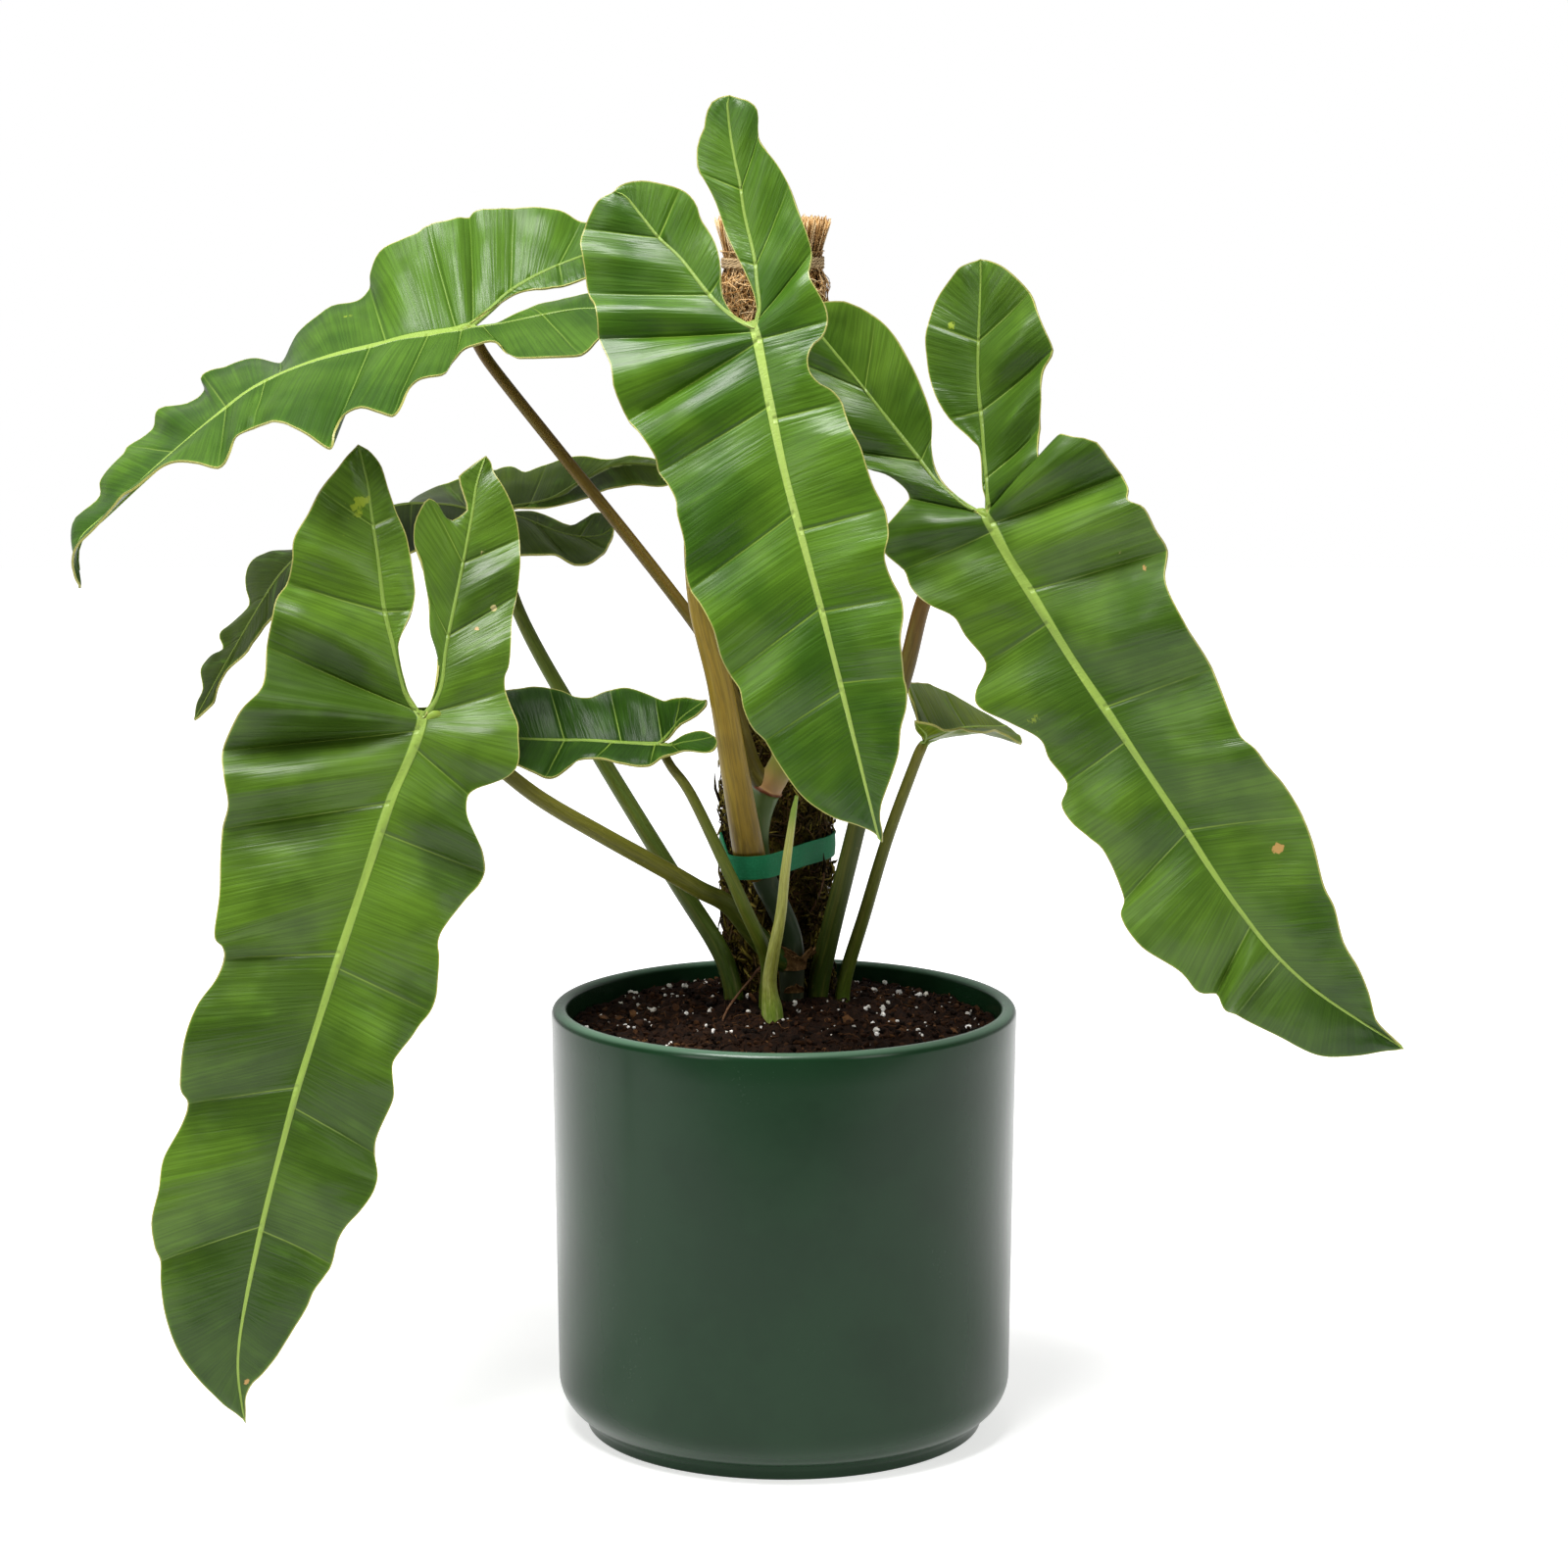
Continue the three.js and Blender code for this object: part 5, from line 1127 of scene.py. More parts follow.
LEAF_UPPER_LEFT = LeafPlan(
    name="leaf_upper_left",
    guide=(
        (-80, 28, 592), (-119, 20, 583), (-160, 10, 569), (-200, 2, 562), (-257, -12, 545),
        (-300, -28, 513), (-336, -42, 480), (-350, -48, 465), (-349, -52, 444),
    ),
    base=2,
    across=((0.1, -0.9, -0.42), (0.25, -0.85, -0.4)),
    lift=0,
    halves=(HalfPlan(margin=(
        (253, 0, 0, 253), (246, -5), (239, -14, 1), (230, -20), (214, -26, -4), (209, -33), (194, -36, 1),
        (190, -42, 0, 165), (176, -44, -4), (168, -46), (154, -44, -6), (144, -46, -6),
        (141, -50, 0, 130), (127, -48, -6), (112, -46, -11), (101, -46, -18, 98), (92, -47, -12),
        (84, -48, -7), (68, -52, -1), (54, -54, -1), (47, -58, 3, 42), (45, -62, 9), (38, -66, 16),
        (22, -68, 21), (15, -70, 26, 6), (-1, -70, 23), (-10, -70, 24, -3), (-15, -70, 24),
        (-26, -68, 23), (-34, -66, 23, -25), (-52, -60, 16), (-66, -54, 11, -52), (-78, -46, 6),
        (-86, -38, 2, -86),
    ), rib=(
        (0, 0), (-12, -9, 1), (-25, -17, 3), (-45, -24, 3.5), (-62, -28, 4), (-86, -38, 2),
    ), sinus=(
        (0, -1), (-11.4, -8, 1), (-26, -14, 1.5), (-36, -14, 1), (-47, -10), (-62, -11), (-78, -20),
        (-86, -38, 2),
    )), HalfPlan(margin=(
        (253, 0, 0, 253), (244, 6, 2), (227, 14, 5), (208, 22, 10), (193, 27, 14), (186, 28, 13, 165),
        (171, 30, 12), (160, 32, 9), (150, 38, 5), (141, 46, 0, 130), (132, 46.5), (125, 38, 1),
        (117, 35, 0, 106), (106.5, 43.5), (91, 66), (78, 82, -2, 50), (74, 77), (68, 67), (59, 63),
        (50, 68), (43, 72, 0, 20), (38, 67), (31.4, 53), (24, 47), (14, 44), (8, 30, 0, 3), (0, 22),
        (-13.8, 27), (-19, 39, 0, -8), (-26.5, 53), (-42.7, 64), (-57, 66, 0, -40), (-68, 56), (-80, 42),
        (-85, 30, 0, -85),
    ), rib=(
        (0, 0), (-10, 4.5), (-22, 9.6), (-40, 15), (-59, 19.5), (-72, 25), (-85, 30),
    ), sinus=(
        (0, 1), (-8, 3), (-15, 4.5), (-30, 1, -1.5), (-47, -5, -4), (-62, -3, -4), (-76, 10, -2),
        (-85, 30),
    ))),
    stalk=(
        (-8, 3, 332, 5.6), (-16, 2, 345, 5), (-21.5, 0, 364, 4.3), (-27.5, 0, 385, 3.9),
        (-39, 2, 410, 3.5), (-71.4, 7, 453, 3.3), (-115.5, 10, 508.2, 3.1), (-147, 12, 548, 3),
        (-156, 11.5, 562, 2.9), (-161, 10, 568, 2.6), (-170, 8, 563.5, 1.5),
    ),
)

LEAF_BACK = LeafPlan(
    name="leaf_back_left",
    guide=(
        (-58, 122, 482), (-105, 114, 473), (-153, 100, 467), (-179, 94, 471), (-205, 90, 471),
        (-235, 84, 459), (-262, 78, 439), (-282, 72, 409), (-310, 64, 360),
    ),
    base=2,
    across=((0.1, -0.9, -0.42), (0.4, -0.85, -0.2)),
    lift=0,
    halves=(HalfPlan(margin=(
        (214, 0, 0, 214), (207, -8), (199, -10), (193, -23), (186, -23.5), (177, -15, 0, 165), (173, -23),
        (165, -21), (151, -15, 0, 140), (147, -29), (142, -37), (134, -38), (126, -30),
        (116, -22, -4, 105), (100, -28, -17), (80, -33, -24), (55, -40, -27, 50), (35, -46, -21),
        (19, -48, -12, 15), (5, -50, -7), (-3, -52, -4, -2), (-11, -50, -4), (-18.5, -44, -5),
        (-31, -50, -4, -20), (-46, -50, -5), (-66, -46, -6, -50), (-80, -42, -6), (-92, -36, -8),
        (-104, -28, -12, -104),
    ), rib=(
        (0, 0), (-12, -5, -1), (-31, -9, -2), (-49, -24, -3), (-66, -37, -5), (-84, -36, -8),
        (-104, -28, -12),
    ), sinus=(
        (0, -1), (-12, -3.5, -1.5), (-31, -4, -4.5), (-49, -21, -13), (-61, -33, -17), (-77, -37, -20),
        (-94, -30, -20), (-104, -28, -12),
    )), HalfPlan(margin=(
        (214, 0, 0, 214), (204, 8), (199, 10), (191, 7), (179, 7, 0, 165), (165, 19), (154, 20),
        (146, 20, 0, 135), (130, 30), (110, 42, 0, 95), (90, 50), (70, 50), (51, 50, 0, 45), (35, 52),
        (20, 52, 0, 12), (5, 50), (-11, 47, 0, -3), (-28.5, 56), (-39.5, 66, 0, -22), (-47, 70),
        (-53.4, 64), (-57, 57, 0, -44), (-61, 47), (-63, 35, 0, -63),
    ), rib=(
        (0, 0), (-16, 12), (-32, 30), (-46, 40), (-56, 41), (-63, 35),
    ), sinus=(
        (0, 1), (-9, 2), (-17.5, 3.5), (-25, 9), (-39, 26), (-47.5, 23), (-56, 18.5), (-61.5, 24.5),
        (-63, 35),
    ))),
    stalk=(
        (-26, 23, 165, 5.2), (-26, 23, 205, 5.2), (-27, 23.5, 226, 5), (-34.3, 27, 246, 4.9),
        (-56, 37, 279, 4.7), (-93.8, 61, 336.5, 4.3), (-128.4, 80, 392, 3.8), (-144.4, 92, 424.5, 3.5),
        (-150, 97, 452, 3.3), (-154, 99.5, 465, 2.9), (-163, 99, 467.5, 1.5),
    ),
)

LEAF_SMALL_LEFT = LeafPlan(
    name="leaf_small_left",
    guide=(
        (-32, -44, 376), (-49, -38, 369), (-63, -30, 362), (-99, -20, 362), (-136, -12, 362),
        (-170, -4, 367), (-198, 4, 376),
    ),
    base=2,
    across=((0, -0.85, -0.5), (0, -0.85, -0.5)),
    lift=0,
    halves=(HalfPlan(margin=(
        (141, 0, 0, 141), (125, -7, 1), (110, -16, 3), (95, -25, 6, 80), (82.5, -28, 7), (68, -33, 8),
        (58, -33, 8, 50), (50.5, -30, 7.5), (44, -26, 6.5), (37, -27, 6.5), (26, -33, 8, 20),
        (17.5, -34, 8.5), (9, -32, 8), (0, -29, 7, -2), (-7, -26, 6.5), (-18, -22, 5.5, -12),
        (-27, -17, 4), (-31.5, -15, 4, -31.5),
    ), rib=(
        (0, 0), (-8, -6.5, 1.2), (-20, -12, 2.5), (-31.5, -15, 4),
    ), sinus=(
        (0, -0.6), (-4, -2, 0.3), (-13, -6, 1.5), (-24.5, -8, 2), (-30.5, -11.5, 3), (-31.5, -15, 4),
    )), HalfPlan(margin=(
        (141, 0, 0, 141), (125, 3), (110, 12), (95, 20, 0, 80), (77, 21.5), (66, 26), (59, 29, 0, 50),
        (53, 28), (46, 21.5), (41, 15.5), (33, 13.5, 0, 25), (27.5, 14.5), (21, 17), (13, 17.5),
        (4.7, 16, 0, 2), (-3.5, 11), (-14, 12, 0, -8), (-28, 20.5), (-34, 22), (-36, 17),
        (-34.5, 11.5, 0, -34.5),
    ), rib=(
        (0, 0), (-12, 5.5), (-24, 9.5), (-34.5, 11.5),
    ), sinus=(
        (0, 0.8), (-8, 1), (-19, 1.2), (-28, 4), (-34.5, 11.5),
    ))),
    stalk=(
        (-9, -2, 165, 4), (-9, -2, 205, 4), (-9, -4, 226, 3.9), (-8.8, -13, 248, 3.8),
        (-19.9, -26, 277, 3.5), (-29.7, -33, 300.5, 3.1), (-46.6, -37, 337, 2.7),
        (-56.5, -33, 350.5, 2.4), (-62, -29.5, 358, 2.1), (-70, -28, 360.5, 1.2),
    ),
)

LEAF_SMALL_RIGHT = LeafPlan(
    name="leaf_small_right",
    guide=(
        (61, -22, 368), (72, 0, 359), (92, 36, 360), (116, 70, 356),
    ),
    base=1,
    across=((-0.89, 0.45, 0), (-0.89, 0.45, 0)),
    lift=0,
    halves=(HalfPlan(margin=(
        (86, 0, 0, 86), (78, -12, -4), (66, -20, -7, 50), (50, -18, -2), (36, -20, 1), (18, -20, 4, 12),
        (6, -17, 6), (-4, -13, 7, -2), (-12, -8, 8), (-19, -1, 7, -19),
    ), rib=(
        (0, 0), (-8, -3.5, 4), (-19, -1, 7),
    ), sinus=(
        (0, -0.6), (-6, -0.5, 2.5), (-12, 0.5, 5), (-19, -1, 7),
    )), HalfPlan(margin=(
        (86, 0, 0, 86), (74, 14, 10), (56, 20, 18, 45), (38, 20, 22), (20, 18, 27, 12), (8, 14, 28.5),
        (2, 11, 24, -2), (-3, 6, 17), (-8, 1.5, 9, -8),
    ), rib=(
        (0, 0), (-4, 1, 5), (-8, 1.5, 9),
    ), sinus=(
        (0, 0.6), (-4, 0.4, 4.5), (-8, 1.5, 9),
    ))),
    stalk=(
        (31, 23, 165, 4), (31, 23, 205, 4), (31.3, 22.3, 228, 3.8), (42.2, 17, 267, 3.4),
        (53, 9, 306, 3.1), (65.6, 3, 343, 2.9), (71, 0.5, 356.5, 2.6), (75, 5.5, 359, 1.2),
    ),
)

STEM = (
    (4, 14, 165, 6), (4, 14, 205, 6), (4, 14, 226, 6.3), (4, 13, 241, 6.8), (3, 12, 256, 6),
    (-3, 10, 271, 6.2), (-9.5, 8.2, 284, 6.4), (-13, 7, 295, 6.4), (-14, 6.5, 307, 6.2),
    (-12.5, 5.5, 320, 6.4), (-9, 4, 333, 7.6), (-3, 3, 343, 6.8), (3.5, 3.5, 357, 7),
    (7, 3, 374, 6.8), (12, 0, 400, 6), (18, -7, 436, 4), (20, -10, 462, 1.2),
)

SHOOT = (
    (-5.5, -19, 170, 5.2), (-5.5, -19, 204, 5.6), (-5.6, -19, 221, 5.6), (-6.8, -19.5, 231, 4.2),
    (-7, -20.5, 240, 3.6), (-5, -23.5, 254, 3.3), (-1.5, -28.5, 274, 2.8), (1, -33.5, 299, 2.4),
    (4.5, -40.5, 326, 1.7), (6.4, -45, 338, 0.9),
)

ROOTS = (
    ((-2, 9, 243, 0.8), (-12, 5, 240, 0.75), (-17, 0, 235, 0.7), (-24, -8, 228, 0.65),
     (-29, -14, 222, 0.6), (-31.5, -18, 216, 0.55), (-30, -20, 210, 0.4)),
    ((-16, -8, 213, 0.6), (-28, -18, 216, 0.6), (-40, -24, 214.5, 0.55), (-52, -34, 210, 0.5),
     (-60, -40, 205, 0.4)),
    ((21, 35, 285, 0.45), (20.3, 32, 280, 0.5), (18, 30.4, 273, 0.55), (14.7, 28.6, 266, 0.5),
     (11, 28.4, 262, 0.35)),
)

# Each scale: the stem's middle there, its reach round it, height, facing and lean.
SCALES = (
    ((4, 13, 238), 170, 11, -95, 2.6),
    ((4.5, 13, 242), 100, 10, -35, 5.0),
    ((3.6, 12.6, 246), 120, 6, -120, 1.6),
    ((4, 14, 226), 90, 6, -80, 2.6),
)


class Guide:
    """The curve that a blade lies along, with its straight crossings."""

    def __init__(self, plan: LeafPlan) -> None:
        """Measure the curve.

        Args:
            plan: the leaf's plan.
        """
        step = 40
        count = (len(plan.guide) - 1) * step
        self.points = spline(plan.guide, np.linspace(0, len(plan.guide) - 1, count + 1))
        length = distances(self.points)
        self.length = length - length[plan.base * step]
        self.low = self.length[0]
        self.high = self.length[-1]
        self.across = unit(np.array(plan.across, float))

    def centre(self, s: Array) -> Array:
        """Give the points of the curve at distances along it."""
        return np.stack([np.interp(s, self.length, self.points[:, k]) for k in range(3)], axis=-1)

    def axes(self, s: Array) -> tuple[Array, Array, Array]:
        """Give the directions along, across and up out of the upper face.

        Args:
            s: distances along the curve in millimetres.

        Returns:
            Three arrays of unit vectors.
        """
        middle = np.clip(s, self.low + 2, self.high - 2)
        tangent = unit(self.centre(middle + 2) - self.centre(middle - 2))
        share = np.clip(s / self.high, 0, 1)[..., None]
        side = unit(self.across[0] * (1 - share) + self.across[-1] * share)
        return tangent, side, unit(np.cross(tangent, side))

    def place(self, s: Any, t: Any, n: Any) -> Array:
        """Lay flat places of the blade in space.

        Args:
            s: distances along the midrib.
            t: distances across it.
            n: lifts out of the upper face.

        Returns:
            The places, in millimetres.
        """
        s, t, n = (np.asarray(a, float) for a in (s, t, n))
        tangent, side, up = self.axes(s)
        at = np.clip(s, self.low, self.high)
        return (self.centre(at) + tangent * (s - at)[..., None]
                + side * t[..., None] + up * n[..., None])


@dataclass
class Leaf:
    """One leaf: a waved blade and the stalk that it grows from."""

    plan: LeafPlan
    finish: LeafFinish
    stalk: StalkFinish
    spots: tuple[tuple[float, float, float, str], ...] = ()
    thickness: float = 1.1
    quilt: float = 0.15
    puff: float = 0.5
    pleat: float = 2.2
    pitch: float = 2.6
    near: tuple[float, ...] = (0.0, 0.42, 0.73, 1.0)
    steps: int = 12
    notch_steps: int = 5
    full_reach: float = 258
    scales: tuple[float, float] = (0.42, 1.1)
    midrib: float = 2.2
    lobe_rib: float = 0.95
    rib_tip: float = 0.3
    rib_sink: float = 0.35
    head_sink: float = 1.3
    head_share: float = 0.35
    midrib_share: float = 0.78
    cup: float = 1.6
    ripple: tuple[float, float] = (1.3, 0.4)
    rib_swell: float = 0.45
    row_gap: float = 0.4
    chart_reach: float = 60.0

    def __post_init__(self) -> None:
        """Lay out the guide curve."""
        self.guide = Guide(self.plan)
        self.reach = self.plan.halves[0].margin[0][0]
        self.scale = min(max(self.reach / self.full_reach, self.scales[0]), self.scales[1])

    def band(self, s: Array, lobe_end: float) -> Array:
        """Give half the width of the pale band on the midrib or a lobe's rib.

        Args:
            s: distances along the midrib.
            lobe_end: where the lobe's tip is.

        Returns:
            Half widths in millimetres.
        """
        body = self.midrib * np.clip(1 - s / self.reach, 0, 1) ** 0.75 + self.rib_tip
        lobe = self.lobe_rib * np.clip(1 - s / lobe_end, 0, 1) ** 0.8 + self.rib_tip
        blend = smooth_step(-14, 2, s)
        return (lobe * (1 - blend) + body * blend) * self.scale

    @staticmethod
    def marks(half: HalfPlan) -> tuple[Array, Array]:
        """Find where side veins leave the midrib and where they meet the margin."""
        found = [(row[3], i) for i, row in enumerate(half.margin) if len(row) > 3]
        return np.array([s for s, _ in found], float), np.array([i for _, i in found], float)

    def stations(self, half: HalfPlan) -> list[float]:
        """Choose the rows of one half, dense enough for its margin.

        Args:
            half: one half of the blade.

        Returns:
            Places on the midrib or rib, from the tip to the lobe's tip.
        """
        starts, ends = self.marks(half)
        margin = half.table(half.margin)
        gone = distances(margin)
        rows: list[float] = []
        for k in range(len(starts) - 1):
            length = gone[int(ends[k + 1])] - gone[int(ends[k])]
            count = max(2, round(length / self.pitch))
            rows.extend(np.linspace(starts[k], starts[k + 1], count, endpoint=False))
        rows.append(starts[-1])
        return rows

    def shared(self) -> list[float]:
        """Choose the rows that both halves share along the midrib.

        Returns:
            Places from the tip down to 0.
        """
        fixed = {0.0, float(self.reach)}
        loose: set[float] = set()
        for half in self.plan.halves:
            starts, _ = self.marks(half)
            fixed.update(float(s) for s in starts if s > 0)
            loose.update(float(s) for s in self.stations(half) if s > 0)
        kept = sorted(fixed, reverse=True)
        for s in sorted(loose, reverse=True):
            if min(abs(s - other) for other in kept) > self.row_gap:
                kept.append(s)
        return sorted(kept, reverse=True)

    def layout(self, half: HalfPlan, rows: Array) -> tuple[Array, Array, Array]:
        """Find where the rows of one half start, end, and which veins they lie between.

        Args:
            half: one half of the blade.
            rows: places on the midrib or rib.

        Returns:
            The starts and ends as flat places, and the vein count with its fraction.
        """
        starts, ends = self.marks(half)
        index = np.interp(-rows, -starts, ends)
        count = np.interp(-rows, -starts, np.arange(len(starts)))
        edge = spline(half.table(half.margin), index)
        rib = half.table(half.rib)
        at = np.interp(-rows, -rib[:, 0], np.arange(len(rib)))
        spine = np.where((rows >= 0)[:, None], np.stack([rows, 0 * rows, 0 * rows], axis=1),
                         spline(rib, at))
        return spine, edge, count

    def charts(self, flat: Array, veins: Array, share: Array, rows: Array,
               lobe_end: float, offset: float) -> dict[str, Array]:
        """Chart a sheet for its materials.

        Args:
            flat: the flat places by row and column.
            veins: the rows that are side veins.
            share: the share of the way out, by row and column.
            rows: the rows' places on the midrib or rib.
            lobe_end: where the lobe's tip is.
            offset: a number that keeps the halves' stripes apart.

        Returns:
            The charts vein, row and edge.
        """
        plane = flat[..., :2]
        number = np.arange(len(rows))
        gap = np.full(share.shape, self.chart_reach)
        for vein in veins:
            away = np.linalg.norm(plane - plane[vein][None], axis=-1)
            near = np.abs(number - vein)[:, None] <= self.chart_reach
            gap = np.where(near, np.minimum(gap, away), gap)
        run = distances(plane[:, share.shape[1] * 2 // 3])[:, None] + offset
        out = np.linalg.norm(plane - plane[:, :1], axis=-1)
        ratio = np.minimum(out / self.band(rows, lobe_end)[:, None], 12)
        rim = np.minimum(np.linalg.norm(plane - plane[:, -1:], axis=-1), self.chart_reach)
        return {"vein": pair(gap, share), "row": pair(run, ratio), "edge": pair(rim, rows[:, None])}

    def sheet(self, name: str, spine: Array, edge: Array, count: Array,
              rows: Array, lobe_end: float, main: bool, offset: float) -> Piece:
        """Model one strip of the blade, between the rib and a margin.

        Args:
            name: the strip's name.
            spine: where its rows start, flat.
            edge: where they end, flat.
            count: the vein count with its fraction.
            rows: the rows' places on the midrib or rib.
            lobe_end: where the lobe's tip is.
            main: whether it is the outer strip, which is quilted.
            offset: a number that keeps the strips' stripes apart.

        Returns:
            The open strip.
        """
        span = np.maximum(np.linalg.norm(edge - spine, axis=1), 1e-6)
        first = np.minimum(self.band(rows, lobe_end) * 1.3 / span, 0.25)[:, None]
        steps = self.steps if main else self.notch_steps
        close = np.array(self.near)[None] * first
        rest = first + (1 - first) * np.linspace(0, 1, steps + 1)[None, 1:]
        share = np.concatenate([close, rest], axis=1)
        flat = spine[:, None] + (edge - spine)[:, None] * share[..., None]
        width = np.abs(edge[:, 1] - spine[:, 1])[:, None]
        rise = self.plan.lift * width * share ** self.cup
        if main:
            wave = np.abs(np.sin(math.pi * count))[:, None]
            swell = 0.5 * wave + 0.5 * wave ** 2 - 0.35
            puff = share ** 0.75 + self.puff * 4 * share * (1 - share)
            rise = rise + self.quilt * width * swell * puff
        s, t = flat[..., 0], flat[..., 1]
        wide, fine = self.ripple
        ripple = grain(s / 16 + offset, t / 16, 3.0) * wide + grain(s / 7, t / 10, offset) * fine
        ripple = ripple + self.pleat * grain(count[:, None] * 3.1, share * 1.6, offset)
        ripple = ripple + self.pleat * 2 * share * (1 - share) * grain(s / 13 - offset, t / 20, 7.0)
        ripple = ripple * smooth_step(0.1, 1, share)
        ripple = ripple * smooth_step(0, 14, span)[:, None]
        out = np.linalg.norm(flat[..., :2] - flat[:, :1, :2], axis=-1)
        ratio = out / self.band(rows, lobe_end)[:, None]
        rise = rise + ripple + self.rib_swell * self.scale * np.clip(1 - ratio ** 2, 0, 1)
        points = self.guide.place(s, t, flat[..., 2] + rise)
        whole = np.floor(count + 1e-6)
        veins = [k for k in range(1, len(rows) - 1)
                 if whole[k] > whole[k - 1] and whole[k] >= 1 and abs(count[k] - whole[k]) < 1e-3]
        charts = self.charts(flat, np.array(veins, int), share, rows, lobe_end, offset)
        return Shop.grid(name, points * MM, charts)

    def blade(self) -> Piece:
        """Model the blade: two halves, two strips inside the lobes, and the ribs underneath.

        Returns:
            The blade with its thickness.
        """
        shared = self.shared()
        strips = []
        ribs = []
        for k, half in enumerate(self.plan.halves):
            own = [s for s in self.stations(half) if s < 0]
            rows = np.array(shared + own)
            spine, edge, count = self.layout(half, rows)
            spine[0] = edge[0]
            spine[-1] = edge[-1]
            end = rows[-1]
            strips.append(self.sheet(f"half_{k}", spine, edge, count, rows, end, True, 700.0 * k))
            inner = np.array([0.0] + own)
            rib, _, count = self.layout(half, inner)
            rib[0] = 0
            rib[-1] = edge[-1]
            placed = self.guide.place(rib[:, 0], rib[:, 1], rib[:, 2])
            gone = distances(placed)
            notch = spline(half.table(half.sinus), gone / gone[-1] * (len(half.sinus) - 1))
            notch[0] = 0
            notch[-1] = rib[-1]
            strips.append(self.sheet(f"notch_{k}", rib, notch, count, inner, end, False,
                                     350.0 + 700.0 * k))
            ribs.append((rib, end))
        blade = Shop.join(self.plan.name + "_blade", strips)
        Shop.weld(blade, 2e-6)
        self.turn_up(blade)
        Shop.modify(blade, "SOLIDIFY", thickness=self.thickness * MM, offset=0.0,
                    use_quality_normals=True, material_offset=1, material_offset_rim=2)
        Shop.coat(blade, self.finish.face(self.plan.name + "_face", self.placed_spots(), self.reach),
                  self.finish.underside(self.plan.name + "_underside"),
                  self.finish.margin(self.plan.name + "_margin"))
        return Shop.join(self.plan.name + "_blade", [blade] + self.ribs(ribs))

    def turn_up(self, blade: Piece) -> None:
        """Make sure that the open sheet's faces look out of its upper side.

        Args:
            blade: the open sheet.
        """
        half = self.reach / 2
        up = self.guide.axes(np.array([half]))[2][0]
        middle = Vector(self.guide.place([half], [0], [0])[0] * MM)
        faces = sorted(blade.data.polygons, key=lambda face: (face.center - middle).length)[:12]
        if sum(face.normal.dot(Vector(up)) for face in faces) < 0:
            Shop.edit(blade)
            bpy.ops.mesh.flip_normals()
            bpy.ops.object.mode_set(mode="OBJECT")

    def ribs(self, lobes: Sequence[tuple[Array, float]]) -> list[Piece]:
        """Model the stout midrib and the lobes' ribs on the lower face.

        Args:
            lobes: each lobe's rib as flat places, and where its tip is.

        Returns:
            The ribs as round tubes, half sunk into the blade.
        """
        pale = self.finish.rib
        skin = StalkFinish(pale, pale, self.finish.vein, pale).skin(self.plan.name + "_rib_skin")
        pieces = []
        s = np.linspace(-4, self.reach * 0.965, 40)
        size = self.band(np.maximum(s, 3), -50.0) * self.midrib_share
        places = self.guide.place(s, 0 * s, -self.rib_sink - size * 0.45)
        pieces.append(TubePath(np.column_stack([places, size]), sides=12, pitch=5.0).build("midrib"))
        for rib, end in lobes:
            keep = np.linspace(0, len(rib) - 1, 16).astype(int)[:-1]
            size = (1.15 * np.clip(1 - rib[keep, 0] / end, 0, 1) ** 0.7 + 0.25) * self.scale
            places = self.guide.place(rib[keep, 0], rib[keep, 1], rib[keep, 2] - self.rib_sink - size * 0.4)
            pieces.append(TubePath(np.column_stack([places, size]), sides=8,
                                   pitch=6.0).build("lobe_rib"))
        for piece in pieces:
            Shop.coat(piece, skin)
        return pieces

    def placed_spots(self) -> list[Spot]:
        """Turn the spots' flat places into places in space."""
        return [Spot(tuple((self.guide.place([s], [t], [0])[0] * MM).tolist()), size, colour)
                for s, t, size, colour in self.spots]

    def build(self) -> Piece:
        """Model and dress the leaf.

        Returns:
            The finished leaf.
        """
        blade = self.blade()
        rows = np.array(self.plan.stalk, float)
        up = self.guide.axes(np.array([2.0]))[2][0]
        rows[-1, :3] -= up * rows[-1, 3] * self.head_sink
        rows[-1, 3] *= self.head_share
        stalk = TubePath(rows, sides=20, pitch=3.5).build("stalk")
        Shop.coat(stalk, self.stalk.skin(self.plan.name + "_stalk_skin"))
        leaf = Shop.join(self.plan.name.replace("leaf_", "") + "_leaf", [blade, stalk])
        Shop.settle(leaf, 50)
        Shop.hand_over(leaf, "leaf", self.plan.name)
        return leaf


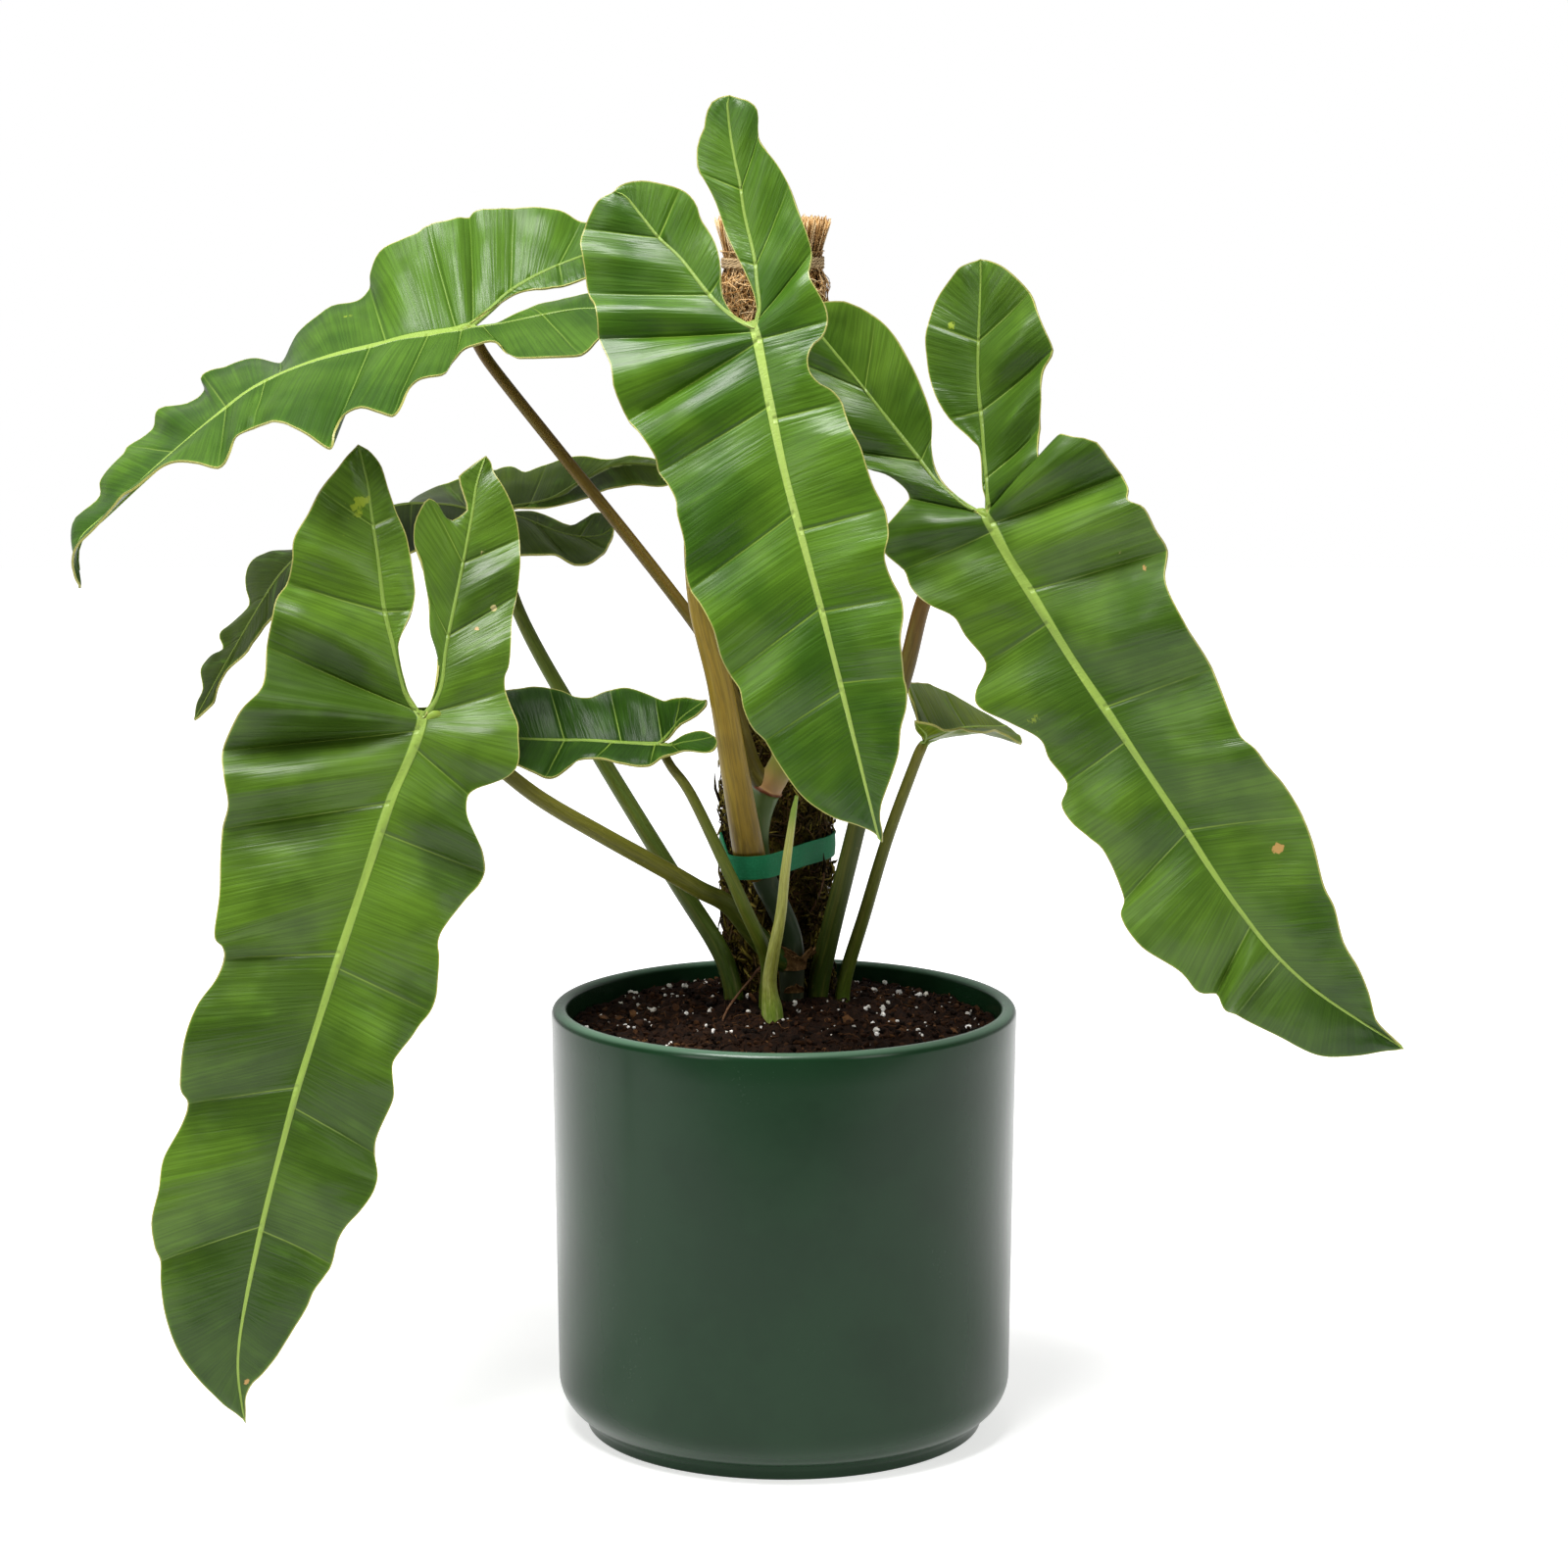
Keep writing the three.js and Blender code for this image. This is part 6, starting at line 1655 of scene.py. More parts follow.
@dataclass
class Pot:
    """The glazed pot, in millimetres."""

    height: float = 222
    rim: float = 120
    low: float = 117.5
    wall: float = 8
    foot: float = 103
    foot_height: float = 5.5
    floor: float = 10
    corner: float = 22
    sides: int = 144
    lip: float = 4
    wall_rings: tuple[float, ...] = (60, 100, 140, 180, 205)
    side_foot: float = 31

    def inside(self, z: float) -> float:
        """Give the inner radius at a height.

        Args:
            z: the height.

        Returns:
            The radius.
        """
        side = self.low + (self.rim - self.low) * z / self.height - self.wall
        up = z - self.floor
        corner = self.corner - 6
        if up >= corner:
            return side
        return side - corner + math.sqrt(max(corner ** 2 - (corner - up) ** 2, 0))

    def profile(self) -> list[tuple[float, float]]:
        """Draw the pot's profile from the middle of its foot to the middle of its floor.

        Returns:
            Radius and height of each ring.
        """
        rings = [(self.foot - 7, 1.6), (self.foot - 4, 0.0), (self.foot - 1, 0.0)]
        rings += corner_arc((self.foot - 1.4, 1.4), 1.4, -60, 0, 3)
        rings += [(self.foot, self.foot_height - 1.2), (self.foot + 0.6, self.foot_height - 0.3)]
        centre = (self.low - self.corner, self.foot_height + self.corner)
        rings += corner_arc(centre, self.corner, -66, 0, 10)
        for z in self.wall_rings:
            rise = (z - self.side_foot) / (self.height - self.side_foot)
            rings.append((self.low + (self.rim - self.low) * rise, z))
        rings += corner_arc((self.rim - self.lip, self.height - self.lip), self.lip, 0, 90, 7)
        inner = self.rim - self.wall
        rings += corner_arc((inner + 3, self.height - 3), 3, 90, 180, 5)
        for z in (205, 190, 120, self.floor + 16, self.floor + 8, self.floor + 3, self.floor):
            rings.append((self.inside(z), z))
        rings.append((8, self.floor))
        return rings

    def build(self) -> Piece:
        """Model and glaze the pot."""
        pot = turned("glazed_pot", self.profile(), self.sides)
        return Shop.finish(pot, GlazeFinish().coat("pot_glaze"), "pot_glaze", "pot", angle=40)


@dataclass
class Soil:
    """The potting mix: its crumbs, white grains, bark chips and root threads."""

    pot: Pot
    edge_z: float = 206.5
    mound: float = 15
    mound_y: float = 22
    spread: float = 62
    clear: float = 0.4
    cells: int = 150
    seed: int = 11
    posts: tuple[Row, ...] = ((-3.5, 52, 31), (4, 14, 8), (-5.5, -19, 8), (17, 20, 7), (-26, 23, 7),
                              (-9, -3, 6), (31, 23, 6))

    def top(self, x: Array, y: Array) -> Array:
        """Give the height of the soil's top.

        Args:
            x: places in millimetres.
            y: places in millimetres.

        Returns:
            Heights in millimetres.
        """
        far = (x ** 2 + (y - self.mound_y) ** 2) / (2 * self.spread ** 2)
        lumps = (1.1 * np.sin(x * 0.21 + 1.3) * np.cos(y * 0.19 - 0.4)
                 + 0.8 * np.sin(x * 0.37 - y * 0.29) + 0.5 * np.cos(x * 0.61 + y * 0.47))
        return self.edge_z + self.mound * np.exp(-far) + lumps

    def crumbled(self, x: Array, y: Array) -> Array:
        """Give the height of the top with its crumbs."""
        rough = grain(x / 11, y / 11, 0.5) * 1.6 + grain(x / 4.2, y / 4.2, 4) * 1.3
        return self.top(x, y) + rough + grain(x / 1.9, y / 1.9, 9) * 0.8

    def body(self) -> Piece:
        """Model the soil as one closed body with a crumbled top.

        Returns:
            The body.
        """
        line = np.linspace(-1, 1, self.cells + 1)
        u, v = np.meshgrid(line, line)
        wide = self.pot.inside(self.edge_z) - 0.3
        x = u * np.sqrt(1 - v ** 2 / 2) * wide
        y = v * np.sqrt(1 - u ** 2 / 2) * wide
        points = np.stack([x, y, self.crumbled(x, y)], axis=-1) * MM
        body = Shop.grid("potting_mix", points)
        Shop.edit(body, "DESELECT")
        bpy.ops.mesh.select_non_manifold()
        heights = [196, 120] + [self.pot.floor + up + self.clear for up in (16, 8, 3, 0)]
        radius = wide
        for z in heights:
            bpy.ops.mesh.extrude_region_move(TRANSFORM_OT_translate={"value": (0, 0, -0.001)})
            bpy.ops.transform.resize(value=(1, 1, 0), center_override=(0, 0, z * MM))
            inner = self.pot.inside(max(z - self.clear, self.pot.floor)) - 0.7
            bpy.ops.transform.resize(value=(inner / radius, inner / radius, 1),
                                     center_override=(0, 0, 0))
            radius = inner
        bpy.ops.mesh.edge_face_add()
        bpy.ops.object.mode_set(mode="OBJECT")
        Shop.weld(body)
        return body

    def free(self, x: Array, y: Array) -> Array:
        """Say which places are clear of the pole and the stalks."""
        return np.all([np.hypot(x - px, y - py) > radius for px, py, radius in self.posts], axis=0)

    def spread_over(self, count: int, source: np.random.Generator, edge: float = 3.0
                    ) -> tuple[Array, Array]:
        """Draw places on the soil that are clear of the stalks.

        Args:
            count: how many are drawn.
            source: the seeded numbers.
            edge: how far they stay from the pot's wall.

        Returns:
            Places x and y in millimetres.
        """
        radius = (self.pot.inside(self.edge_z) - edge) * np.sqrt(source.random(count))
        angle = source.random(count) * TURN
        x, y = radius * np.cos(angle), radius * np.sin(angle)
        clear = self.free(x, y)
        return x[clear], y[clear]

    def lump(self, name: str, level: int, seed: int, rough: float) -> Piece:
        """Model one small lump by hand: a ball with its corners pushed about.

        Args:
            name: the lump's name.
            level: how fine the ball is.
            seed: what it is pushed by.
            rough: how far.

        Returns:
            The lump, one unit across.
        """
        Shop.clear()
        bpy.ops.mesh.primitive_ico_sphere_add(subdivisions=level, radius=0.5)
        lump = Shop.take(name)
        Shop.edit(lump)
        bpy.ops.transform.vertex_random(offset=rough, uniform=0.3, normal=0.6, seed=seed)
        bpy.ops.object.mode_set(mode="OBJECT")
        return lump

    def bits(self, name: str, count: int, low: float, high: float, flat: float, level: int,
             sink: float, seed: int) -> Piece:
        """Scatter lumps over the soil.

        Args:
            name: the piece's name.
            count: how many are tried.
            low: the smallest width in millimetres.
            high: the largest.
            flat: how thick they are against their width.
            level: how fine each one is.
            sink: how deep they sit, as a share of their width.
            seed: what places them.

        Returns:
            The piece.
        """
        source = np.random.default_rng(seed)
        x, y = self.spread_over(count, source)
        size = low + (high - low) * source.random(len(x)) ** 2.2
        z = self.crumbled(x, y) + size * (0.5 * flat - sink)
        shape = np.stack([size, size * (0.7 + 0.3 * source.random(len(x))),
                          size * flat * (0.8 + 0.4 * source.random(len(x)))], axis=1)
        turns = source.normal(0, 0.5, (len(x), 3))
        turns[:, 2] = source.random(len(x)) * TURN
        return scatter(name, self.lump(name + "_model", level, seed, 0.14),
                       np.stack([x, y, z], axis=1) * MM, shape * MM, turns, source.random(len(x)))

    def threads(self) -> Piece:
        """Lay thin root threads and fibres over the soil.

        Returns:
            The piece.
        """
        source = np.random.default_rng(self.seed + 5)
        x, y = self.spread_over(420, source, 8)
        bends = 7
        heading = source.random(len(x)) * TURN
        length = 5 + 16 * source.random(len(x)) ** 2
        curl = source.normal(0, 0.25, len(x))
        path = np.zeros((len(x), bends, 3))
        px, py = x.copy(), y.copy()
        for k in range(bends):
            arch = 0.7 + 1.6 * math.sin(math.pi * k / (bends - 1))
            path[:, k] = np.stack([px, py, self.top(px, py) + arch * source.random(len(x))], axis=1)
            px = px + np.cos(heading + curl * k) * length / bends
            py = py + np.sin(heading + curl * k) * length / bends
        inside = np.hypot(path[..., 0], path[..., 1]).max(1) < self.pot.inside(self.edge_z) - 2
        path = path[inside]
        return lay_fibres("root_threads", path, 0.35, 0.5, source)

    def build(self) -> list[Piece]:
        """Model and dress the soil and what lies on it.

        Returns:
            The pieces.
        """
        earth = LooseFinish(((0.0, "0A0603"), (0.45, "1C1009"), (0.75, "352012"), (1.0, "573A22")),
                            "0F0905", 0.015, 0.5, 0.9)
        white = LooseFinish(((0.0, "C8C2B6"), (0.5, "E6E3DC"), (1.0, "F6F4F0")), "B4A894", 0.002, 0.3, 0.9)
        chip = LooseFinish(((0.0, "21130A"), (0.6, "452B17"), (1.0, "6E4C2C")), "2A190D", 0.004, 0.5, 0.8)
        body = Shop.finish(self.body(), earth.matter("soil_body", toned=False), "soil", "soil", angle=60)
        crumbs = self.bits("soil_crumbs", 2600, 1.2, 5.0, 0.75, 1, 0.2, self.seed)
        grains = self.bits("white_grains", 300, 0.7, 3.6, 0.9, 2, 0.15, self.seed + 1)
        chips = self.bits("bark_chips", 240, 2.5, 8.0, 0.35, 1, 0.1, self.seed + 2)
        return [body, Shop.finish(crumbs, earth.matter("soil_crumb"), "soil"),
                Shop.finish(grains, white.matter("white_grain"), "soil"),
                Shop.finish(chips, chip.matter("bark_chip"), "soil"),
                Shop.finish(self.threads(), chip.matter("root_thread"), "soil")]


@dataclass
class Pole:
    """The fibre pole: a mossy sleeve below, a coir sleeve above, with a flat brush-like top."""

    x: float = -3.5
    y: float = 52
    radius: float = 28.2
    rag: float = 0.9
    foot_z: float = 16
    join_z: float = 430
    top_z: float = 621
    twine_z: float = 600
    twine_seat: float = 9
    slim: float = 1.6
    lean: float = -2.6
    pinch: float = 1.6
    loop: float = 25.5
    tie_z: float = 297
    tie_radius: float = 28.4
    soil_z: float = 205
    brush_z: float = 603
    brush_radius: float = 24.4
    seed: int = 23

    def wide(self, angle: Array, z: Array) -> Array:
        """Give the pole's radius.

        Args:
            angle: angles round the pole.
            z: heights in millimetres.

        Returns:
            Radii in millimetres.
        """
        rag = np.sin(angle * 5 + z * 0.31) * 0.5 + np.sin(angle * 3 - z * 0.17 + 2) * 0.5
        fade = np.minimum(1, np.abs(z - self.tie_z) / 20)
        away = np.maximum(0, np.abs(z - self.twine_z) - self.twine_seat / 2)
        pinch = self.pinch * np.maximum(0, 1 - away / 5)
        slim = self.slim * smooth_step(self.join_z, self.join_z + 130, z)
        return self.radius - slim + rag * self.rag * fade * np.minimum(1, away / 8) - pinch

    def mid(self, z: Any) -> Any:
        """Give the place x of the pole's middle, which leans a little above the join."""
        return self.x + self.lean * np.clip((z - self.join_z) / (self.top_z - self.join_z), 0, 1)

    def at(self, out: Array, angle: Array, z: Any, base: Any = None) -> Array:
        """Give places round the pole."""
        middle = self.mid(z if base is None else base)
        return np.stack([middle + out * np.cos(angle), self.y + out * np.sin(angle), z], axis=-1)

    def calm(self, z: Array, tie: float, twine: float) -> Array:
        """Give how freely fibres stand at a height: 0 under the tie and the twine, 1 away from them."""
        return np.minimum(1, np.abs(z - self.tie_z) / tie) * np.minimum(1, np.abs(z - self.twine_z) / twine)

    def sleeve(self, name: str, low: float, high: float, sink: float) -> Piece:
        """Model the dense inner body of a sleeve.

        Args:
            name: the piece's name.
            low: its lowest height.
            high: its highest.
            sink: how far its skin lies under the fibres.

        Returns:
            The closed body.
        """
        rows = int((high - low) / 3)
        z, angle = np.meshgrid(np.linspace(low, high, rows + 1), np.linspace(0, TURN, 73),
                               indexing="ij")
        angle[:, -1] = 0
        ax, ay = np.cos(angle) * 28, np.sin(angle) * 28
        lumps = grain(ax / 7, ay / 7, z / 7) * 0.8 + grain(ax / 2.4, ay / 2.4, z / 2.4) * 0.5
        skin = self.at(self.wide(angle, z) - sink + lumps * self.calm(z, 14, 12), angle, z)
        first, last = skin[:1].copy(), skin[-1:].copy()
        for cap in (first, last):
            cap[..., 0], cap[..., 1] = self.mid(cap[0, 0, 2]), self.y
        piece = Shop.grid(name, np.concatenate([first, skin, last]) * MM)
        Shop.weld(piece)
        return piece

    def tufts(self) -> Piece:
        """Grow short curled moss leaves out of the lower sleeve.

        Returns:
            The piece.
        """
        source = np.random.default_rng(self.seed)
        count = 7000
        z = self.soil_z + (self.join_z - self.soil_z + 1) * source.random(count)
        z = z + np.abs(source.normal(0, 5, count))
        angle = source.random(count) * TURN
        clump = grain(np.cos(angle) * 3.2, np.sin(angle) * 3.2, z / 9)
        length = 2.6 + (6.5 + 9 * clump) * source.random(count) ** 1.6
        near_tie = np.abs(z - self.tie_z) < 9
        length = np.where(near_tie, 1.2, length)
        bends = 4
        path = np.zeros((count, bends, 3))
        lean = source.normal(0, 0.8, count)
        rise = source.normal(0.1, 0.9, count)
        for k in range(bends):
            share = k / (bends - 1)
            out = self.wide(angle, z) - 1.8 + length * share * 0.85 * np.cos(share * 0.9)
            out = np.where(near_tie, np.minimum(out, self.tie_radius), out)
            turn = angle + lean * length * share / 30
            path[:, k] = self.at(out, turn, z + rise * length * share * (0.5 + 0.5 * share), z)
        return lay_fibres("moss_tufts", path, 0.8, 1.3, source, taper=0.15)

    def fibres(self, name: str, count: int, low: float, high: float, seed: int,
               steep: float) -> Piece:
        """Mat long fibres round the pole.

        Args:
            name: the piece's name.
            count: how many fibres.
            low: the lowest height.
            high: the highest.
            seed: what places them.
            steep: how strongly they run up and down.

        Returns:
            The piece.
        """
        source = np.random.default_rng(seed)
        z = low + (high - low) * source.random(count)
        angle = source.random(count) * TURN
        bends = 7
        heading = source.normal(math.pi / 2, steep, count) + math.pi * (source.random(count) < 0.5)
        length = 14 + 26 * source.random(count)
        curl = source.normal(0, 0.42, count)
        lift = 0.3 + 2.2 * source.random(count) ** 2
        loose = source.random(count) < 0.12
        path = np.zeros((count, bends, 3))
        turn, high_z = angle.copy(), z.copy()
        for k in range(bends):
            share = k / (bends - 1)
            inside = np.clip(high_z, low, high)
            calm = self.calm(inside, 12, 9)
            out = self.wide(turn, inside) - 0.6 + lift * math.sin(math.pi * share) * calm
            out = out + np.where(loose, 3.2 * share ** 2, 0) * calm
            path[:, k] = self.at(out, turn, inside)
            step = length / (bends - 1)
            turn = turn + np.cos(heading + curl * k) * step / self.radius
            high_z = high_z + np.sin(heading + curl * k) * step
        return lay_fibres(name, path, 0.45, 0.35, source, taper=0.5)

    def brush(self) -> Piece:
        """Stand the cut fibres of the pole's top on end.

        Returns:
            The piece.
        """
        source = np.random.default_rng(self.seed + 3)
        count = 3000
        share = np.sqrt(source.random(count))
        angle = source.random(count) * TURN
        bends = 5
        top = self.top_z + 0.8 + source.normal(0, 1.3, count) - 2.0 * (1 - share)
        path = np.zeros((count, bends, 3))
        lean = source.normal(0, 2.2, (count, 2))
        for k in range(bends):
            up = k / (bends - 1)
            out = share * (self.brush_radius + 3.0 * up ** 0.7)
            path[:, k] = self.at(out, angle, self.brush_z + (top - self.brush_z) * up, self.brush_z + 1)
            path[:, k, :2] += lean * up
        return lay_fibres("coir_brush", path, 0.45, 0.35, source, taper=0.7)

    def build(self) -> list[Piece]:
        """Model and dress both sleeves.

        Returns:
            The pieces.
        """
        moss = LooseFinish(((0.0, "0E0A03"), (0.35, "33290B"), (0.7, "675A1C"), (1.0, "B0A04E")),
                           "20150A", 0.02, 0.45, 0.85)
        coir = LooseFinish(((0.0, "4A2C12"), (0.3, "A27640"), (0.65, "DAB27A"), (1.0, "F8E2B8")),
                           "966A34", 0.02, 0.2, 0.5)
        dry = LooseFinish(((0.0, "2E1C0E"), (0.7, "5E4322"), (1.0, "A58A58")), "3A2614", 0.02, 0.5, 0.7)
        # The coir core's colours are the coir's own brown, darkened as painted shade for the gaps between
        # the fibres.
        core_with_shade = LooseFinish(((0.0, "2A1608"), (0.5, "4E2E12"), (1.0, "7A5028")), "3A200A", 0.01, 0.5, 0.8)
        mossy = self.sleeve("moss_sleeve", self.foot_z, self.join_z, 1.4)
        pieces = [Shop.finish(mossy, moss.matter("moss_bed", toned=False), "moss", "pole_moss", angle=60)]
        pieces.append(Shop.finish(self.tufts(), moss.matter("moss_tuft"), "moss"))
        strands = self.fibres("moss_strands", 900, 212, self.join_z, self.seed + 1, 0.8)
        pieces.append(Shop.finish(strands, dry.matter("moss_strand"), "moss"))
        core = self.sleeve("coir_sleeve", self.join_z + 0.35, self.top_z - 9, 1.5)
        pieces.append(Shop.finish(core, core_with_shade.matter("coir_core_with_shade", toned=False), "coir", "pole_coir", angle=60))
        mat = self.fibres("coir_fibres", 4600, self.join_z - 5, 606, self.seed + 2, 1.3)
        pieces.append(Shop.finish(mat, coir.matter("coir_fibre"), "coir"))
        pieces.append(Shop.finish(self.brush(), coir.matter("coir_end"), "coir"))
        Shop.coat(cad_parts["pole_stake"], WoodFinish().timber("stake_wood"))
        return pieces


@dataclass
class Twine:
    """Three turns of jute round the top of the pole."""

    pole: Pole
    diameter: float = 2.4
    turns: int = 3
    plies: int = 3

    def build(self) -> Piece:
        """Model and dress the twine as laid plies.

        Returns:
            The finished twine.
        """
        steps = self.turns * 90
        run = np.linspace(0, 1, steps + 1)
        turn = run * self.turns * TURN
        ring = self.pole.loop
        low = self.pole.twine_z - (self.turns - 1) * self.diameter / 2
        z = low + run * (self.turns - 1) * self.diameter
        sway = grain(turn * 0.9, 0, 2) * 0.5
        out = np.stack([np.cos(turn), np.sin(turn), 0 * turn], axis=1)
        centre = out * (ring + sway * 0.4)[:, None]
        centre[:, 2] = z + sway
        centre += np.array([self.pole.mid(self.pole.twine_z), self.pole.y, 0])
        plies = []
        for k in range(self.plies):
            lay = turn * ring / 2.2 + k * TURN / self.plies
            offset = self.diameter * 0.27
            path = centre + out * (np.cos(lay) * offset)[:, None]
            path[:, 2] += np.sin(lay) * offset
            radius = np.full(len(path), self.diameter * 0.24)
            plies.append(TubePath(np.column_stack([path, radius]), sides=7, pitch=1.3).build("ply"))
        twine = Shop.join("jute_twine", plies)
        jute = LooseFinish(((0.0, "846A48"), (0.5, "B49A72"), (1.0, "DEC8A0")),
                           "967C56", 0.006, 0.4, 0.85, 0.1)
        return Shop.finish(twine, jute.matter("jute", toned=False), "twine", "twine", angle=60)


@dataclass
class Tie:
    """The green band round the pole, the stem and the big stalk."""

    pole: Pole
    width: float = 12
    thickness: float = 1.4
    circles: tuple[Row, ...] = ((-3.5, 52, 29.0), (-13.3, 6.8, 8.4), (-17.4, -10.8, 10.7))
    sides: int = 96
    steps: int = 180

    def loop(self, extra: float) -> Array:
        """Draw the taut line round what the band holds.

        Args:
            extra: how far outside it lies.

        Returns:
            The line's points, evenly spaced and closed.
        """
        points = []
        for x, y, radius in self.circles:
            for k in range(self.sides):
                angle = TURN * k / self.sides
                points.append((x + (radius + extra) * math.cos(angle),
                               y + (radius + extra) * math.sin(angle)))
        points.sort()
        chain: list[tuple[float, float]] = []
        for line in (points, points[::-1]):
            half: list[tuple[float, float]] = []
            for p in line:
                while len(half) > 1 and self.turn(half[-2], half[-1], p) <= 1e-9:
                    half.pop()
                half.append(p)
            chain += half[:-1]
        closed = np.array(chain + chain[:1])
        gone = distances(closed)
        even = np.linspace(0, gone[-1], self.steps + 1)
        return np.stack([np.interp(even, gone, closed[:, k]) for k in range(2)], axis=1)

    @staticmethod
    def turn(o: tuple[float, float], a: tuple[float, float], b: tuple[float, float]) -> float:
        """Say whether three points turn left (above 0) or right."""
        return (a[0] - o[0]) * (b[1] - o[1]) - (a[1] - o[1]) * (b[0] - o[0])

    def build(self) -> Piece:
        """Model and dress the band.

        Returns:
            The finished band.
        """
        line = self.loop(self.thickness / 2 + 0.05)
        length = np.linalg.norm(np.diff(line, axis=0), axis=1).sum()
        along = np.linspace(0, length, len(line))
        up = np.linspace(-0.5, 0.5, 9)
        wave = np.interp(along, np.linspace(0, length, 25),
                         np.append(grain(np.arange(24) * 1.7, 0, 5), 0.0))
        wave[-1] = wave[0]
        z = self.pole.tie_z + up[None, :] * self.width + wave[:, None] * 0.5
        dx, dy = np.gradient(line[:, 0]), np.gradient(line[:, 1])
        size = np.hypot(dx, dy)
        cup = 0.35 * (1 - (2 * up) ** 2)
        x = line[:, :1] + (dy / size)[:, None] * cup[None, :]
        y = line[:, 1:] - (dx / size)[:, None] * cup[None, :]
        points = np.stack([x, y, z], axis=-1)
        points[-1] = points[0]
        chart = pair(along[:, None], up * self.width)
        band = Shop.grid("soft_tie", points * MM, {"band": chart})
        Shop.weld(band)
        Shop.modify(band, "SOLIDIFY", thickness=self.thickness * 0.75 * MM, offset=0.0)
        Shop.modify(band, "BEVEL", width=0.25 * MM, segments=2, limit_method="ANGLE")
        return Shop.finish(band, WeaveFinish().cloth("tie_weave"), "tie_fabric", "tie", angle=50)


@dataclass
class StemGroup:
    """The main stem with its joints, the papery scales, the dry root and the rolled new leaf."""

    joints: tuple[float, ...] = (0.1875, 0.628)

    def swell(self, share: Array, turn: Array) -> Array:
        """Thicken the stem at its joints.

        Args:
            share: share of the stem's length.
            turn: angle round it.

        Returns:
            How much wider it is.
        """
        wide = 1 + 0.02 * np.sin(turn * 3 + share * 20)
        for joint in self.joints:
            ragged = share - joint + 0.0012 * np.sin(turn * 5) + 0.0008 * np.sin(turn * 13 + 1)
            wide = wide + 0.13 * np.exp(-(ragged / 0.0058) ** 2) * (1 + 0.3 * np.sin(turn * 9))
        return wide

    def skin(self) -> Material:
        """Make the stem's skin: dark below, pinkish above, reddish at the joints.

        Returns:
            The material.
        """
        b = Bench("stem_skin")
        streak = b.noise(0.003, 3.0, vector=b.add("ShaderNodeMapping", None,
                                                  {"Vector": b.place, "Scale": (1.0, 1.0, 0.15)}))
        cloud = b.noise(0.012, 3.0)
        share, _ = b.chart("along")
        wave = share + (cloud - 0.5) * 0.006
        colour = b.mix(wave.ramp(0.19, 0.25), "2A3020", "24321C")
        colour = b.mix(wave.ramp(0.36, 0.5), colour, "485A2C")
        colour = b.mix(wave.ramp(0.626, 0.632), colour, "96744A")
        colour = b.mix(wave.ramp(0.64, 0.72), colour, "767A32")
        for joint in self.joints:
            ring = wave - joint
            near = (ring * ring).ramp(0.0, 4.5e-5, 0.9, 0.0)
            colour = b.mix(near, colour, "5A2410")
        colour = b.mix(streak.ramp(0.5, 0.75, 0.0, 0.25), colour, "6A6A48")
        return b.close({"Base Color": colour, "Roughness": 0.45 + (streak - 0.5) * 0.2,
                        "Specular IOR Level": 0.2, "Normal": b.bump(streak + cloud, 0.0005, 0.7)})

    def scale(self, name: str, centre: tuple[float, float, float], wide: float, tall: float,
              face: float, tilt: float) -> Piece:
        """Model one papery scale: a curled, torn shell.

        Args:
            name: the piece's name.
            centre: the middle of the stem there, in millimetres.
            wide: how far it reaches round, in degrees.
            tall: how high it is.
            face: the angle that it looks to, in degrees.
            tilt: how far its top leans out, in millimetres.

        Returns:
            The scale.
        """
        rows, columns = 9, 19
        up = np.linspace(0, 1, rows)[:, None]
        turn = np.linspace(-1, 1, columns)[None, :]
        angle = np.radians(face + turn * wide / 2 * (1 - 0.35 * up))
        torn = grain(turn * 3 + face, 0, tall) * 0.3 + 0.8
        high = tall * up * torn * (1 - 0.5 * turn ** 2)
        radius = 7.4 + tilt * up ** 1.5 + 0.5 * grain(turn * 2 + up, up * 2, face)
        points = np.stack([centre[0] + radius * np.cos(angle), centre[1] + radius * np.sin(angle),
                           centre[2] + high + 0 * angle], axis=-1)
        piece = Shop.grid(name, points * MM)
        Shop.weld(piece)
        Shop.modify(piece, "SOLIDIFY", thickness=0.35 * MM, offset=0.0)
        return piece

    def build(self) -> list[Piece]:
        """Model and dress the stem and what grows on it.

        Returns:
            The pieces.
        """
        stem = TubePath(STEM, sides=36, pitch=0.9, swell=self.swell).build("main_stem")
        Shop.finish(stem, self.skin(), "stem", "stem", angle=60)
        paper = LooseFinish(((0.0, "2C1E0E"), (0.5, "6A4E2C"), (1.0, "AA8C60")),
                            "40290F", 0.006, 0.5, 0.6)
        husk = Shop.join("papery_scales", [self.scale("scale", *row) for row in SCALES])
        Shop.finish(husk, paper.matter("scale_paper", toned=False), "stem", angle=60)
        tubes = [TubePath(line, sides=8, pitch=2.0).build("root") for line in ROOTS]
        roots = Shop.join("dry_roots", tubes)
        bark = LooseFinish(((0.0, "2E1E14"), (0.5, "6A4A34"), (1.0, "A08260")),
                           "3E281A", 0.01, 0.4, 0.7)
        Shop.finish(roots, bark.matter("root_bark", toned=False), "stem", angle=60)
        shoot = TubePath(SHOOT, sides=24, pitch=2.0,
                         swell=lambda share, turn: 1 + 0.10 * np.sin(turn - 1.2) ** 3).build("new_shoot")
        skin = StalkFinish("5A8420", "989C42", "B0B05C", "C6C67E", 0.4).skin("shoot_skin")
        Shop.finish(shoot, skin, "shoot", "shoot", angle=60)
        return [stem, husk, roots, shoot]


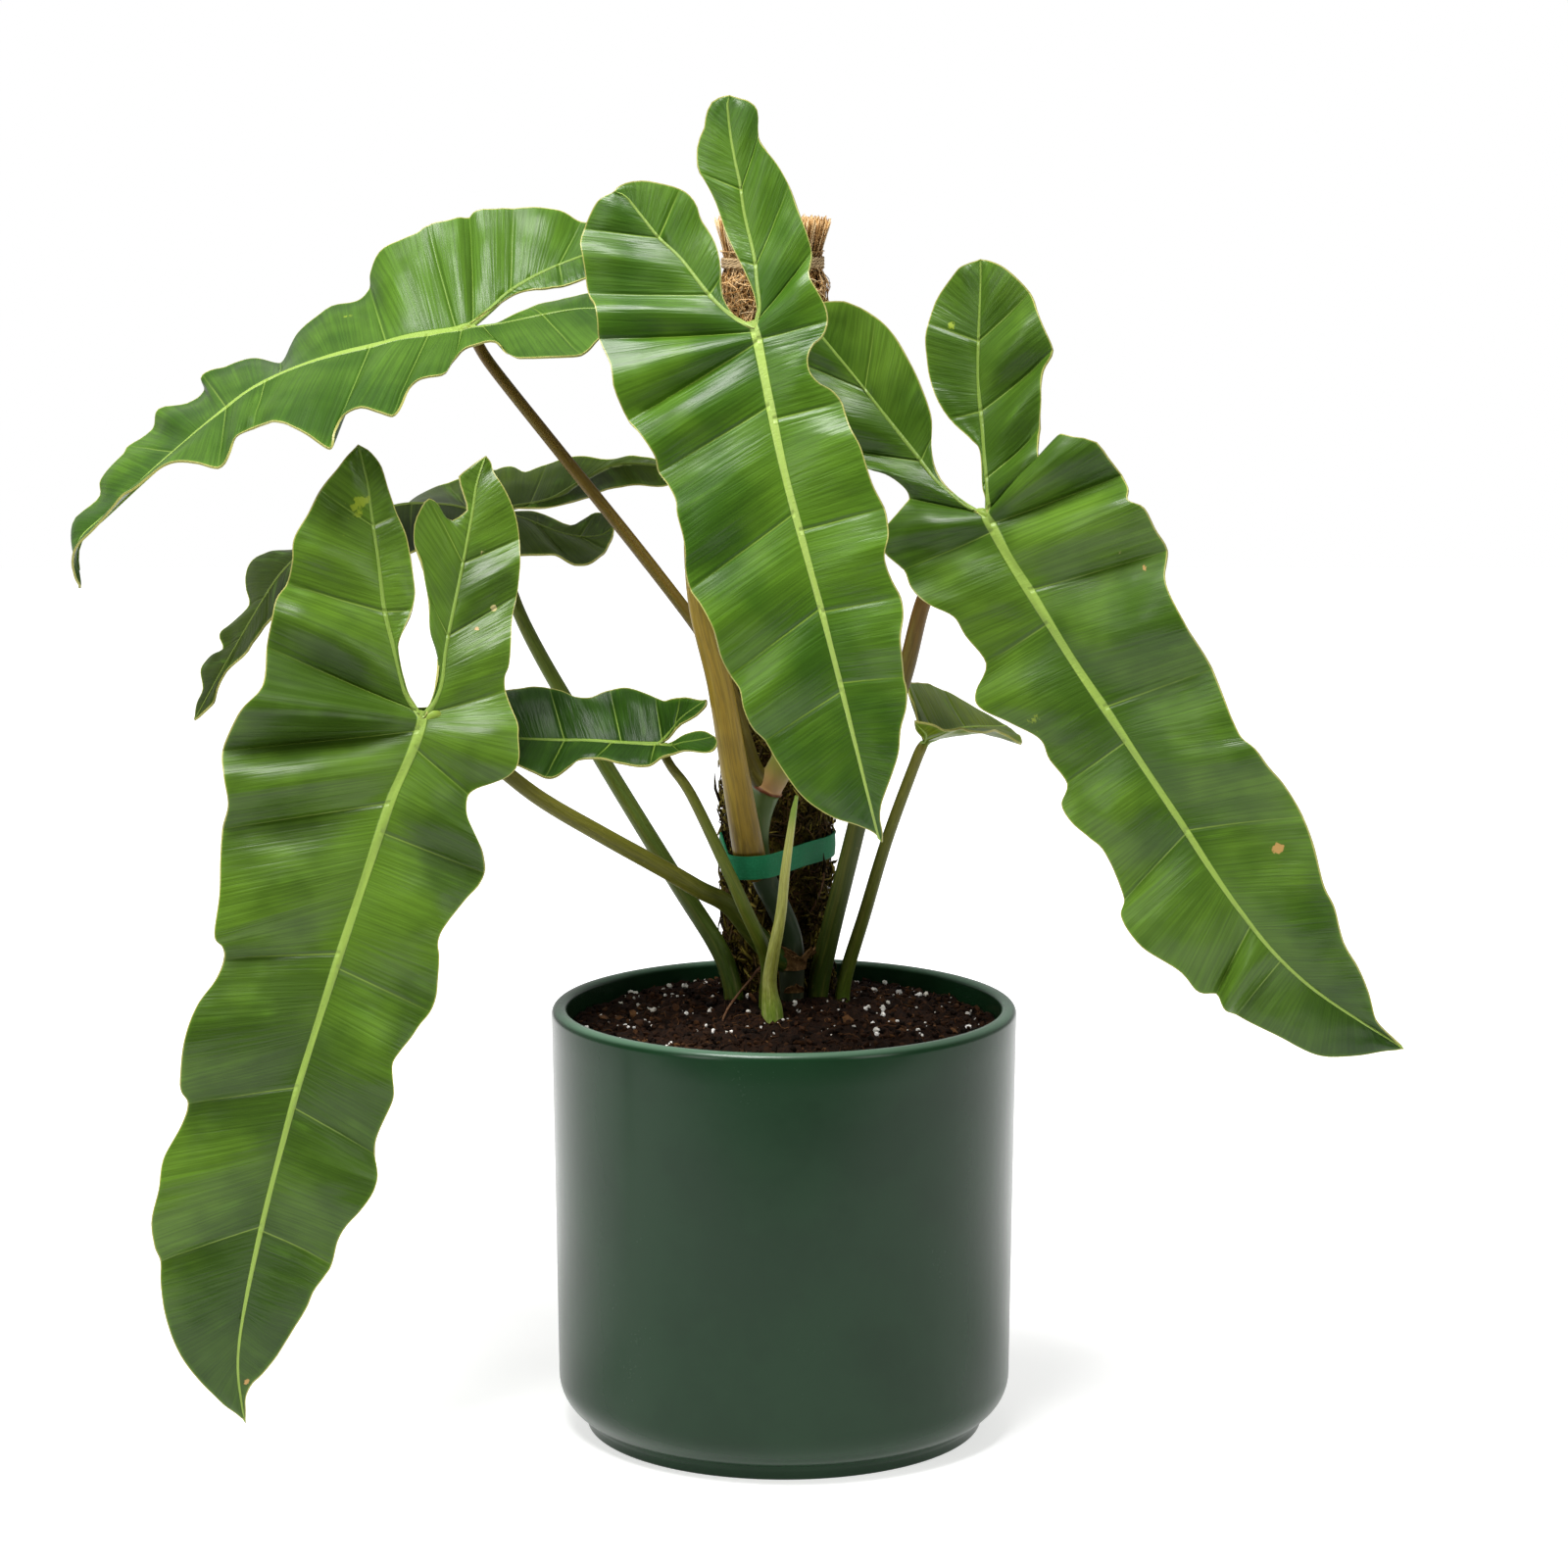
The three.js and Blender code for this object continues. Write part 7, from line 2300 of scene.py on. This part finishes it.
@dataclass
class Studio:
    """The pale floor, the soft lights and the camera."""

    lens: float = 98.1
    film: float = 36
    camera_place: tuple[float, float, float] = (0.0, -2.16, 0.689)
    camera_tilt: float = 80.74
    floor_sides: tuple[float, float] = (-4.0, 4.0)
    floor_ends: tuple[float, float] = (-0.72, 4.0)
    lamps: tuple[tuple[Any, ...], ...] = (
        ("key_softbox", (-0.5, -0.6, 2.4), (0, 0, 0.35), (1.0, 0.9), 88),
        ("right_softbox", (1.5, -1.5, 1.3), (0, 0, 0.35), (0.7, 1.2), 12),
        ("left_softbox", (-1.5, -1.7, 1.1), (0, 0, 0.3), (0.7, 1.2), 14),
    )

    def floor(self) -> None:
        """Lay the pale floor, which glows to white away from the plant."""
        corners = [[(x, y, 0.0) for x in self.floor_sides] for y in self.floor_ends]
        floor = Shop.grid("studio_floor", np.array(corners))
        b = Bench("studio_paper")
        soft = b.noise(0.4, 2.0)
        colour = b.mix(soft, "D2D2D1", "D6D6D5")
        white = b.mix(b.far((0, 0, 0)).ramp(0.3, 0.65), "CFCFCE", "FFFFFF")
        Shop.coat(floor, b.close({"Base Color": colour, "Roughness": 0.75,
                                  "Emission Color": white, "Emission Strength": 1.0}))

    def lamp(self, name: str, place: tuple[float, float, float], aim: tuple[float, float, float],
             size: tuple[float, float], power: float) -> None:
        """Hang one soft light.

        Args:
            name: the light's name.
            place: where it hangs.
            aim: what it points at.
            size: its width and height.
            power: its power in watts.
        """
        bpy.ops.object.light_add(type="AREA", location=place)
        lamp = bpy.context.object
        lamp.name = name
        lamp.data.shape = "RECTANGLE"
        lamp.data.size, lamp.data.size_y = size
        lamp.data.energy = power
        lamp.rotation_euler = (Vector(aim) - Vector(place)).to_track_quat("-Z", "Y").to_euler()

    def air(self) -> None:
        """Fill the room with light: white behind the plant, dim behind the camera."""
        world = bpy.data.worlds.new("studio_air")
        b = Bench("studio_air", world)
        _, depth, _ = b.split(b.add("ShaderNodeTexCoord", out="Generated"))
        seen = b.add("ShaderNodeLightPath", out="Is Camera Ray")
        glow = depth.ramp(-0.4, 0.5, 0.06, 0.5).largest(seen)
        b.close({"Color": "FFFFFF", "Strength": glow}, "ShaderNodeBackground", "ShaderNodeOutputWorld")
        bpy.context.scene.world = world

    def build(self) -> None:
        """Set up the floor, the lights and the camera."""
        self.floor()
        for lamp in self.lamps:
            self.lamp(*lamp)
        self.air()
        bpy.context.scene.view_settings.view_transform = "Standard"
        bpy.ops.object.camera_add(location=self.camera_place,
                                  rotation=(math.radians(self.camera_tilt), 0, 0))
        camera = bpy.context.object
        camera.data.lens = self.lens
        camera.data.sensor_width = self.film
        bpy.context.scene.camera = camera


CREAM = "C4B67E"
TAN = "B28A50"
YELLOW = "8A9C2C"

LEAVES = (
    Leaf(LEAF_FRONT, LeafFinish("365A10", "52771A", rib="9AB25A", shine=0.26, painted_lobe_shade=0.2,
                                painted_tip_shade=0.4),
         StalkFinish("4E3806", "8C721C", "A48C2E", "AC963C"), quilt=0.1, pleat=1.5),
    Leaf(LEAF_DROOPING, LeafFinish("385212", "54741E", vein="94AC4C", shine=0.25, painted_tip_shade=0.6),
         StalkFinish("223E0A", "5C5C1C", "625C22"),
         ((12, 40, 2.4, CREAM), (8, 43, 1.5, CREAM), (-62, 36, 1.8, CREAM), (-50, 27, 1.3, TAN),
          (-90, 31, 1.6, CREAM), (-102, -32, 5.0, YELLOW), (-84, -44, 3.6, YELLOW), (22, 44, 1.2, TAN),
          (345, 4, 1.4, TAN), (300, -34, 0.9, CREAM)), quilt=0.13, puff=0.7, pleat=3.0),
    Leaf(LEAF_RIGHT, LeafFinish("3A5812", "587922", vein="94AC4C", shine=0.25, painted_tip_shade=0.7),
         StalkFinish("24400A", "424C1C", "94602A"),
         ((100, -34, 5.6, YELLOW), (214, 34, 2.6, TAN), (222, 30, 1.6, TAN), (60, 56, 1.8, TAN),
          (47, 50, 1.5, CREAM), (-80, -62, 2.4, YELLOW), (-98, 16, 2.2, YELLOW), (24, 62, 1.5, CREAM),
          (-20, 40, 1.6, CREAM)), puff=0.7, pleat=3.0),
    Leaf(LEAF_UPPER_LEFT, LeafFinish("30510D", "4A6D1B", vein="8AA446", shine=0.2, painted_lobe_shade=0.1,
                                     painted_tip_shade=0.0),
         StalkFinish("484010", "64501A", "765A26"),
         ((60, -36, 2.2, YELLOW), (-14, -40, 1.2, CREAM)), quilt=0.06, pleat=1.2),
    Leaf(LEAF_BACK, LeafFinish("28360A", "3A4A14", vein="5E6E30", rib="5E6E30", back="465A22", shine=0.08,
                               painted_tip_shade=0.0),
         StalkFinish("243E08", "546622", "666E2A"), quilt=0.06, pleat=1.2),
    Leaf(LEAF_SMALL_LEFT, LeafFinish("1F3A08", "325412", rib="6A8436", shine=0.1, painted_tip_shade=0.0),
         StalkFinish("4A6612", "56641A", "625C22"), pitch=1.8, quilt=0.05, pleat=0.8),
    Leaf(LEAF_SMALL_RIGHT, LeafFinish("4A6010", "667818", shine=0.1, painted_tip_shade=0.0),
         StalkFinish("46661A", "565C1C", "76722C"), pitch=1.6, quilt=0.05, pleat=0.8),
)


def main() -> None:
    """Build the studio and the plant in order, and report each piece."""
    Studio().build()
    pot = Pot()
    pole = Pole()
    for maker in (pot, Soil(pot), pole, Twine(pole), Tie(pole), StemGroup(), *LEAVES):
        made = maker.build()
        for piece in made if isinstance(made, list) else [made]:
            LOG.info("%s is built, with %d faces", piece.name, len(piece.data.polygons))


if __name__ == "__main__":
    logging.basicConfig(level=logging.INFO)
    main()
